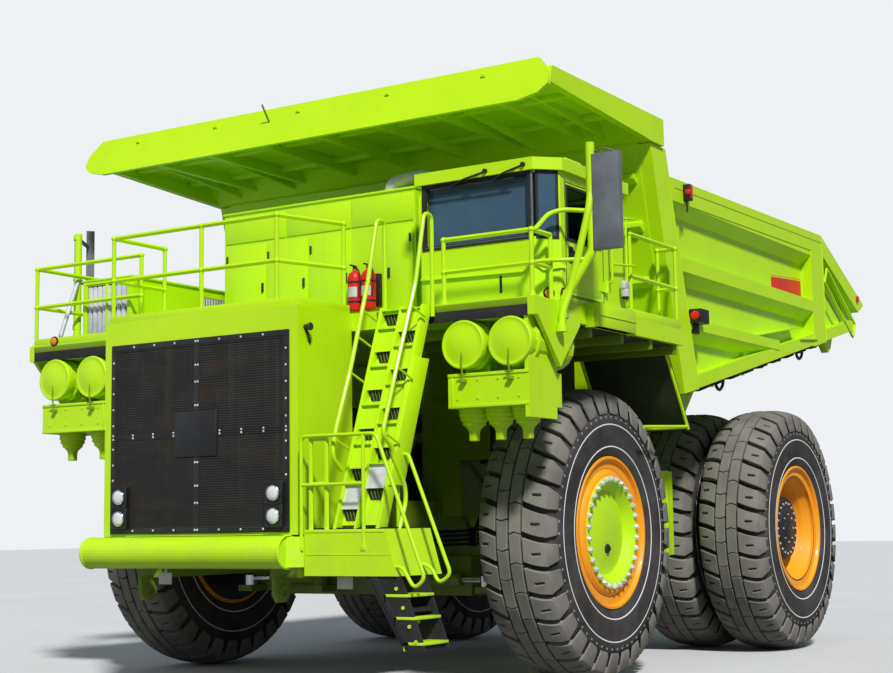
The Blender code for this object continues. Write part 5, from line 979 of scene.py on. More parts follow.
def window_frame(corner, across, upright, width, height, band, thick):
    """A rectangular picture frame: corner at its lower start, lifted from its face."""
    across, upright = Vector(across).normalized(), Vector(upright).normalized()
    out = across.cross(upright)

    def rectangle(shrink, lift):
        return [corner + across * a + upright * b + out * lift for a, b in (
            (shrink, shrink), (width - shrink, shrink), (width - shrink, height - shrink),
            (shrink, height - shrink))]

    piece = loft([rectangle(0, -0.01), rectangle(0.004, thick), rectangle(band, thick),
                  rectangle(band + 0.004, -0.03)], closed=True)
    return piece


diagonal = (1, 1, 0)
channels = [
    window_frame(at(2.07, -2.100, 4.955), (1, 0, 0), (0, 0, 1), 1.445, 0.775, 0.050, 0.012),
    window_frame(at(3.545, -2.085, 4.955), diagonal, (0, 0, 1), 0.270, 0.775, 0.034, 0.012),
    window_frame(at(3.750, -1.762, 4.955), (0, 1, 0), (0, 0, 1), 0.835, 0.640, 0.036, 0.010)]
hand_over(joined(channels[:2]), "windscreen_channels", "chassis", RUBBER)
hand_over(channels[2], "door_window_channel", "door", RUBBER)
filler = joined([
    block((3.505, 3.529), (-2.118, -2.098), (4.965, 5.720), 0.004),
    block((2.115, 3.470), (-2.113, -2.106), (4.985, 4.993), 0.002)])
hand_over(filler, "windscreen_filler_strip", "chassis", GREY)
corner_pane = slab([(3.568, -2.068), (3.718, -1.918), (3.714, -1.914), (3.564, -2.064)], "Z", 4.985, 5.700)
hand_over(corner_pane, "cab_corner_pane", "chassis", DEEP_PANE)
print("three window channels")

# %% [markdown]
# The lip below the windows follows the cab's corner, so it is lofted along a line of places. Each wiper is a
# bent tube with a flat blade; the corner lamps are turned upright and then pointed outwards.

# %% Wipers, belt lip, corner lamps and roof trim
wipers = []
for (root_x, root_z), (elbow_x, elbow_z), (tip_x, end_x) in (
        ((2.955, 5.775), (2.677, 5.714), (2.79, 2.20)), ((3.442, 5.785), (3.190, 5.718), (3.31, 2.80))):
    wipers.append(tube([(root_x, -2.150, root_z), (elbow_x, -2.175, elbow_z),
                        ((tip_x + end_x) / 2, -2.140, 5.665)], 0.011, 0.03, 2))
    wipers.append(block((end_x, tip_x), (-2.137, -2.123), (5.640, 5.668), 0.004))
    wipers.append(lathe([(-2.180, 0.0), (-2.180, 0.026), (-2.100, 0.030), (-2.100, 0.0)],
                        at(root_x, 0, root_z), 16, "Y"))
hand_over(joined(wipers), "wipers", "chassis", BLACK)

lip_line = [(2.06, -2.108, 4.640), (3.40, -2.108, 4.615), (3.515, -2.112, 4.690), (3.600, -2.035, 4.620),
            (3.735, -1.905, 4.650), (3.757, -1.83, 4.655)]
sections = []
for x, y, z in lip_line:
    out = Vector((0, -1, 0))
    if x >= 3.5:
        out = Vector((1, -1, 0)).normalized() if x < 3.74 else Vector((1, 0, 0))
    here = at(x, y, z)
    sections.append([here - out * 0.02 + Vector((0, 0, 0.020)), here + out * 0.020 + Vector((0, 0, 0.012)),
                     here + out * 0.026 - Vector((0, 0, 0.020)), here + out * 0.004 - Vector((0, 0, 0.022)),
                     here - out * 0.02 - Vector((0, 0, 0.010))])
hand_over(loft(sections), "cab_belt_lip", smooth=60)
# Thin black strips on the cab: the first is the painted shadow of the hand rail's post on the front panel; the
# others lie under the roof's edge at the side and along the cab's foot.
dark_strips = joined([
    block((3.085, 3.115), (-2.108, -2.09), (4.39, 4.58), 0.003),
    block((3.745, 3.757), (-1.86, -1.20), (5.768, 5.792), 0.003),
    block((2.05, 3.52), (-2.1035, -2.09), (4.255, 4.275), 0.002)])
hand_over(dark_strips, "cab_dark_strips", "chassis", BLACK)

lamps, rings = [], []
for place, out in ((at(3.640, -1.990, 4.352), Vector((1, -1, 0)).normalized()),
                   (at(3.752, -1.850, 4.352), Vector((1, 0, 0)))):
    turned = out.to_track_quat("Z", "Y").to_matrix().to_4x4()
    lens = lathe([(-0.002, 0.0), (-0.002, 0.050), (0.014, 0.047), (0.024, 0.032), (0.028, 0.008),
                  (0.028, 0.0)], (0, 0, 0), 28, "Z")
    ring = lathe([(-0.004, 0.046), (-0.004, 0.068), (0.012, 0.064), (0.016, 0.056), (0.010, 0.048)],
                 (0, 0, 0), 28, "Z")
    for piece in (lens, ring):
        piece.data.transform(Matrix.Translation(place) @ turned)
    lamps.append(lens)
    rings.append(ring)
hand_over(joined(lamps), "corner_lamp_lenses", "chassis", AMBER, 50)
hand_over(joined(rings), "corner_lamp_rings", "chassis", RUBBER, 50)

gutter = [block((2.02, 3.55), (-2.135, -2.10), (5.835, 5.868), 0.008)]
gutter.append(slab([(3.52, -2.135), (3.785, -1.87), (3.76, -1.845), (3.50, -2.10)], "Z", 5.835, 5.868, 0.008))
gutter.append(block((3.750, 3.785), (-1.875, -0.28), (5.835, 5.868), 0.008))
hand_over(joined(gutter), "roof_edge_rail")
hatch = joined([
    block((2.35, 3.15), (-1.55, -0.75), (5.862, 5.905), 0.016, 3),
    ring_of(bolt(at(3.10, -1.15, 5.905), (0, 0, 1), 0.014, 0.012), at(2.75, -1.15, 5.905), 8, "Z"),
    block((3.30, 3.55), (-1.35, -0.95), (5.862, 6.010), 0.020, 3)])
hand_over(hatch, "roof_hatch")
print("wipers, lip, lamps and roof trim")

# %% [markdown]
# The door has a lever handle below its window and a rubber seal line; they swing with it. A long grab bar
# stands beside it on the cab.

# %% Door furniture
handle = joined([
    block((3.748, 3.765), (-1.72, -1.62), (4.72, 4.90), 0.006),
    tube([(3.765, -1.67, 4.86), (3.800, -1.67, 4.84), (3.800, -1.67, 4.74)], 0.012, 0.02, 2)])
hand_over(handle, "door_handle", "door", BLACK)
seal = window_frame(at(3.7500, -1.786, 4.345), (0, 1, 0), (0, 0, 1), 0.920, 1.285, 0.012, 0.004)
hand_over(seal, "door_edge_seal", "door", RUBBER)
kick = block((3.746, 3.756), (-1.70, -0.95), (4.40, 4.62), 0.004)
hand_over(kick, "door_kick_panel", "door", LIME)
grab = tube([(3.752, -0.80, 4.60), (3.830, -0.80, 4.60), (3.830, -0.80, 5.40), (3.752, -0.80, 5.40)],
            0.014, 0.05)
hand_over(grab, "door_side_grab_bar")
print("door furniture")

# %% [markdown]
# Inside, a dashboard with a raised hood stands before the driver, a blind hangs behind the windscreen, and a
# dark lining covers the rear wall. All are plain upholstered boxes, since only their outline shows.

# %% Cab interior
inside = joined([
    block((2.20, 3.45), (-1.98, -1.72), (4.85, 4.94), 0.02, 3),
    block((2.62, 3.18), (-1.88, -1.70), (4.93, 5.06), 0.02, 3),
    block((2.14, 3.66), (-0.385, -0.372), (4.40, 5.66), 0.004)])
hand_over(inside, "dashboard_and_lining", "chassis", CLOTH)
shade = block((2.20, 3.50), (-2.020, -2.005), (5.60, 5.70), 0.004)
hand_over(shade, "sun_blind", "chassis", GREY)
headrest = block((2.78, 3.02), (-0.93, -0.80), (5.29, 5.47), 0.03, 3)
hand_over(headrest, "seat_headrest", "chassis", CLOTH)
print("interior ready")

# %% [markdown]
# ## Mirrors
# The left mirror hangs on two stout tubes: one rises straight from the deck's edge, the other starts lower
# and further forward and is welded to it halfway up. Brackets and clamp bolts hold the flat mirror.

# %% Mirror braces, brackets and faces
brace = joined([
    tube([(3.838, -2.087, 3.93), (3.845, -2.06, 4.14), (3.905, -1.996, 4.34), (4.135, -1.960, 5.22),
          (4.139, -1.91, 5.42)], 0.040, 0.10, 4),
    lathe([(3.900, 0.030), (3.900, 0.062), (3.985, 0.060), (3.985, 0.030)],
          at(3.838, -2.087, 0), 24, "Z")])
posts = [
    tube([(3.825, -2.0, 4.06), (3.825, -2.0, 4.25), (4.14, -1.90, 4.78), (4.14, -1.90, 5.98)],
         0.051, 0.04, 4),
    tube([(-3.825, -1.70, 4.06), (-3.825, -1.70, 5.885)], 0.051, 0, 4),
    tube([(3.73, -2.52, 4.97), (3.73, -2.44, 4.98), (3.74, -2.14, 5.20), (3.85, -2.03, 5.25),
          (4.12, -1.92, 5.22)], 0.026, 0.08, 4),
    tube([(3.73, -2.52, 4.61), (3.73, -2.30, 4.66), (3.80, -2.08, 4.69), (4.07, -1.94, 4.69)],
         0.024, 0.08, 4)]
hand_over(joined([brace] + posts), "mirror_braces")
strut = tube([(-3.79, -1.73, 5.24), (-3.62, -2.20, 4.42), (-3.60, -2.24, 4.24)], 0.030, 0.06, 4)
hand_over(strut, "mirror_strut_right", "chassis", WHITE)
left_frame = joined([
    block((4.180, 4.495), (-1.945, -1.935), (4.785, 5.835), 0.010, 2),
    block((4.10, 4.22), (-1.93, -1.87), (5.60, 5.64), 0.006),
    block((4.10, 4.22), (-1.93, -1.87), (4.96, 5.00), 0.006),
    tube([(4.14, -1.90, 5.86), (4.30, -1.90, 5.90), (4.44, -1.90, 5.845)], 0.010, 0.03, 2)])
hand_over(left_frame, "mirror_back_left", "chassis", SLATE)
glass = block((4.175, 4.480), (-1.860, -1.852), (4.82, 5.80), 0.003)
hand_over(glass, "mirror_glass_left", "chassis", MIRROR)
CLAMP_HEIGHTS = (4.12, 4.60, 5.27, 5.83)
clamps = joined([
    *(lathe([(z - 0.03, 0.040), (z - 0.03, 0.058), (z + 0.03, 0.058), (z + 0.03, 0.040)],
            at(-3.835, -1.70, 0), 20, "Z") for z in CLAMP_HEIGHTS),
    *(bolt(at(-3.835, -1.70, z) + Vector((0, -0.055, 0)), (0, -1, 0), 0.014, 0.014)
      for z in CLAMP_HEIGHTS)])
hand_over(clamps, "mirror_clamps_right", "chassis", LIME)
print("mirrors dressed")

# %% [markdown]
# Beside the door the deck widens into a step box with a tread plate, a small work lamp, and hooked posts
# that carry a chain across the gap.

# %% Deck side box, work lamp and chain posts
side_box = joined([
    block((3.755, 3.905), (-1.36, -0.36), (4.035, 4.295), 0.008),
    block((3.750, 3.915), (-1.37, -0.35), (4.160, 4.170), 0.003),
    block((3.785, 3.895), (-1.30, -0.42), (4.295, 4.310), 0.004),
    block((3.770, 3.880), (-1.40, -1.36), (4.02, 4.22), 0.004),
    block((3.770, 3.880), (-0.36, -0.32), (4.02, 4.22), 0.004)])
hand_over(side_box, "deck_side_box")
grate = block((3.80, 3.89), (-1.26, -0.44), (4.035, 4.074), 0.003)
hand_over(grate, "side_box_grate", "chassis", DARK)
work_lamp = joined([
    block((3.795, 3.855), (-0.53, -0.40), (4.555, 4.655), 0.018, 3),
    lathe([(4.470, 0.0), (4.470, 0.050), (4.545, 0.058), (4.560, 0.040), (4.560, 0.0)],
          at(3.825, -0.465, 0), 20, "Z")])
hand_over(work_lamp, "deck_work_lamp", "chassis", WHITE)
lens = lathe([(4.440, 0.0), (4.440, 0.034), (4.470, 0.048), (4.472, 0.0)], at(3.825, -0.465, 0), 20, "Z")
hand_over(lens, "deck_work_lamp_hood", "chassis", BLACK)
posts = joined([
    tube([(3.825, -0.405, 4.38), (3.825, -0.405, 5.40)], 0.013, 0, 2),
    tube([(3.825, -0.62, 5.37), (3.825, -0.405, 5.41), (3.825, -0.20, 5.43)], 0.014, 0.02, 2),
    tube([(3.825, -0.78, 4.815), (3.825, -0.20, 4.870)], 0.014, 0, 2),
    tube([(3.825, -0.405, 5.17), (3.825, -0.50, 5.33), (3.825, -0.58, 5.375)], 0.008, 0.03, 2)])
hand_over(posts, "chain_posts")
print("side box and posts")

# %% [markdown]
# ## Ladder and boarding steps
# Drivers climb a hanging step, a platform and a steep ladder. The ladder has two lanes whose steps alternate:
# each is a folded kick plate with a punched dark plate above it, whose dark trapezoid is the punched mesh
# together with a step's painted shadow. Thin hand tubes follow the ladder on both sides, tied to the stringers
# by short stays. The stringers keep the solid's line and size.

# %% Stringers, hand tubes and stays
LADDER_FOOT_Y, LADDER_FOOT_Z = -3.66, 1.825
LADDER_LEAN = 0.3732


def front_edge(z):
    """Place of the stringers' front edge at a height."""
    return LADDER_FOOT_Y + LADDER_LEAN * (z - LADDER_FOOT_Z)


def on_slope(low_z, high_z, near, far, low_x, high_x, bevel=0.0):
    """A plate that lies along the ladder's slope, between two depths behind its front edge."""
    return slab([(front_edge(low_z) + near, low_z), (front_edge(high_z) + near, high_z),
                 (front_edge(high_z) + far, high_z), (front_edge(low_z) + far, low_z)],
                "X", low_x, high_x, bevel)


stringers = [on_slope(LADDER_FOOT_Z, DECK_TOP, 0.0, 0.17, low, low + thick, 0.004)
             for low, thick in ((1.92, 0.036), (2.188, 0.024), (2.464, 0.036))]
stringers.append(on_slope(2.27, 3.65, 0.02, 0.30, 2.482, 2.518, 0.004))
stringers.append(on_slope(1.86, 4.22, 0.110, 0.122, 1.94, 2.48))
stringers = joined(stringers)
hand_over(stringers, "ladder_stringers")
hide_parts("ladder")
RIGHT_TUBE_X, LEFT_TUBE_X = 1.90, 2.53
right_line = ((-2.62, 4.12), (-2.62, 5.25), (-2.77, 5.25), (-2.96, 4.496), (-3.297, 3.517), (-3.582, 2.826),
              (-3.636, 2.582), (-3.46, 2.44))
left_line = ((-2.62, 4.12), (-2.62, 5.25), (-2.77, 5.25), (-2.95, 4.466), (-3.355, 3.457), (-3.61, 2.80),
             (-3.418, 2.640), (-3.384, 2.509), (-3.202, 2.266), (-3.187, 2.105), (-3.324, 1.80))
hand_tubes = [tube([(RIGHT_TUBE_X, y, z) for y, z in right_line], 0.024, 0.10, 3),
              tube([(LEFT_TUBE_X, y, z) for y, z in left_line], 0.024, 0.08, 3)]
stays = [(RIGHT_TUBE_X, z) for z in (4.20, 3.90, 3.50, 2.76)] + [(LEFT_TUBE_X, z) for z in (4.20, 3.50, 2.80)]
for x, z in stays:
    y = -3.297 + (z - 3.517) * 0.344
    hand_tubes.append(tube([(x, y, z), (x, front_edge(z - 0.1) + 0.04, z - 0.10)], 0.012, 0, 2))
hand_over(joined(hand_tubes), "ladder_hand_tubes")
print("ladder stringers and tubes")

# %% [markdown]
# A step of one lane lies half a pitch above its neighbour. Each lane is a row of the same four plates, so one
# loop makes both; the last plate of a lane stops at the deck.

# %% Folded kick plates and punched treads in two lanes
STEP_RISE = 0.4286
kicks, bright, noses, punched, webs = [], [], [], [], []
for low_x, high_x, first, count in ((1.956, 2.188, 1.942, 6), (2.212, 2.464, 2.156, 5)):
    for k in range(count):
        z = first + STEP_RISE * k
        top = min(z + STEP_RISE - 0.085, 4.21)
        plate = on_slope(z + 0.085, top, 0.035, 0.047, low_x, high_x)
        (bright if k == 0 else kicks).append(plate)
        y = front_edge(top)
        noses.append(block((low_x, high_x), (y - 0.005, y + 0.11), (top - 0.006, top + 0.010), 0.003))
        y = front_edge(z) + 0.095
        # The dark trapezoids are the punched mesh together with the painted shadow of a step.
        punched.append(slab([(low_x + 0.01, z + 0.085), (high_x - 0.01, z + 0.085),
                             (high_x - 0.055, z - 0.085), (low_x + 0.055, z - 0.085)], "Y", y, y + 0.008))
        for j in range(4):
            x = low_x + 0.045 + j * 0.042
            webs.append(slab([(x, z + 0.078), (x + 0.007, z + 0.078), (x + 0.047, z - 0.070),
                              (x + 0.040, z - 0.070)], "Y", y - 0.006, y))
hand_over(joined(kicks + noses), "ladder_kick_plates")
hand_over(joined(bright), "ladder_bright_plates", "chassis", NUTS)
hand_over(joined(punched), "ladder_punched_shadow_plates", "chassis", RUBBER)
hand_over(joined(webs), "ladder_punched_webs", "chassis", LIME_GRIME_AND_SHADE)
print("ladder:", len(punched), "steps in two lanes")

# %% [markdown]
# The platform is a grating of thin bars with tubes that run down beside the hanging steps and curl back at
# their ends. The steps are folded treads between two dark rubber straps.

# %% Platform top, curled hand rails and hanging steps
deck_mesh = [block((1.66 + i * 0.048, 1.672 + i * 0.048), (-3.64, -2.92), (1.819, 1.838)) for i in range(19)]
for k in range(10):
    y = -3.64 + 0.08 * k
    deck_mesh.append(block((1.63, 2.56), (y, y + 0.012), (1.820, 1.832)))
hand_over(joined(deck_mesh), "platform_grating", "chassis", DARK)
edge = joined([
    block((1.585, 2.60), (-3.706, -3.69), (1.785, 1.815), 0.004),
    block((1.60, 2.68), (-3.7045, -3.698), (1.555, 1.562), 0.001)])
hand_over(edge, "platform_edge_lip")
OUTER_RAIL_Y, INNER_RAIL_Y = -3.69, -3.20
POST_X = (1.535, 2.34)
outer_line = ((1.535, 1.60), (1.535, 2.805), (2.50, 2.80), (3.086, 1.316), (2.957, 1.216), (2.81, 1.437))
inner_line = ((2.438, 1.82), (2.438, 2.55), (2.565, 2.618), (3.084, 1.345), (2.935, 1.251), (2.843, 1.423),
              (2.70, 1.461))
curled = [
    tube([(x, OUTER_RAIL_Y, z) for x, z in outer_line] + [(2.624, -3.66, 1.429)], 0.020, 0.07, 3),
    tube([(x, OUTER_RAIL_Y, 2.29) for x in POST_X], 0.018, 0, 2),
    tube([(POST_X[1], OUTER_RAIL_Y, 2.80), (POST_X[1], OUTER_RAIL_Y, 1.60)], 0.020, 0, 2),
    tube([(x, INNER_RAIL_Y, z) for x, z in inner_line], 0.020, 0.07, 3)]
for x in POST_X:
    curled.append(block((x - 0.03, x + 0.03), (-3.71, -3.695), (1.60, 1.66), 0.006))
hand_over(joined(curled), "boarding_hand_rails")

steps = []
for low_x, high_x, z in ((2.812, 3.050, 0.655), (2.700, 2.960, 0.905), (2.585, 2.880, 1.130)):
    steps.append(block((low_x, high_x), (-3.690, -3.205), (z, z + 0.030), 0.006))
    steps.append(block((low_x, low_x + 0.02), (-3.690, -3.205), (z - 0.06, z + 0.02), 0.004))
hand_over(joined(steps), "step_tread_edges")
heads = []
for x, z in ((2.735, 1.215), (2.815, 1.025), (2.890, 0.840), (2.965, 0.690)):
    for y in (-3.681, -3.189):
        heads.append(bolt(at(x, y, z), (0, -1 if y < -3.5 else 1, 0), 0.020, 0.016))
hand_over(joined(heads), "step_bolts")
straps = joined([slab([(2.40, 1.34), (2.50, 1.34), (2.92, 0.60), (2.84, 0.60)], "Y", y, y + 0.009, 0.002)
                 for y in (-3.690, -3.190)])
hand_over(straps, "step_side_straps", "chassis", RUBBER)
print("steps and rails")

# %% [markdown]
# ## Load body trim
# The body's side is a welded box of plates. A fine weld line runs along its top rail as a thin strip of painted
# shade, gusset plates stiffen the joints, and a red stripe with a thin yellow edge is painted near the tail.
# Lamps in black hoods, lifting hooks and rubber pads are fixed to it. All of this rides on the body, so it tips
# with it.

# %% Stripe, seams and gussets on both sides


RAIL_FRONT, RAIL_REAR = (1.64, 6.30), (7.35, 6.39)
FLOOR_FRONT, WALL_TOP = (1.77, 3.47), (0.94, 6.65)
WALL_LEAN = (FLOOR_FRONT[0] - WALL_TOP[0]) / (WALL_TOP[1] - FLOOR_FRONT[1])
FLOOR_SLOPE = 0.2135


def rail_top(y):
    """Height of the body's top rail along its side."""
    (y0, z0), (y1, z1) = RAIL_FRONT, RAIL_REAR
    return z0 + (y - y0) * (z1 - z0) / (y1 - y0)


def floor_line(y):
    """Height of the floor's underside along the body."""
    return FLOOR_FRONT[1] + FLOOR_SLOPE * (y - FLOOR_FRONT[0])


def both_sides(piece):
    """A piece and its mirror image, as one."""
    return joined([piece, mirror_x(piece)])


WALL_X, SIDE_X = 3.37, 3.55
stripe = slab([(5.52, 5.245), (6.80, 5.330), (6.80, 5.600), (5.52, 5.510)], "X",
              WALL_X + 0.001, WALL_X + 0.006)
hand_over(both_sides(stripe), "red_stripe", "tipping_body", RED)
line = slab([(5.50, 5.535), (6.80, 5.628), (6.80, 5.648), (5.50, 5.555)], "X",
            WALL_X + 0.001, WALL_X + 0.006)
hand_over(both_sides(line), "yellow_line", "tipping_body", YELLOW)

# The weld line is a thin strip of lime darkened by painted shade.
seam = slab([(1.66, rail_top(1.66) - 0.115), (7.38, rail_top(7.38) - 0.115), (7.38, rail_top(7.38) - 0.128),
             (1.66, rail_top(1.66) - 0.128)], "X", SIDE_X - 0.01, SIDE_X + 0.002)
hand_over(both_sides(seam), "top_rail_seam_shade", "tipping_body", SHADE_LIME)
welds = [
    tube([(SIDE_X, 1.48, rail_top(1.48) - 0.02), (SIDE_X, 2.24, 3.62)], 0.006, 0, 1),
    tube([(SIDE_X, 7.36, 6.36), (SIDE_X, 7.40, 4.70)], 0.007, 0, 1),
    tube([(WALL_X + 0.004, 2.18, 5.95), (WALL_X + 0.004, 6.84, 6.02)], 0.006, 0, 1),
    tube([(WALL_X + 0.004, 2.20, 5.30), (WALL_X + 0.004, 6.84, 5.30)], 0.007, 0, 1),
    tube([(WALL_X + 0.004, 2.20, 4.52), (WALL_X + 0.004, 5.20, 4.52)], 0.006, 0, 1)]
hand_over(both_sides(joined(welds)), "side_weld_beads", "tipping_body")

gussets = [
    slab([(4.20, 4.455), (6.20, 4.775), (6.20, 4.795), (4.20, 4.480)], "X",
         WALL_X - 0.01, SIDE_X - 0.012, 0.004),
    slab([(6.20, 4.60), (6.95, 4.66), (6.95, 4.69), (6.20, 4.625)], "X",
         WALL_X - 0.01, SIDE_X + 0.02, 0.004),
    slab([(4.20, 4.0), (4.60, 4.09), (4.58, 4.50), (4.20, 4.45)], "X", WALL_X - 0.01, WALL_X + 0.05, 0.004)]
hand_over(both_sides(joined(gussets)), "side_gussets", "tipping_body")

pocket = window_frame(at(SIDE_X - 0.012, 7.44, 5.64), (0, 1, -0.58), (0, 0.58, 1), 1.55, 0.30, 0.030, 0.020)
hand_over(both_sides(pocket), "tail_pocket_rim", "tipping_body")
# The tail pocket's back is a plate of lime darkened by painted shade in the recess.
hollow = slab([(7.52, 5.88), (7.60, 5.66), (8.80, 5.05), (8.92, 5.14), (8.70, 5.42)], "X",
              SIDE_X - 0.20, WALL_X + 0.002)
hand_over(both_sides(hollow), "tail_pocket_shade_plate", "tipping_body", SHADE_LIME)
print("stripe, seams and gussets")

# %% [markdown]
# Red lamps sit in black hoods at the body's front corners and tail. Loops for lifting and rubber pads are
# fixed along the floor's edge, each placed from the floor's own slope.

# %% Body lamps, hooks, pads and ears
red_lamps = []
hoods = []
for side in (1, -1):
    x = side * SIDE_X
    hoods.append(block((x - side * 0.02, x + side * 0.10), (1.93, 2.03), (6.05, 6.27), 0.012))
    hoods.append(tube([(x + side * 0.03, 1.98, 6.05), (x + side * 0.03, 1.98, 5.90)], 0.012, 0, 2))
    hoods.append(block((x - side * 0.02, x + side * 0.16), (2.02, 2.30), (4.43, 4.62), 0.015))
    hoods.append(block((x - side * 0.02, x + side * 0.05), (2.10, 2.22), (4.30, 4.45), 0.010))
    for y, z, r in ((1.93, 6.16, 0.040), (2.02, 4.53, 0.062)):
        red_lamps.append(lathe([(y + 0.002, 0.0), (y + 0.002, r), (y - 0.016, r * 0.92), (y - 0.026, r * 0.5),
                                (y - 0.028, r * 0.1), (y - 0.028, 0.0)],
                               at(x + side * 0.07, 0, z), 24, "Y"))
    red_lamps.append(block((x + side * 0.098, x + side * 0.106), (1.945, 2.015), (6.07, 6.25), 0.004))
    red_lamps.append(block((x - side * 0.01, x + side * 0.035), (9.00, 9.08), (5.50, 5.60), 0.010))
hand_over(joined(hoods), "body_lamp_hoods", "tipping_body", BLACK)
hand_over(joined(red_lamps), "body_red_lamps", "tipping_body", RED_LENS, 50)

hooks = []
for y in (3.20, 6.42):
    z = floor_line(y)
    hooks.append(tube([(3.44, y - 0.15, z + 0.02), (3.44, y - 0.12, z - 0.10), (3.44, y, z - 0.15),
                       (3.44, y + 0.12, z - 0.07), (3.44, y + 0.15, z + 0.03)], 0.022, 0.08, 3))
hand_over(both_sides(joined(hooks)), "lifting_loops", "tipping_body", BLACK)
ear = slab([(7.62, floor_line(7.62) + 0.02), (8.10, floor_line(8.10) + 0.02), (7.98, 4.62), (7.86, 4.55)],
           "X", 3.30, 3.42, 0.006)
hand_over(both_sides(ear), "body_edge_ear", "tipping_body")
pads = []
for i in range(9):
    y = 2.60 + i * 0.56
    z = floor_line(y)
    pads.append(slab([(y - 0.16, z - 0.024), (y + 0.16, z + 0.044), (y + 0.15, z - 0.011),
                      (y - 0.15, z - 0.079)], "X", 3.26, 3.47, 0.006))
hand_over(both_sides(joined(pads)), "body_edge_pads", "tipping_body", RUBBER)
print("lamps, hooks and", len(pads), "pads a side")

# %% [markdown]
# Under the floor, cross ribs stiffen the load box. Seen from behind, the tail's edge is a thick wear plate.
# Inside, wear bars line the floor.

# %% Floor ribs, wear plates and front wall ribs
ribs = []
for y in (2.55, 3.30, 4.45, 5.20, 5.95, 7.60, 8.35):
    z = floor_line(y)
    across = y > 4
    outline = [(1.28, z + 0.02), (3.34, z + 0.02), (3.30, z - 0.10), (1.28, z - 0.16)]
    if across:
        outline = [(-3.34, z + 0.02), (3.34, z + 0.02), (3.30, z - 0.10), (1.32, z - 0.22), (1.26, z - 0.24),
                   (-1.26, z - 0.24), (-1.32, z - 0.22), (-3.30, z - 0.10)]
    ribs.append(slab(outline, "Y", y - 0.035, y + 0.035, 0.006))
    if not across:
        ribs.append(mirror_x(ribs[-1]))
hand_over(joined(ribs), "floor_ribs", "tipping_body")
wall_ribs = []
for z in (4.25, 4.95, 5.65, 6.25):
    y = FLOOR_FRONT[0] - (z - FLOOR_FRONT[1]) * WALL_LEAN
    wall_ribs.append(slab([(y + 0.02, z + 0.06), (y + 0.02, z - 0.10), (y - 0.085, z - 0.04),
                           (y - 0.085, z + 0.02)], "X", -3.30, 3.30, 0.006))
hand_over(joined(wall_ribs), "front_wall_ribs", "tipping_body")
wear = []
y0, y1 = 2.10, 8.95
wear_outline = [(y0, floor_line(y0) + 0.098), (y1, floor_line(y1) + 0.098), (y1, floor_line(y1) + 0.122),
                (y0, floor_line(y0) + 0.122)]
for x in (-2.4, -1.6, -0.8, 0.0, 0.8, 1.6, 2.4):
    wear.append(slab(wear_outline, "X", x - 0.05, x + 0.05, 0.004))
wear.append(slab([(8.93, floor_line(8.93) + 0.095), (9.12, floor_line(9.12) + 0.095),
                  (9.12, floor_line(9.12) + 0.13), (8.93, floor_line(8.93) + 0.13)], "X", -3.20, 3.20, 0.006))
hand_over(joined(wear), "floor_wear_bars", "tipping_body", WORN_STEEL)
print("ribs and wear bars")

# %% [markdown]
# ## Canopy
# The canopy is one wide folded plate over the cab. Its front panel is welded from two lengths, and stiff
# ribs run above and below it.

# %% Canopy seams, under ribs and top stiffeners
# The front panel's joint is a strip of lime darkened by painted shade.
seam = slab([(-1.90, 7.12), (-1.53, 6.63), (-1.525, 6.65), (-1.895, 7.14)], "X", -0.455, -0.435)
tops = [block((x - 0.03, x + 0.03), (-1.75, 1.22), (6.998, 7.030), 0.006)
        for x in (-2.7, -1.35, 0.0, 1.35, 2.7)]
tops.append(block((-3.45, 3.45), (1.16, 1.24), (6.998, 7.045), 0.008))
hand_over(joined(tops), "canopy_top_ribs", "tipping_body")
hand_over(seam, "canopy_front_seam_shade", "tipping_body", SHADE_LIME)
under = []
for x in (-3.0, -2.0, 2.0, 3.0):
    under.append(slab([(-1.45, 6.92), (1.05, 6.92), (1.00, 6.70), (-1.30, 6.86)], "X",
                      x - 0.02, x + 0.02, 0.004))
for y in (-0.9, 0.2):
    under.append(block((-3.45, 3.45), (y - 0.05, y + 0.05), (6.83, 6.91), 0.008))
hand_over(joined(under), "canopy_under_ribs", "tipping_body")
print("canopy dressed")

# %% [markdown]
# ## Air cleaners
# Each canister has a pressed lid with a rolled rim, held by a band clamp and a screw with a T handle. Ribbed
# cups with a soft square valve hang from the dust box; bolts and a folded edge trim the box.

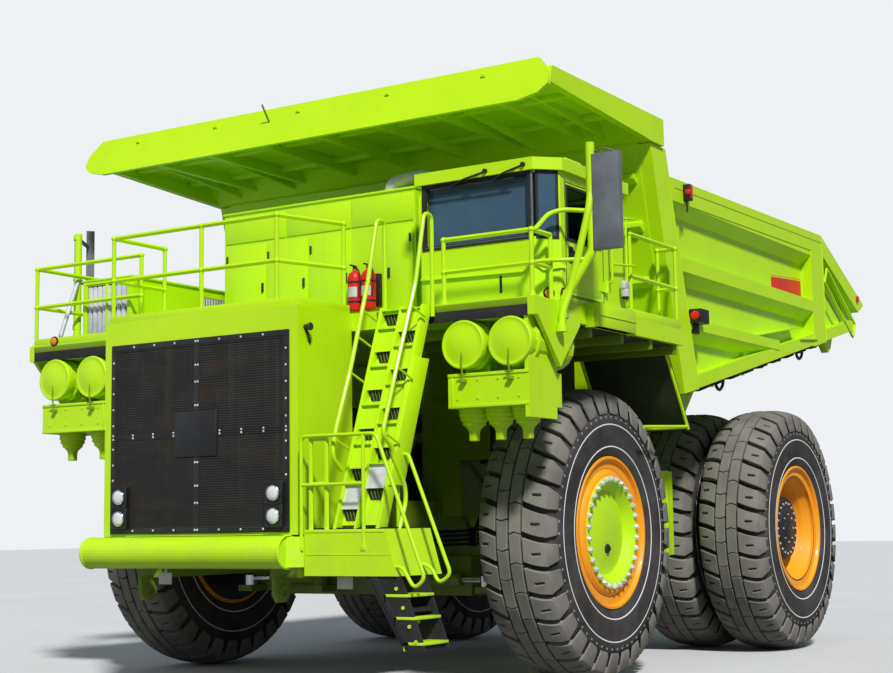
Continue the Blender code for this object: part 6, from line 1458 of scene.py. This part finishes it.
# %% Canister lids, clamps, cups and valves
BOXES = {"left": (1, 2.68, 3.69, 3), "right": (-1, 2.42, 3.55, 2)}
for name, (side, inner_x, outer_x, cups) in BOXES.items():
    lids, clamps, screws = [], [], []
    for share in (0.21, 0.79):
        x = side * (inner_x + (outer_x - inner_x) * share)
        middle = at(x, 0, 3.785)
        lids.append(lathe([(-2.50, 0.262), (-2.585, 0.268), (-2.600, 0.262), (-2.604, 0.250),
                           (-2.598, 0.238), (-2.600, 0.20), (-2.622, 0.12), (-2.630, 0.04), (-2.630, 0.0)
                           ][::-1] + [(-2.50, 0.0)], middle, 56, "Y"))
        for y in (-2.40, -2.05, -1.72):
            clamps.append(lathe([(y - 0.028, 0.250), (y - 0.028, 0.268), (y - 0.018, 0.274),
                                 (y + 0.018, 0.274), (y + 0.028, 0.268), (y + 0.028, 0.250)],
                                middle, 48, "Y"))
        screws.append(tube([(x, -2.612, 3.80), (x, -2.625, 3.56), (x, -2.60, 3.40)], 0.010, 0.03, 2))
        screws.append(tube([(x - 0.05, -2.612, 3.46), (x + 0.05, -2.612, 3.46)], 0.009, 0, 2))
        screws.append(block((x - 0.03, x + 0.03), (-2.625, -2.55), (3.370, 3.410), 0.006))
    hand_over(joined(lids), "canister_lids_" + name, smooth=50)
    hand_over(joined(clamps), "canister_clamps_" + name, smooth=50)
    # The screws get lime darkened by painted shade, as they stand in the shade under the deck's edge.
    hand_over(joined(screws), "canister_screws_shaded_" + name, "chassis", SHADE_LIME)
    bowls, tips = [], []
    for cup in range(cups):
        x = side * (inner_x + (outer_x - inner_x) * (2 * cup + 1) / (2 * cups))
        centre = at(x, -2.30, 0)
        bowls.append(lathe([
            (3.102, 0.0), (3.102, 0.168), (3.075, 0.172), (3.068, 0.166), (3.052, 0.162), (3.046, 0.168),
            (3.028, 0.168), (3.020, 0.158), (3.000, 0.150), (2.992, 0.156), (2.974, 0.152), (2.968, 0.140),
            (2.945, 0.125), (2.938, 0.130), (2.922, 0.124), (2.916, 0.108), (2.892, 0.086), (2.880, 0.072),
            (2.868, 0.070), (2.862, 0.0)], centre, 40, "Z"))
        tip = loft([[at(x + a * s, -2.30 + b * s, z) for a, b in ((-1, -1), (1, -1), (1, 1), (-1, 1))]
                    for s, z in ((0.050, 2.875), (0.046, 2.850), (0.042, 2.830), (0.044, 2.760),
                                 (0.040, 2.752))])
        tips.append(soften(tip, 0.006, 2, 50))
    hand_over(joined(bowls), "dust_cups_" + name, smooth=40)
    hand_over(joined(tips), "dust_valves_" + name, "chassis", LIME)
    low, high = sorted((side * inner_x, side * outer_x))
    trim = [block((low, high), (-2.572, -2.558), (3.440, 3.474), 0.004),
            block((low, high), (-2.566, -2.556), (3.10, 3.135), 0.004)]
    inner_strip = side * (inner_x + 0.05)
    trim.append(block((inner_strip - 0.012, inner_strip + 0.012), (-2.568, -2.556), (3.12, 3.46), 0.003))
    for k in range(4):
        x = low + (high - low) * (0.12 + 0.76 * k / 3)
        for z in (3.40, 3.20):
            trim.append(bolt(at(x, -2.560, z), (0, -1, 0), 0.014, 0.010))
    hand_over(joined(trim), "cleaner_box_trim_" + name)
    print("air cleaner", name)

# %% [markdown]
# ## Deck: cabinet, extinguishers, louvres and lamps
# Behind the nose stands the electrical cabinet with its flush doors. Two fire bottles hang on its front; the
# retarder's box on the right wing has folded upright louvres.

# %% Cabinet doors, handles and duct
doors = []
for low, high in ((-1.27, -0.62), (-0.60, 0.05), (0.07, 0.70), (1.22, 1.62)):
    doors.append(block((low, high), (-1.618, -1.598), (4.32, 5.42), 0.006))
for low, high in ((-1.27, -0.30), (-0.28, 0.70), (0.72, 1.62)):
    doors.append(block((low, high), (-1.614, -1.598), (5.47, 5.80), 0.006))
for low, high in ((-1.52, -0.62), (-0.60, 0.30)):
    doors.append(block((1.648, 1.664), (low, high), (4.34, 5.76), 0.006))
    doors.append(block((-1.314, -1.298), (low, high), (4.34, 5.76), 0.006))
doors.append(block((-1.32, 1.67), (-1.62, 0.37), (5.845, 5.875), 0.010))
hand_over(joined(doors), "cabinet_doors")
latches = []
for x in (-0.66, -0.01, 0.64, 1.27):
    latches.append(block((x - 0.015, x + 0.015), (-1.636, -1.615), (4.80, 4.92), 0.005))
for x in (-1.24, -0.57, 0.10, 1.58):
    for z in (4.48, 5.26):
        latches.append(lathe([(z - 0.05, 0.0), (z - 0.05, 0.014), (z + 0.05, 0.014), (z + 0.05, 0.0)],
                             at(x, -1.622, 0), 12, "Z"))
hand_over(joined(latches), "cabinet_latches", "chassis", DARK)
duct = joined([
    tube([(1.10, -1.30, 5.82), (1.10, -1.30, 6.02), (1.35, -1.10, 6.12), (1.62, -0.90, 6.08)],
         0.085, 0.12, 5),
    lathe([(5.86, 0.0), (5.86, 0.120), (5.89, 0.120), (5.89, 0.0)], at(1.10, -1.30, 0), 24, "Z")])
hand_over(duct, "cabinet_duct", "chassis", WHITE)
print("cabinet dressed")

# %% [markdown]
# Each bottle is turned from its section, with a valve block, a lever, a hose and two straps. Its label is a
# thin bent sheet that is left blank.

# %% Fire bottles
bottles, valves, labels = [], [], []
for x in (0.86, 1.06):
    y = -1.745
    bottles.append(lathe([
        (4.415, 0.0), (4.415, 0.070), (4.425, 0.086), (4.44, 0.090), (4.80, 0.090), (4.83, 0.087),
        (4.87, 0.070), (4.895, 0.042), (4.905, 0.030), (4.925, 0.028), (4.925, 0.0)], at(x, y, 0), 36, "Z"))
    valves.append(block((x - 0.022, x + 0.022), (y - 0.02, y + 0.02), (4.915, 4.965), 0.006))
    valves.append(block((x - 0.012, x + 0.012), (y - 0.10, y + 0.03), (4.955, 4.972), 0.004))
    valves.append(tube([(x + 0.02, y - 0.01, 4.94), (x + 0.085, y - 0.03, 4.90), (x + 0.098, y - 0.04, 4.70),
                        (x + 0.088, y - 0.05, 4.58)], 0.009, 0.04, 2))
    for z in (4.52, 4.76):
        valves.append(lathe([(z - 0.012, 0.086), (z - 0.012, 0.094), (z + 0.012, 0.094), (z + 0.012, 0.086)],
                            at(x, y, 0), 32, "Z"))
    sections = []
    for i in range(9):
        a = math.radians(-140 + i * 12.5)
        out = Vector((math.cos(a), math.sin(a), 0))
        here = at(x, y, 0)
        sections.append([here + out * r + Vector((0, 0, z)) for r, z in (
            (0.088, 4.58), (0.092, 4.58), (0.092, 4.70), (0.088, 4.70))])
    labels.append(loft(sections))
bodies = joined(bottles)
hand_over(bodies, "fire_bottles", "chassis", RED, 50)
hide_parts("fire_extinguishers")
back = block((0.76, 1.16), (-1.66, -1.598), (4.46, 4.86), 0.008)
hand_over(joined([back] + valves), "bottle_brackets_and_valves", "chassis", BLACK)
hand_over(joined(labels), "bottle_blank_labels", "chassis", PLATE_WHITE)
print("two fire bottles")

# %% [markdown]
# The louvres are folded plates that stand upright in a frame before a black back of painted shade, at the front
# and at the rear part of both sides. An amber lamp stands on the wing's edge.

# %% Retarder louvres and wing lamps
slats = []
inner = (-2.88, -2.19)
for i in range(8):
    x = inner[0] + 0.02 + i * 0.0825
    slats.append(slab([(x, -2.452), (x + 0.050, -2.440), (x + 0.056, -2.400), (x + 0.046, -2.400),
                       (x + 0.042, -2.430), (x, -2.440)], "Z", 4.345, 4.965, 0.003))
louvres = joined(slats)
hand_over(louvres, "retarder_slats", "chassis", WHITE)
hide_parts("retarder_louvres")
# The black back behind the slats is painted shade for the inside of the box.
depth = block((inner[0], inner[1]), (-2.386, -2.378), (4.33, 4.98), 0.002)
hand_over(depth, "retarder_shade_back", "chassis", BLACK)
rim = joined([
    window_frame(at(-2.955, -2.450, 4.26), (1, 0, 0), (0, 0, 1), 0.840, 0.795, 0.055, 0.012),
    block((-2.975, -2.095), (-2.47, -0.58), (5.035, 5.062), 0.006),
    block((-2.555, -2.515), (-2.462, -2.44), (4.33, 4.98), 0.004)])
hand_over(rim, "retarder_box_trim")
side_slats = []
panels = []
for low_x, high_x in ((-2.962, -2.950), (-2.120, -2.108)):
    panels.append(block((low_x, high_x), (-1.16, -0.66), (4.62, 4.93), 0.003))
    for i in range(9):
        y = -1.15 + i * 0.055
        side_slats.append(block((low_x - 0.008, high_x + 0.008), (y, y + 0.032), (4.63, 4.92), 0.003))
hand_over(joined(side_slats), "retarder_side_slats", "chassis", WHITE)
# The black backs behind the side slats are painted shade for the inside of the box.
hand_over(joined(panels), "retarder_side_shade_backs", "chassis", BLACK)
wing_lamp = lathe([(-2.586, 0.0), (-2.586, 0.050), (-2.606, 0.047), (-2.616, 0.030), (-2.618, 0.006),
                   (-2.618, 0.0)], at(-3.33, 0, 4.29), 24, "Y")
hand_over(wing_lamp, "wing_lamp_lens", "chassis", AMBER, 50)
wing_ring = lathe([(-2.582, 0.048), (-2.582, 0.066), (-2.598, 0.062), (-2.600, 0.052)],
                  at(-3.33, 0, 4.29), 24, "Y")
bracket = block((-3.39, -3.27), (-2.583, -2.560), (4.20, 4.35), 0.006)
hand_over(bracket, "wing_lamp_bracket")
hand_over(wing_ring, "wing_lamp_ring", "chassis", RUBBER, 50)
print("louvres and wing lamp")

# %% [markdown]
# Deck plates are covered with raised tread bars, and a kick strip runs round the outer edges. Ball joints
# sit where rails and posts meet.

# %% Deck plates, kick strips and rail joints
plates = []
for low_x, high_x, low_y, high_y in ((1.72, 2.02, -2.5, 0.9), (-2.02, -1.36, -2.5, 0.9),
                                     (-1.25, 1.25, -3.45, -1.75), (-3.68, -3.02, -2.4, 0.9)):
    count = max(2, int((high_y - low_y) / 0.11))
    for i in range(count):
        y = low_y + (high_y - low_y) * i / count
        plates.append(block((low_x, high_x), (y, y + 0.018), (4.249, 4.258)))
hand_over(joined(plates), "deck_tread_bars")
kicks = [block((-3.789, -3.775), (-2.50, 1.18), (4.24, 4.36), 0.003),
         block((3.775, 3.789), (-0.30, 1.18), (4.24, 4.36), 0.003),
         block((-3.70, -1.45), (-2.578, -2.565), (4.24, 4.34), 0.003),
         block((-1.41, -1.39), (-3.55, -2.62), (4.24, 4.34), 0.003),
         block((1.39, 1.41), (-3.55, -2.62), (4.24, 4.34), 0.003),
         block((-1.38, 1.38), (-3.585, -3.565), (4.24, 4.34), 0.003)]
hand_over(joined(kicks), "deck_kick_strips")
balls = []
nose = [(1.36, -2.66), (1.088, -3.535), (0.0, -3.535), (-1.36, -3.535), (-1.36, -2.66)]
wing = [(-1.88, -2.52), (-3.73, -2.52), (-3.73, 0.0), (-3.73, 1.19)]
rear = [(3.49, 1.19), (3.73, 1.19), (3.73, -0.12)]
for stations, heights in ((nose, (1.03, 0.52)), (wing, (1.03, 0.52)), (rear, (1.03, 0.52)),
                          ([(2.62, -2.52), (3.73, -2.52)], (0.72, 0.36))):
    for x, y in stations:
        for height in heights:
            bpy.ops.object.select_all(action="DESELECT")
            bpy.ops.mesh.primitive_ico_sphere_add(subdivisions=2, radius=0.036)
            ball = bpy.context.object
            ball.data.transform(Matrix.Translation(at(x, y, DECK_TOP + height)))
            balls.append(ball)
        foot = lathe([(4.25, 0.0), (4.25, 0.055), (4.262, 0.055), (4.268, 0.034), (4.31, 0.030), (4.31, 0.0)],
                     at(x, y, 0), 16, "Z")
        balls.append(foot)
hand_over(joined(balls), "rail_joints", smooth=60)

# %% [markdown]
# ## Engine bay and frame
# Under the deck the engine shows through the ladder gap and from the side: rocker covers in two rows, a fan
# and its shroud, filters and pipes. Hoses and brake lines run along the frame rails.

# %% Engine dressing
covers = []
for side in (-1, 1):
    for i in range(6):
        y = -1.95 + i * 0.46
        outline = [(side * 0.20, 3.19), (side * 0.24, 3.33), (side * 0.46, 3.30), (side * 0.56, 3.19)]
        covers.append(slab(outline, "Y", y, y + 0.36, 0.02, 2))
        covers.append(bolt(at(side * 0.34, y + 0.18, 3.315), (0, 0, 1), 0.022, 0.02))
hand_over(joined(covers), "rocker_covers", "chassis", DARK)
pipes = []
for side in (-1, 1):
    pipes.append(tube([(side * 0.78, 0.80, 2.95), (side * 0.78, -1.80, 2.95), (side * 0.70, -2.10, 3.00)],
                      0.075, 0.15, 5))
    for i in range(6):
        y = -1.77 + i * 0.46
        pipes.append(tube([(side * 0.69, y, 2.85), (side * 0.76, y, 2.86), (side * 0.78, y, 2.93)],
                          0.038, 0.05, 3))
hand_over(joined(pipes), "exhaust_manifolds", "chassis", WORN_STEEL)
filters = []
for i in range(4):
    y = -1.70 + i * 0.30
    for side in (-1, 1):
        filters.append(lathe([
            (2.10, 0.0), (2.10, 0.080), (2.12, 0.092), (2.42, 0.092), (2.44, 0.080), (2.46, 0.082),
            (2.50, 0.060), (2.50, 0.0)], at(side * 0.80, y, 0), 24, "Z"))
hand_over(joined(filters), "engine_filters", "chassis", WHITE, 50)
ribs = [block((side * 0.695, side * 0.725), (y, y + 0.05), (1.62, 2.70), 0.008)
        for side in (-1, 1) for y in (-2.05, -1.55, -1.05, -0.55, -0.05, 0.45)]
sump = block((-0.42, 0.42), (-1.9, 0.3), (1.40, 1.56), 0.04, 3)
hand_over(joined(ribs + [sump]), "engine_ribs_and_sump", "chassis", DARK)
fan = [lathe([(-2.56, 0.0), (-2.56, 0.16), (-2.40, 0.18), (-2.40, 0.0)], at(0, 0, 2.75), 24, "Y")]
blade = slab([(-0.06, 2.88), (0.10, 2.90), (0.17, 3.55), (-0.02, 3.58)], "Y", -2.53, -2.50, 0.01)
fan.append(ring_of(blade, at(0, -2.5, 2.75), 8, "Y"))
hand_over(joined(fan), "cooling_fan", "chassis", ORANGE)
print("engine dressed")

# %% [markdown]
# Four hoses run along each frame rail under clips. The front struts get turned collars with rings of bolts.

# %% Hoses, frame plates and bolts
hoses = []
for side in (-1, 1):
    for k in range(4):
        x = side * (1.165 + k * 0.004)
        z = 1.62 + k * 0.055
        hoses.append(tube([(x, -2.2, z), (x, -0.55, z), (x, -0.40, z - 0.02), (x, 2.0, z + 0.02),
                           (x, 3.6, z + 0.20)], 0.018, 0.10, 2))
    hoses.append(tube([(side * 1.62, 0.10, 2.70), (side * 1.50, 0.30, 2.45), (side * 1.35, 0.38, 2.10),
                       (side * 1.20, 0.40, 1.80)], 0.026, 0.12, 3))
    hoses.append(tube([(side * 0.80, 5.0, 2.35), (side * 0.62, 4.6, 2.55), (side * 0.55, 4.0, 2.40),
                       (side * 0.60, 3.5, 2.10)], 0.030, 0.15, 3))
hand_over(joined(hoses), "frame_hoses", "chassis", RUBBER)
clips = []
for side in (-1, 1):
    for y in (-1.9, -1.2, 0.4, 1.1, 1.8, 2.5):
        clips.append(block((side * 1.148, side * 1.205), (y - 0.02, y + 0.02), (1.58, 1.82), 0.006))
    for y, z in ((6.55, 3.02), (6.85, 3.02), (6.62, 2.93), (6.78, 2.93), (5.9, 2.60), (5.9, 2.42),
                 (6.4, 2.60), (6.4, 2.42)):
        clips.append(bolt(at(side * 1.150, y, z), (side, 0, 0), 0.020, 0.014))
hand_over(joined(clips), "frame_clips_and_bolts", "chassis", DARK)

struts = []
for side in (-1, 1):
    centre = at(side * 1.85, 0, 0)
    struts.append(lathe([
        (2.600, 0.175), (2.598, 0.255), (2.606, 0.282), (2.660, 0.290), (2.670, 0.276), (3.40, 0.274),
        (3.42, 0.296), (3.49, 0.296), (3.50, 0.282), (3.52, 0.180), (3.50, 0.175)], centre, 40, "Z"))
    struts.append(ring_of(bolt(centre + Vector((0.286, 0, 2.67)), (0, 0, 1), 0.018, 0.022), centre, 12, "Z"))
    struts.append(ring_of(bolt(centre + Vector((0.288, 0, 3.39)), (0, 0, -1), 0.018, 0.022), centre, 12, "Z"))
hand_over(joined(struts), "front_strut_collars", "chassis", DARK, 40)
print("hoses, clips and struts")

# %% [markdown]
# Straps and caps dress the two tanks. Behind each front wheel a flap hangs from a frame of tubes; the flap, the
# inner mud wall and the lining under the deck are dark with mud and painted shade, and beams of lime darkened
# by grime and painted shade stiffen the deck from below.

# %% Tanks, mud guards and hangers
bits = []
for side in (-1, 1):
    inner, outer = side * 1.75, side * 2.60
    for y in (2.60, 3.22):
        bits.append(block((inner, outer + side * 0.012), (y - 0.035, y + 0.035), (1.388, 2.562), 0.006))
    bits.append(lathe([(2.545, 0.0), (2.545, 0.085), (2.60, 0.085), (2.61, 0.075), (2.64, 0.070),
                       (2.65, 0.055), (2.65, 0.0)], at(side * 2.30, 2.88, 0), 28, "Z"))
    bits.append(block((outer, outer + side * 0.03), (2.86, 2.94), (1.60, 2.35), 0.008))
hand_over(joined(bits), "tank_straps_and_caps")
gauges = [block((side * 2.628, side * 2.640), (2.885, 2.915), (1.66, 2.29), 0.003) for side in (-1, 1)]
hand_over(joined(gauges), "tank_sight_glasses", "chassis", LAMP)

FLAP_OUTER_X, FLAP_INNER_X = 3.60, 2.40
guards = []
for side in (-1, 1):
    outer, inner = side * FLAP_OUTER_X, side * FLAP_INNER_X
    guards.append(tube([(outer, 1.07, 4.06), (outer, 1.10, 3.98), (outer, 1.73, 3.03)], 0.022, 0, 3))
    guards.append(tube([(outer, 1.70, 3.06), (outer, 0.42, 3.00)], 0.020, 0.05, 3))
    guards.append(tube([(inner, 1.07, 4.06), (inner, 1.12, 3.95), (inner, 1.73, 3.03)], 0.022, 0, 3))
    guards.append(tube([(inner, 1.72, 3.05), (outer, 1.72, 3.05)], 0.018, 0, 3))
hand_over(joined(guards), "mud_guard_hangers")
flaps = []
for side in (-1, 1):
    low, high = sorted((side * 2.38, side * 3.62))
    flaps.append(slab([(1.115, 3.98), (1.135, 3.99), (1.765, 3.02), (1.745, 3.01)], "X", low, high, 0.004))
# The inner mud wall and the lining under the deck are dark plates of painted shade behind the tyre.
for side in (-1, 1):
    low, high = sorted((side * 2.300, side * 2.312))
    flaps.append(block((low, high), (-1.45, 1.10), (3.53, 4.045), 0.003))
    low, high = sorted((side * 1.50, side * 3.72))
    flaps.append(block((low, high), (-1.50, 1.20), (4.034, 4.047), 0.003))
hand_over(joined(flaps), "mud_guard_flaps", "chassis", MUD_AND_SHADE)
under = []
for low_x, high_x in ((1.50, 3.74), (-3.74, -1.50)):
    for y in (-2.0, -1.2, -0.4, 0.4, 1.1):
        under.append(block((low_x, high_x), (y - 0.04, y + 0.04), (3.93, 4.055), 0.010))
# The beams under the deck get the lime darkened by grime and by painted shade.
hand_over(joined(under), "deck_under_beams", "chassis", LIME_GRIME_AND_SHADE)
print("tanks and mud guards")

# %% [markdown]
# ## Rear axle and tail
# The rear axle's round housing has a bolted inspection cover at the back and raised ribs round it. Two tail
# lamps and a pale bare plate hang at the frame's end.

# %% Axle cover, ribs, tail lamps and struts
centre = at(0, REAR_AXLE, TYRE_R)
axle = [lathe([(5.86, 0.0), (5.86, 0.40), (5.895, 0.40), (5.905, 0.385), (5.925, 0.30), (5.935, 0.12),
               (5.935, 0.0)], at(0, 0, TYRE_R), 48, "Y"),
        ring_of(bolt(at(0, 5.897, TYRE_R + 0.355), (0, 1, 0), 0.020, 0.018), centre, 16, "Y")]
for x in (-1.58, -0.72, 0.72, 1.58):
    axle.append(lathe([(x - 0.03, 0.560), (x - 0.03, 0.615), (x + 0.03, 0.615), (x + 0.03, 0.560)],
                      centre, 48))
for x in (-1.52, 1.52):
    head = bolt(at(x, REAR_AXLE, TYRE_R + 0.597), (1 if x < 0 else -1, 0, 0), 0.018, 0.03)
    axle.append(ring_of(head, centre, 24))
hand_over(joined(axle), "axle_cover_and_ribs", smooth=40)
struts = []
for side in (-1, 1):
    middle = at(side * 0.975, 6.15, 0)
    struts.append(lathe([
        (2.20, 0.128), (2.20, 0.150), (2.24, 0.160), (2.30, 0.150), (2.34, 0.150), (2.66, 0.150), (2.68, 0.165),
        (2.72, 0.165), (2.72, 0.128)], middle, 32, "Z"))
hand_over(joined(struts), "rear_strut_sleeves", "chassis", DARK, 40)
tail, lenses = [], []
for side in (-1, 1):
    x = side * 0.975
    tail.append(block((x - 0.20, x + 0.20), (6.96, 7.02), (2.80, 2.94), 0.014, 3))
    for k, dx in enumerate((-0.12, 0.0, 0.12)):
        lens = lathe([(7.015, 0.0), (7.015, 0.050), (7.030, 0.046), (7.038, 0.028), (7.040, 0.006),
                      (7.040, 0.0)], at(x + dx, 0, 2.87), 24, "Y")
        lenses.append((lens, AMBER if k == 1 else RED_LENS))
hand_over(joined(tail), "tail_lamp_boxes", "chassis", BLACK)
for finish, tint in ((AMBER, "amber"), (RED_LENS, "red")):
    group = joined([lens for lens, wanted in lenses if wanted is finish])
    hand_over(group, "tail_lenses_" + tint, "chassis", finish, 50)
bare = block((-0.26, 0.26), (6.90, 6.912), (2.82, 2.95), 0.006)
hand_over(bare, "bare_plate_at_tail", "chassis", PLATE_WHITE)
print("rear axle and tail")

# %% [markdown]
# ## Hoists
# Each hoist is a three-stage cylinder. Its barrel has a gland ring at the mouth and a band near the foot.
# Both are turned upright and then tilted with the barrel, and they move with it.

# %% Hoist glands and bands
for side, name in SIDES:
    base, top = at(side * 1.47, 3.75, 1.50), at(side * 1.47, 3.90, 3.66)
    run = (top - base).normalized()
    turned = run.to_track_quat("Z", "Y").to_matrix().to_4x4()
    gland = lathe([(1.50, 0.196), (1.50, 0.222), (1.53, 0.228), (1.59, 0.228), (1.605, 0.218), (1.605, 0.196)],
                  (0, 0, 0), 36, "Z")
    band = lathe([(0.42, 0.196), (0.42, 0.212), (0.47, 0.212), (0.47, 0.196)], (0, 0, 0), 36, "Z")
    for piece in (gland, band):
        piece.data.transform(Matrix.Translation(base) @ turned)
    hand_over(joined([gland, band]), "hoist_gland_" + name, "hoist_outer_" + name, DARK, 40)
print("hoists dressed")

# %% [markdown]
# Under the decks' front edge a folded lip in lime darkened by painted shade overhangs the gap above the air
# cleaners, which lies in deep shade; a black strip fills the gap as painted shade. A black backing plate closes
# the inner side of each front wheel; it steers with the wheel but does not spin, and its outer part is painted
# shade over the rim's inner side. A small horn is fixed to the nose's left side, with a curved dark tube below
# it that is a painted shadow of the horn.

# %% Deck edge lips, wheel backing plates and horn
BACKING_PLATE = (
    (-0.350, 0.0), (-0.350, 0.655), (-0.446, 0.665), (-0.449, 0.860), (-0.460, 0.860), (-0.466, 0.840),
    (-0.462, 0.640), (-0.475, 0.600), (-0.480, 0.320), (-0.480, 0.0))
# The lips are lime darkened by painted shade, and the black strip below them is painted shade for the gap.
lips, gaps = [], []
for side in (-1, 1):
    low, high = sorted((side * 1.76, side * 3.70))
    lips.append(slab([(-2.592, 4.235), (-2.576, 4.235), (-2.576, 4.165), (-2.584, 4.165)], "X",
                     low, high, 0.002))
    gaps.append(block((low, high), (-2.583, -2.576), (4.045, 4.167), 0.002))
hand_over(joined(lips), "deck_edge_lips_painted_shade", "chassis", SHADE_LIME)
hand_over(joined(gaps), "deck_edge_shade_gap", "chassis", RUBBER)
for side, name in SIDES:
    # The black plate is partly the brake's backing plate; its outer part over the rim's inner side is painted
    # shade.
    backing = lathe(along_x(BACKING_PLATE, side), at(side * FRONT_WHEEL_X, 0, TYRE_R), 48)
    hand_over(backing, "wheel_backing_shade_plate_" + name, "knuckle_arm_" + name, BLACK, 40)
horn = joined([
    lathe([(1.418, 0.0), (1.418, 0.026), (1.450, 0.030), (1.500, 0.046), (1.510, 0.040), (1.500, 0.020),
           (1.500, 0.0)], at(0, -3.47, 4.01), 18),
    # The curved dark tube lies where the horn's shadow falls: a painted shadow.
    tube([(1.43, -3.46, 3.99), (1.455, -3.44, 3.90), (1.425, -3.38, 3.84)], 0.012, 0.03, 2)])
hand_over(horn, "nose_side_horn", "chassis", DARK)
print("deck edges and backing plates")

# %% [markdown]
# ## The last step
# The file ends by measuring the bounds of the dressed truck.

# %% Measure the dressed truck
low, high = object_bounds()
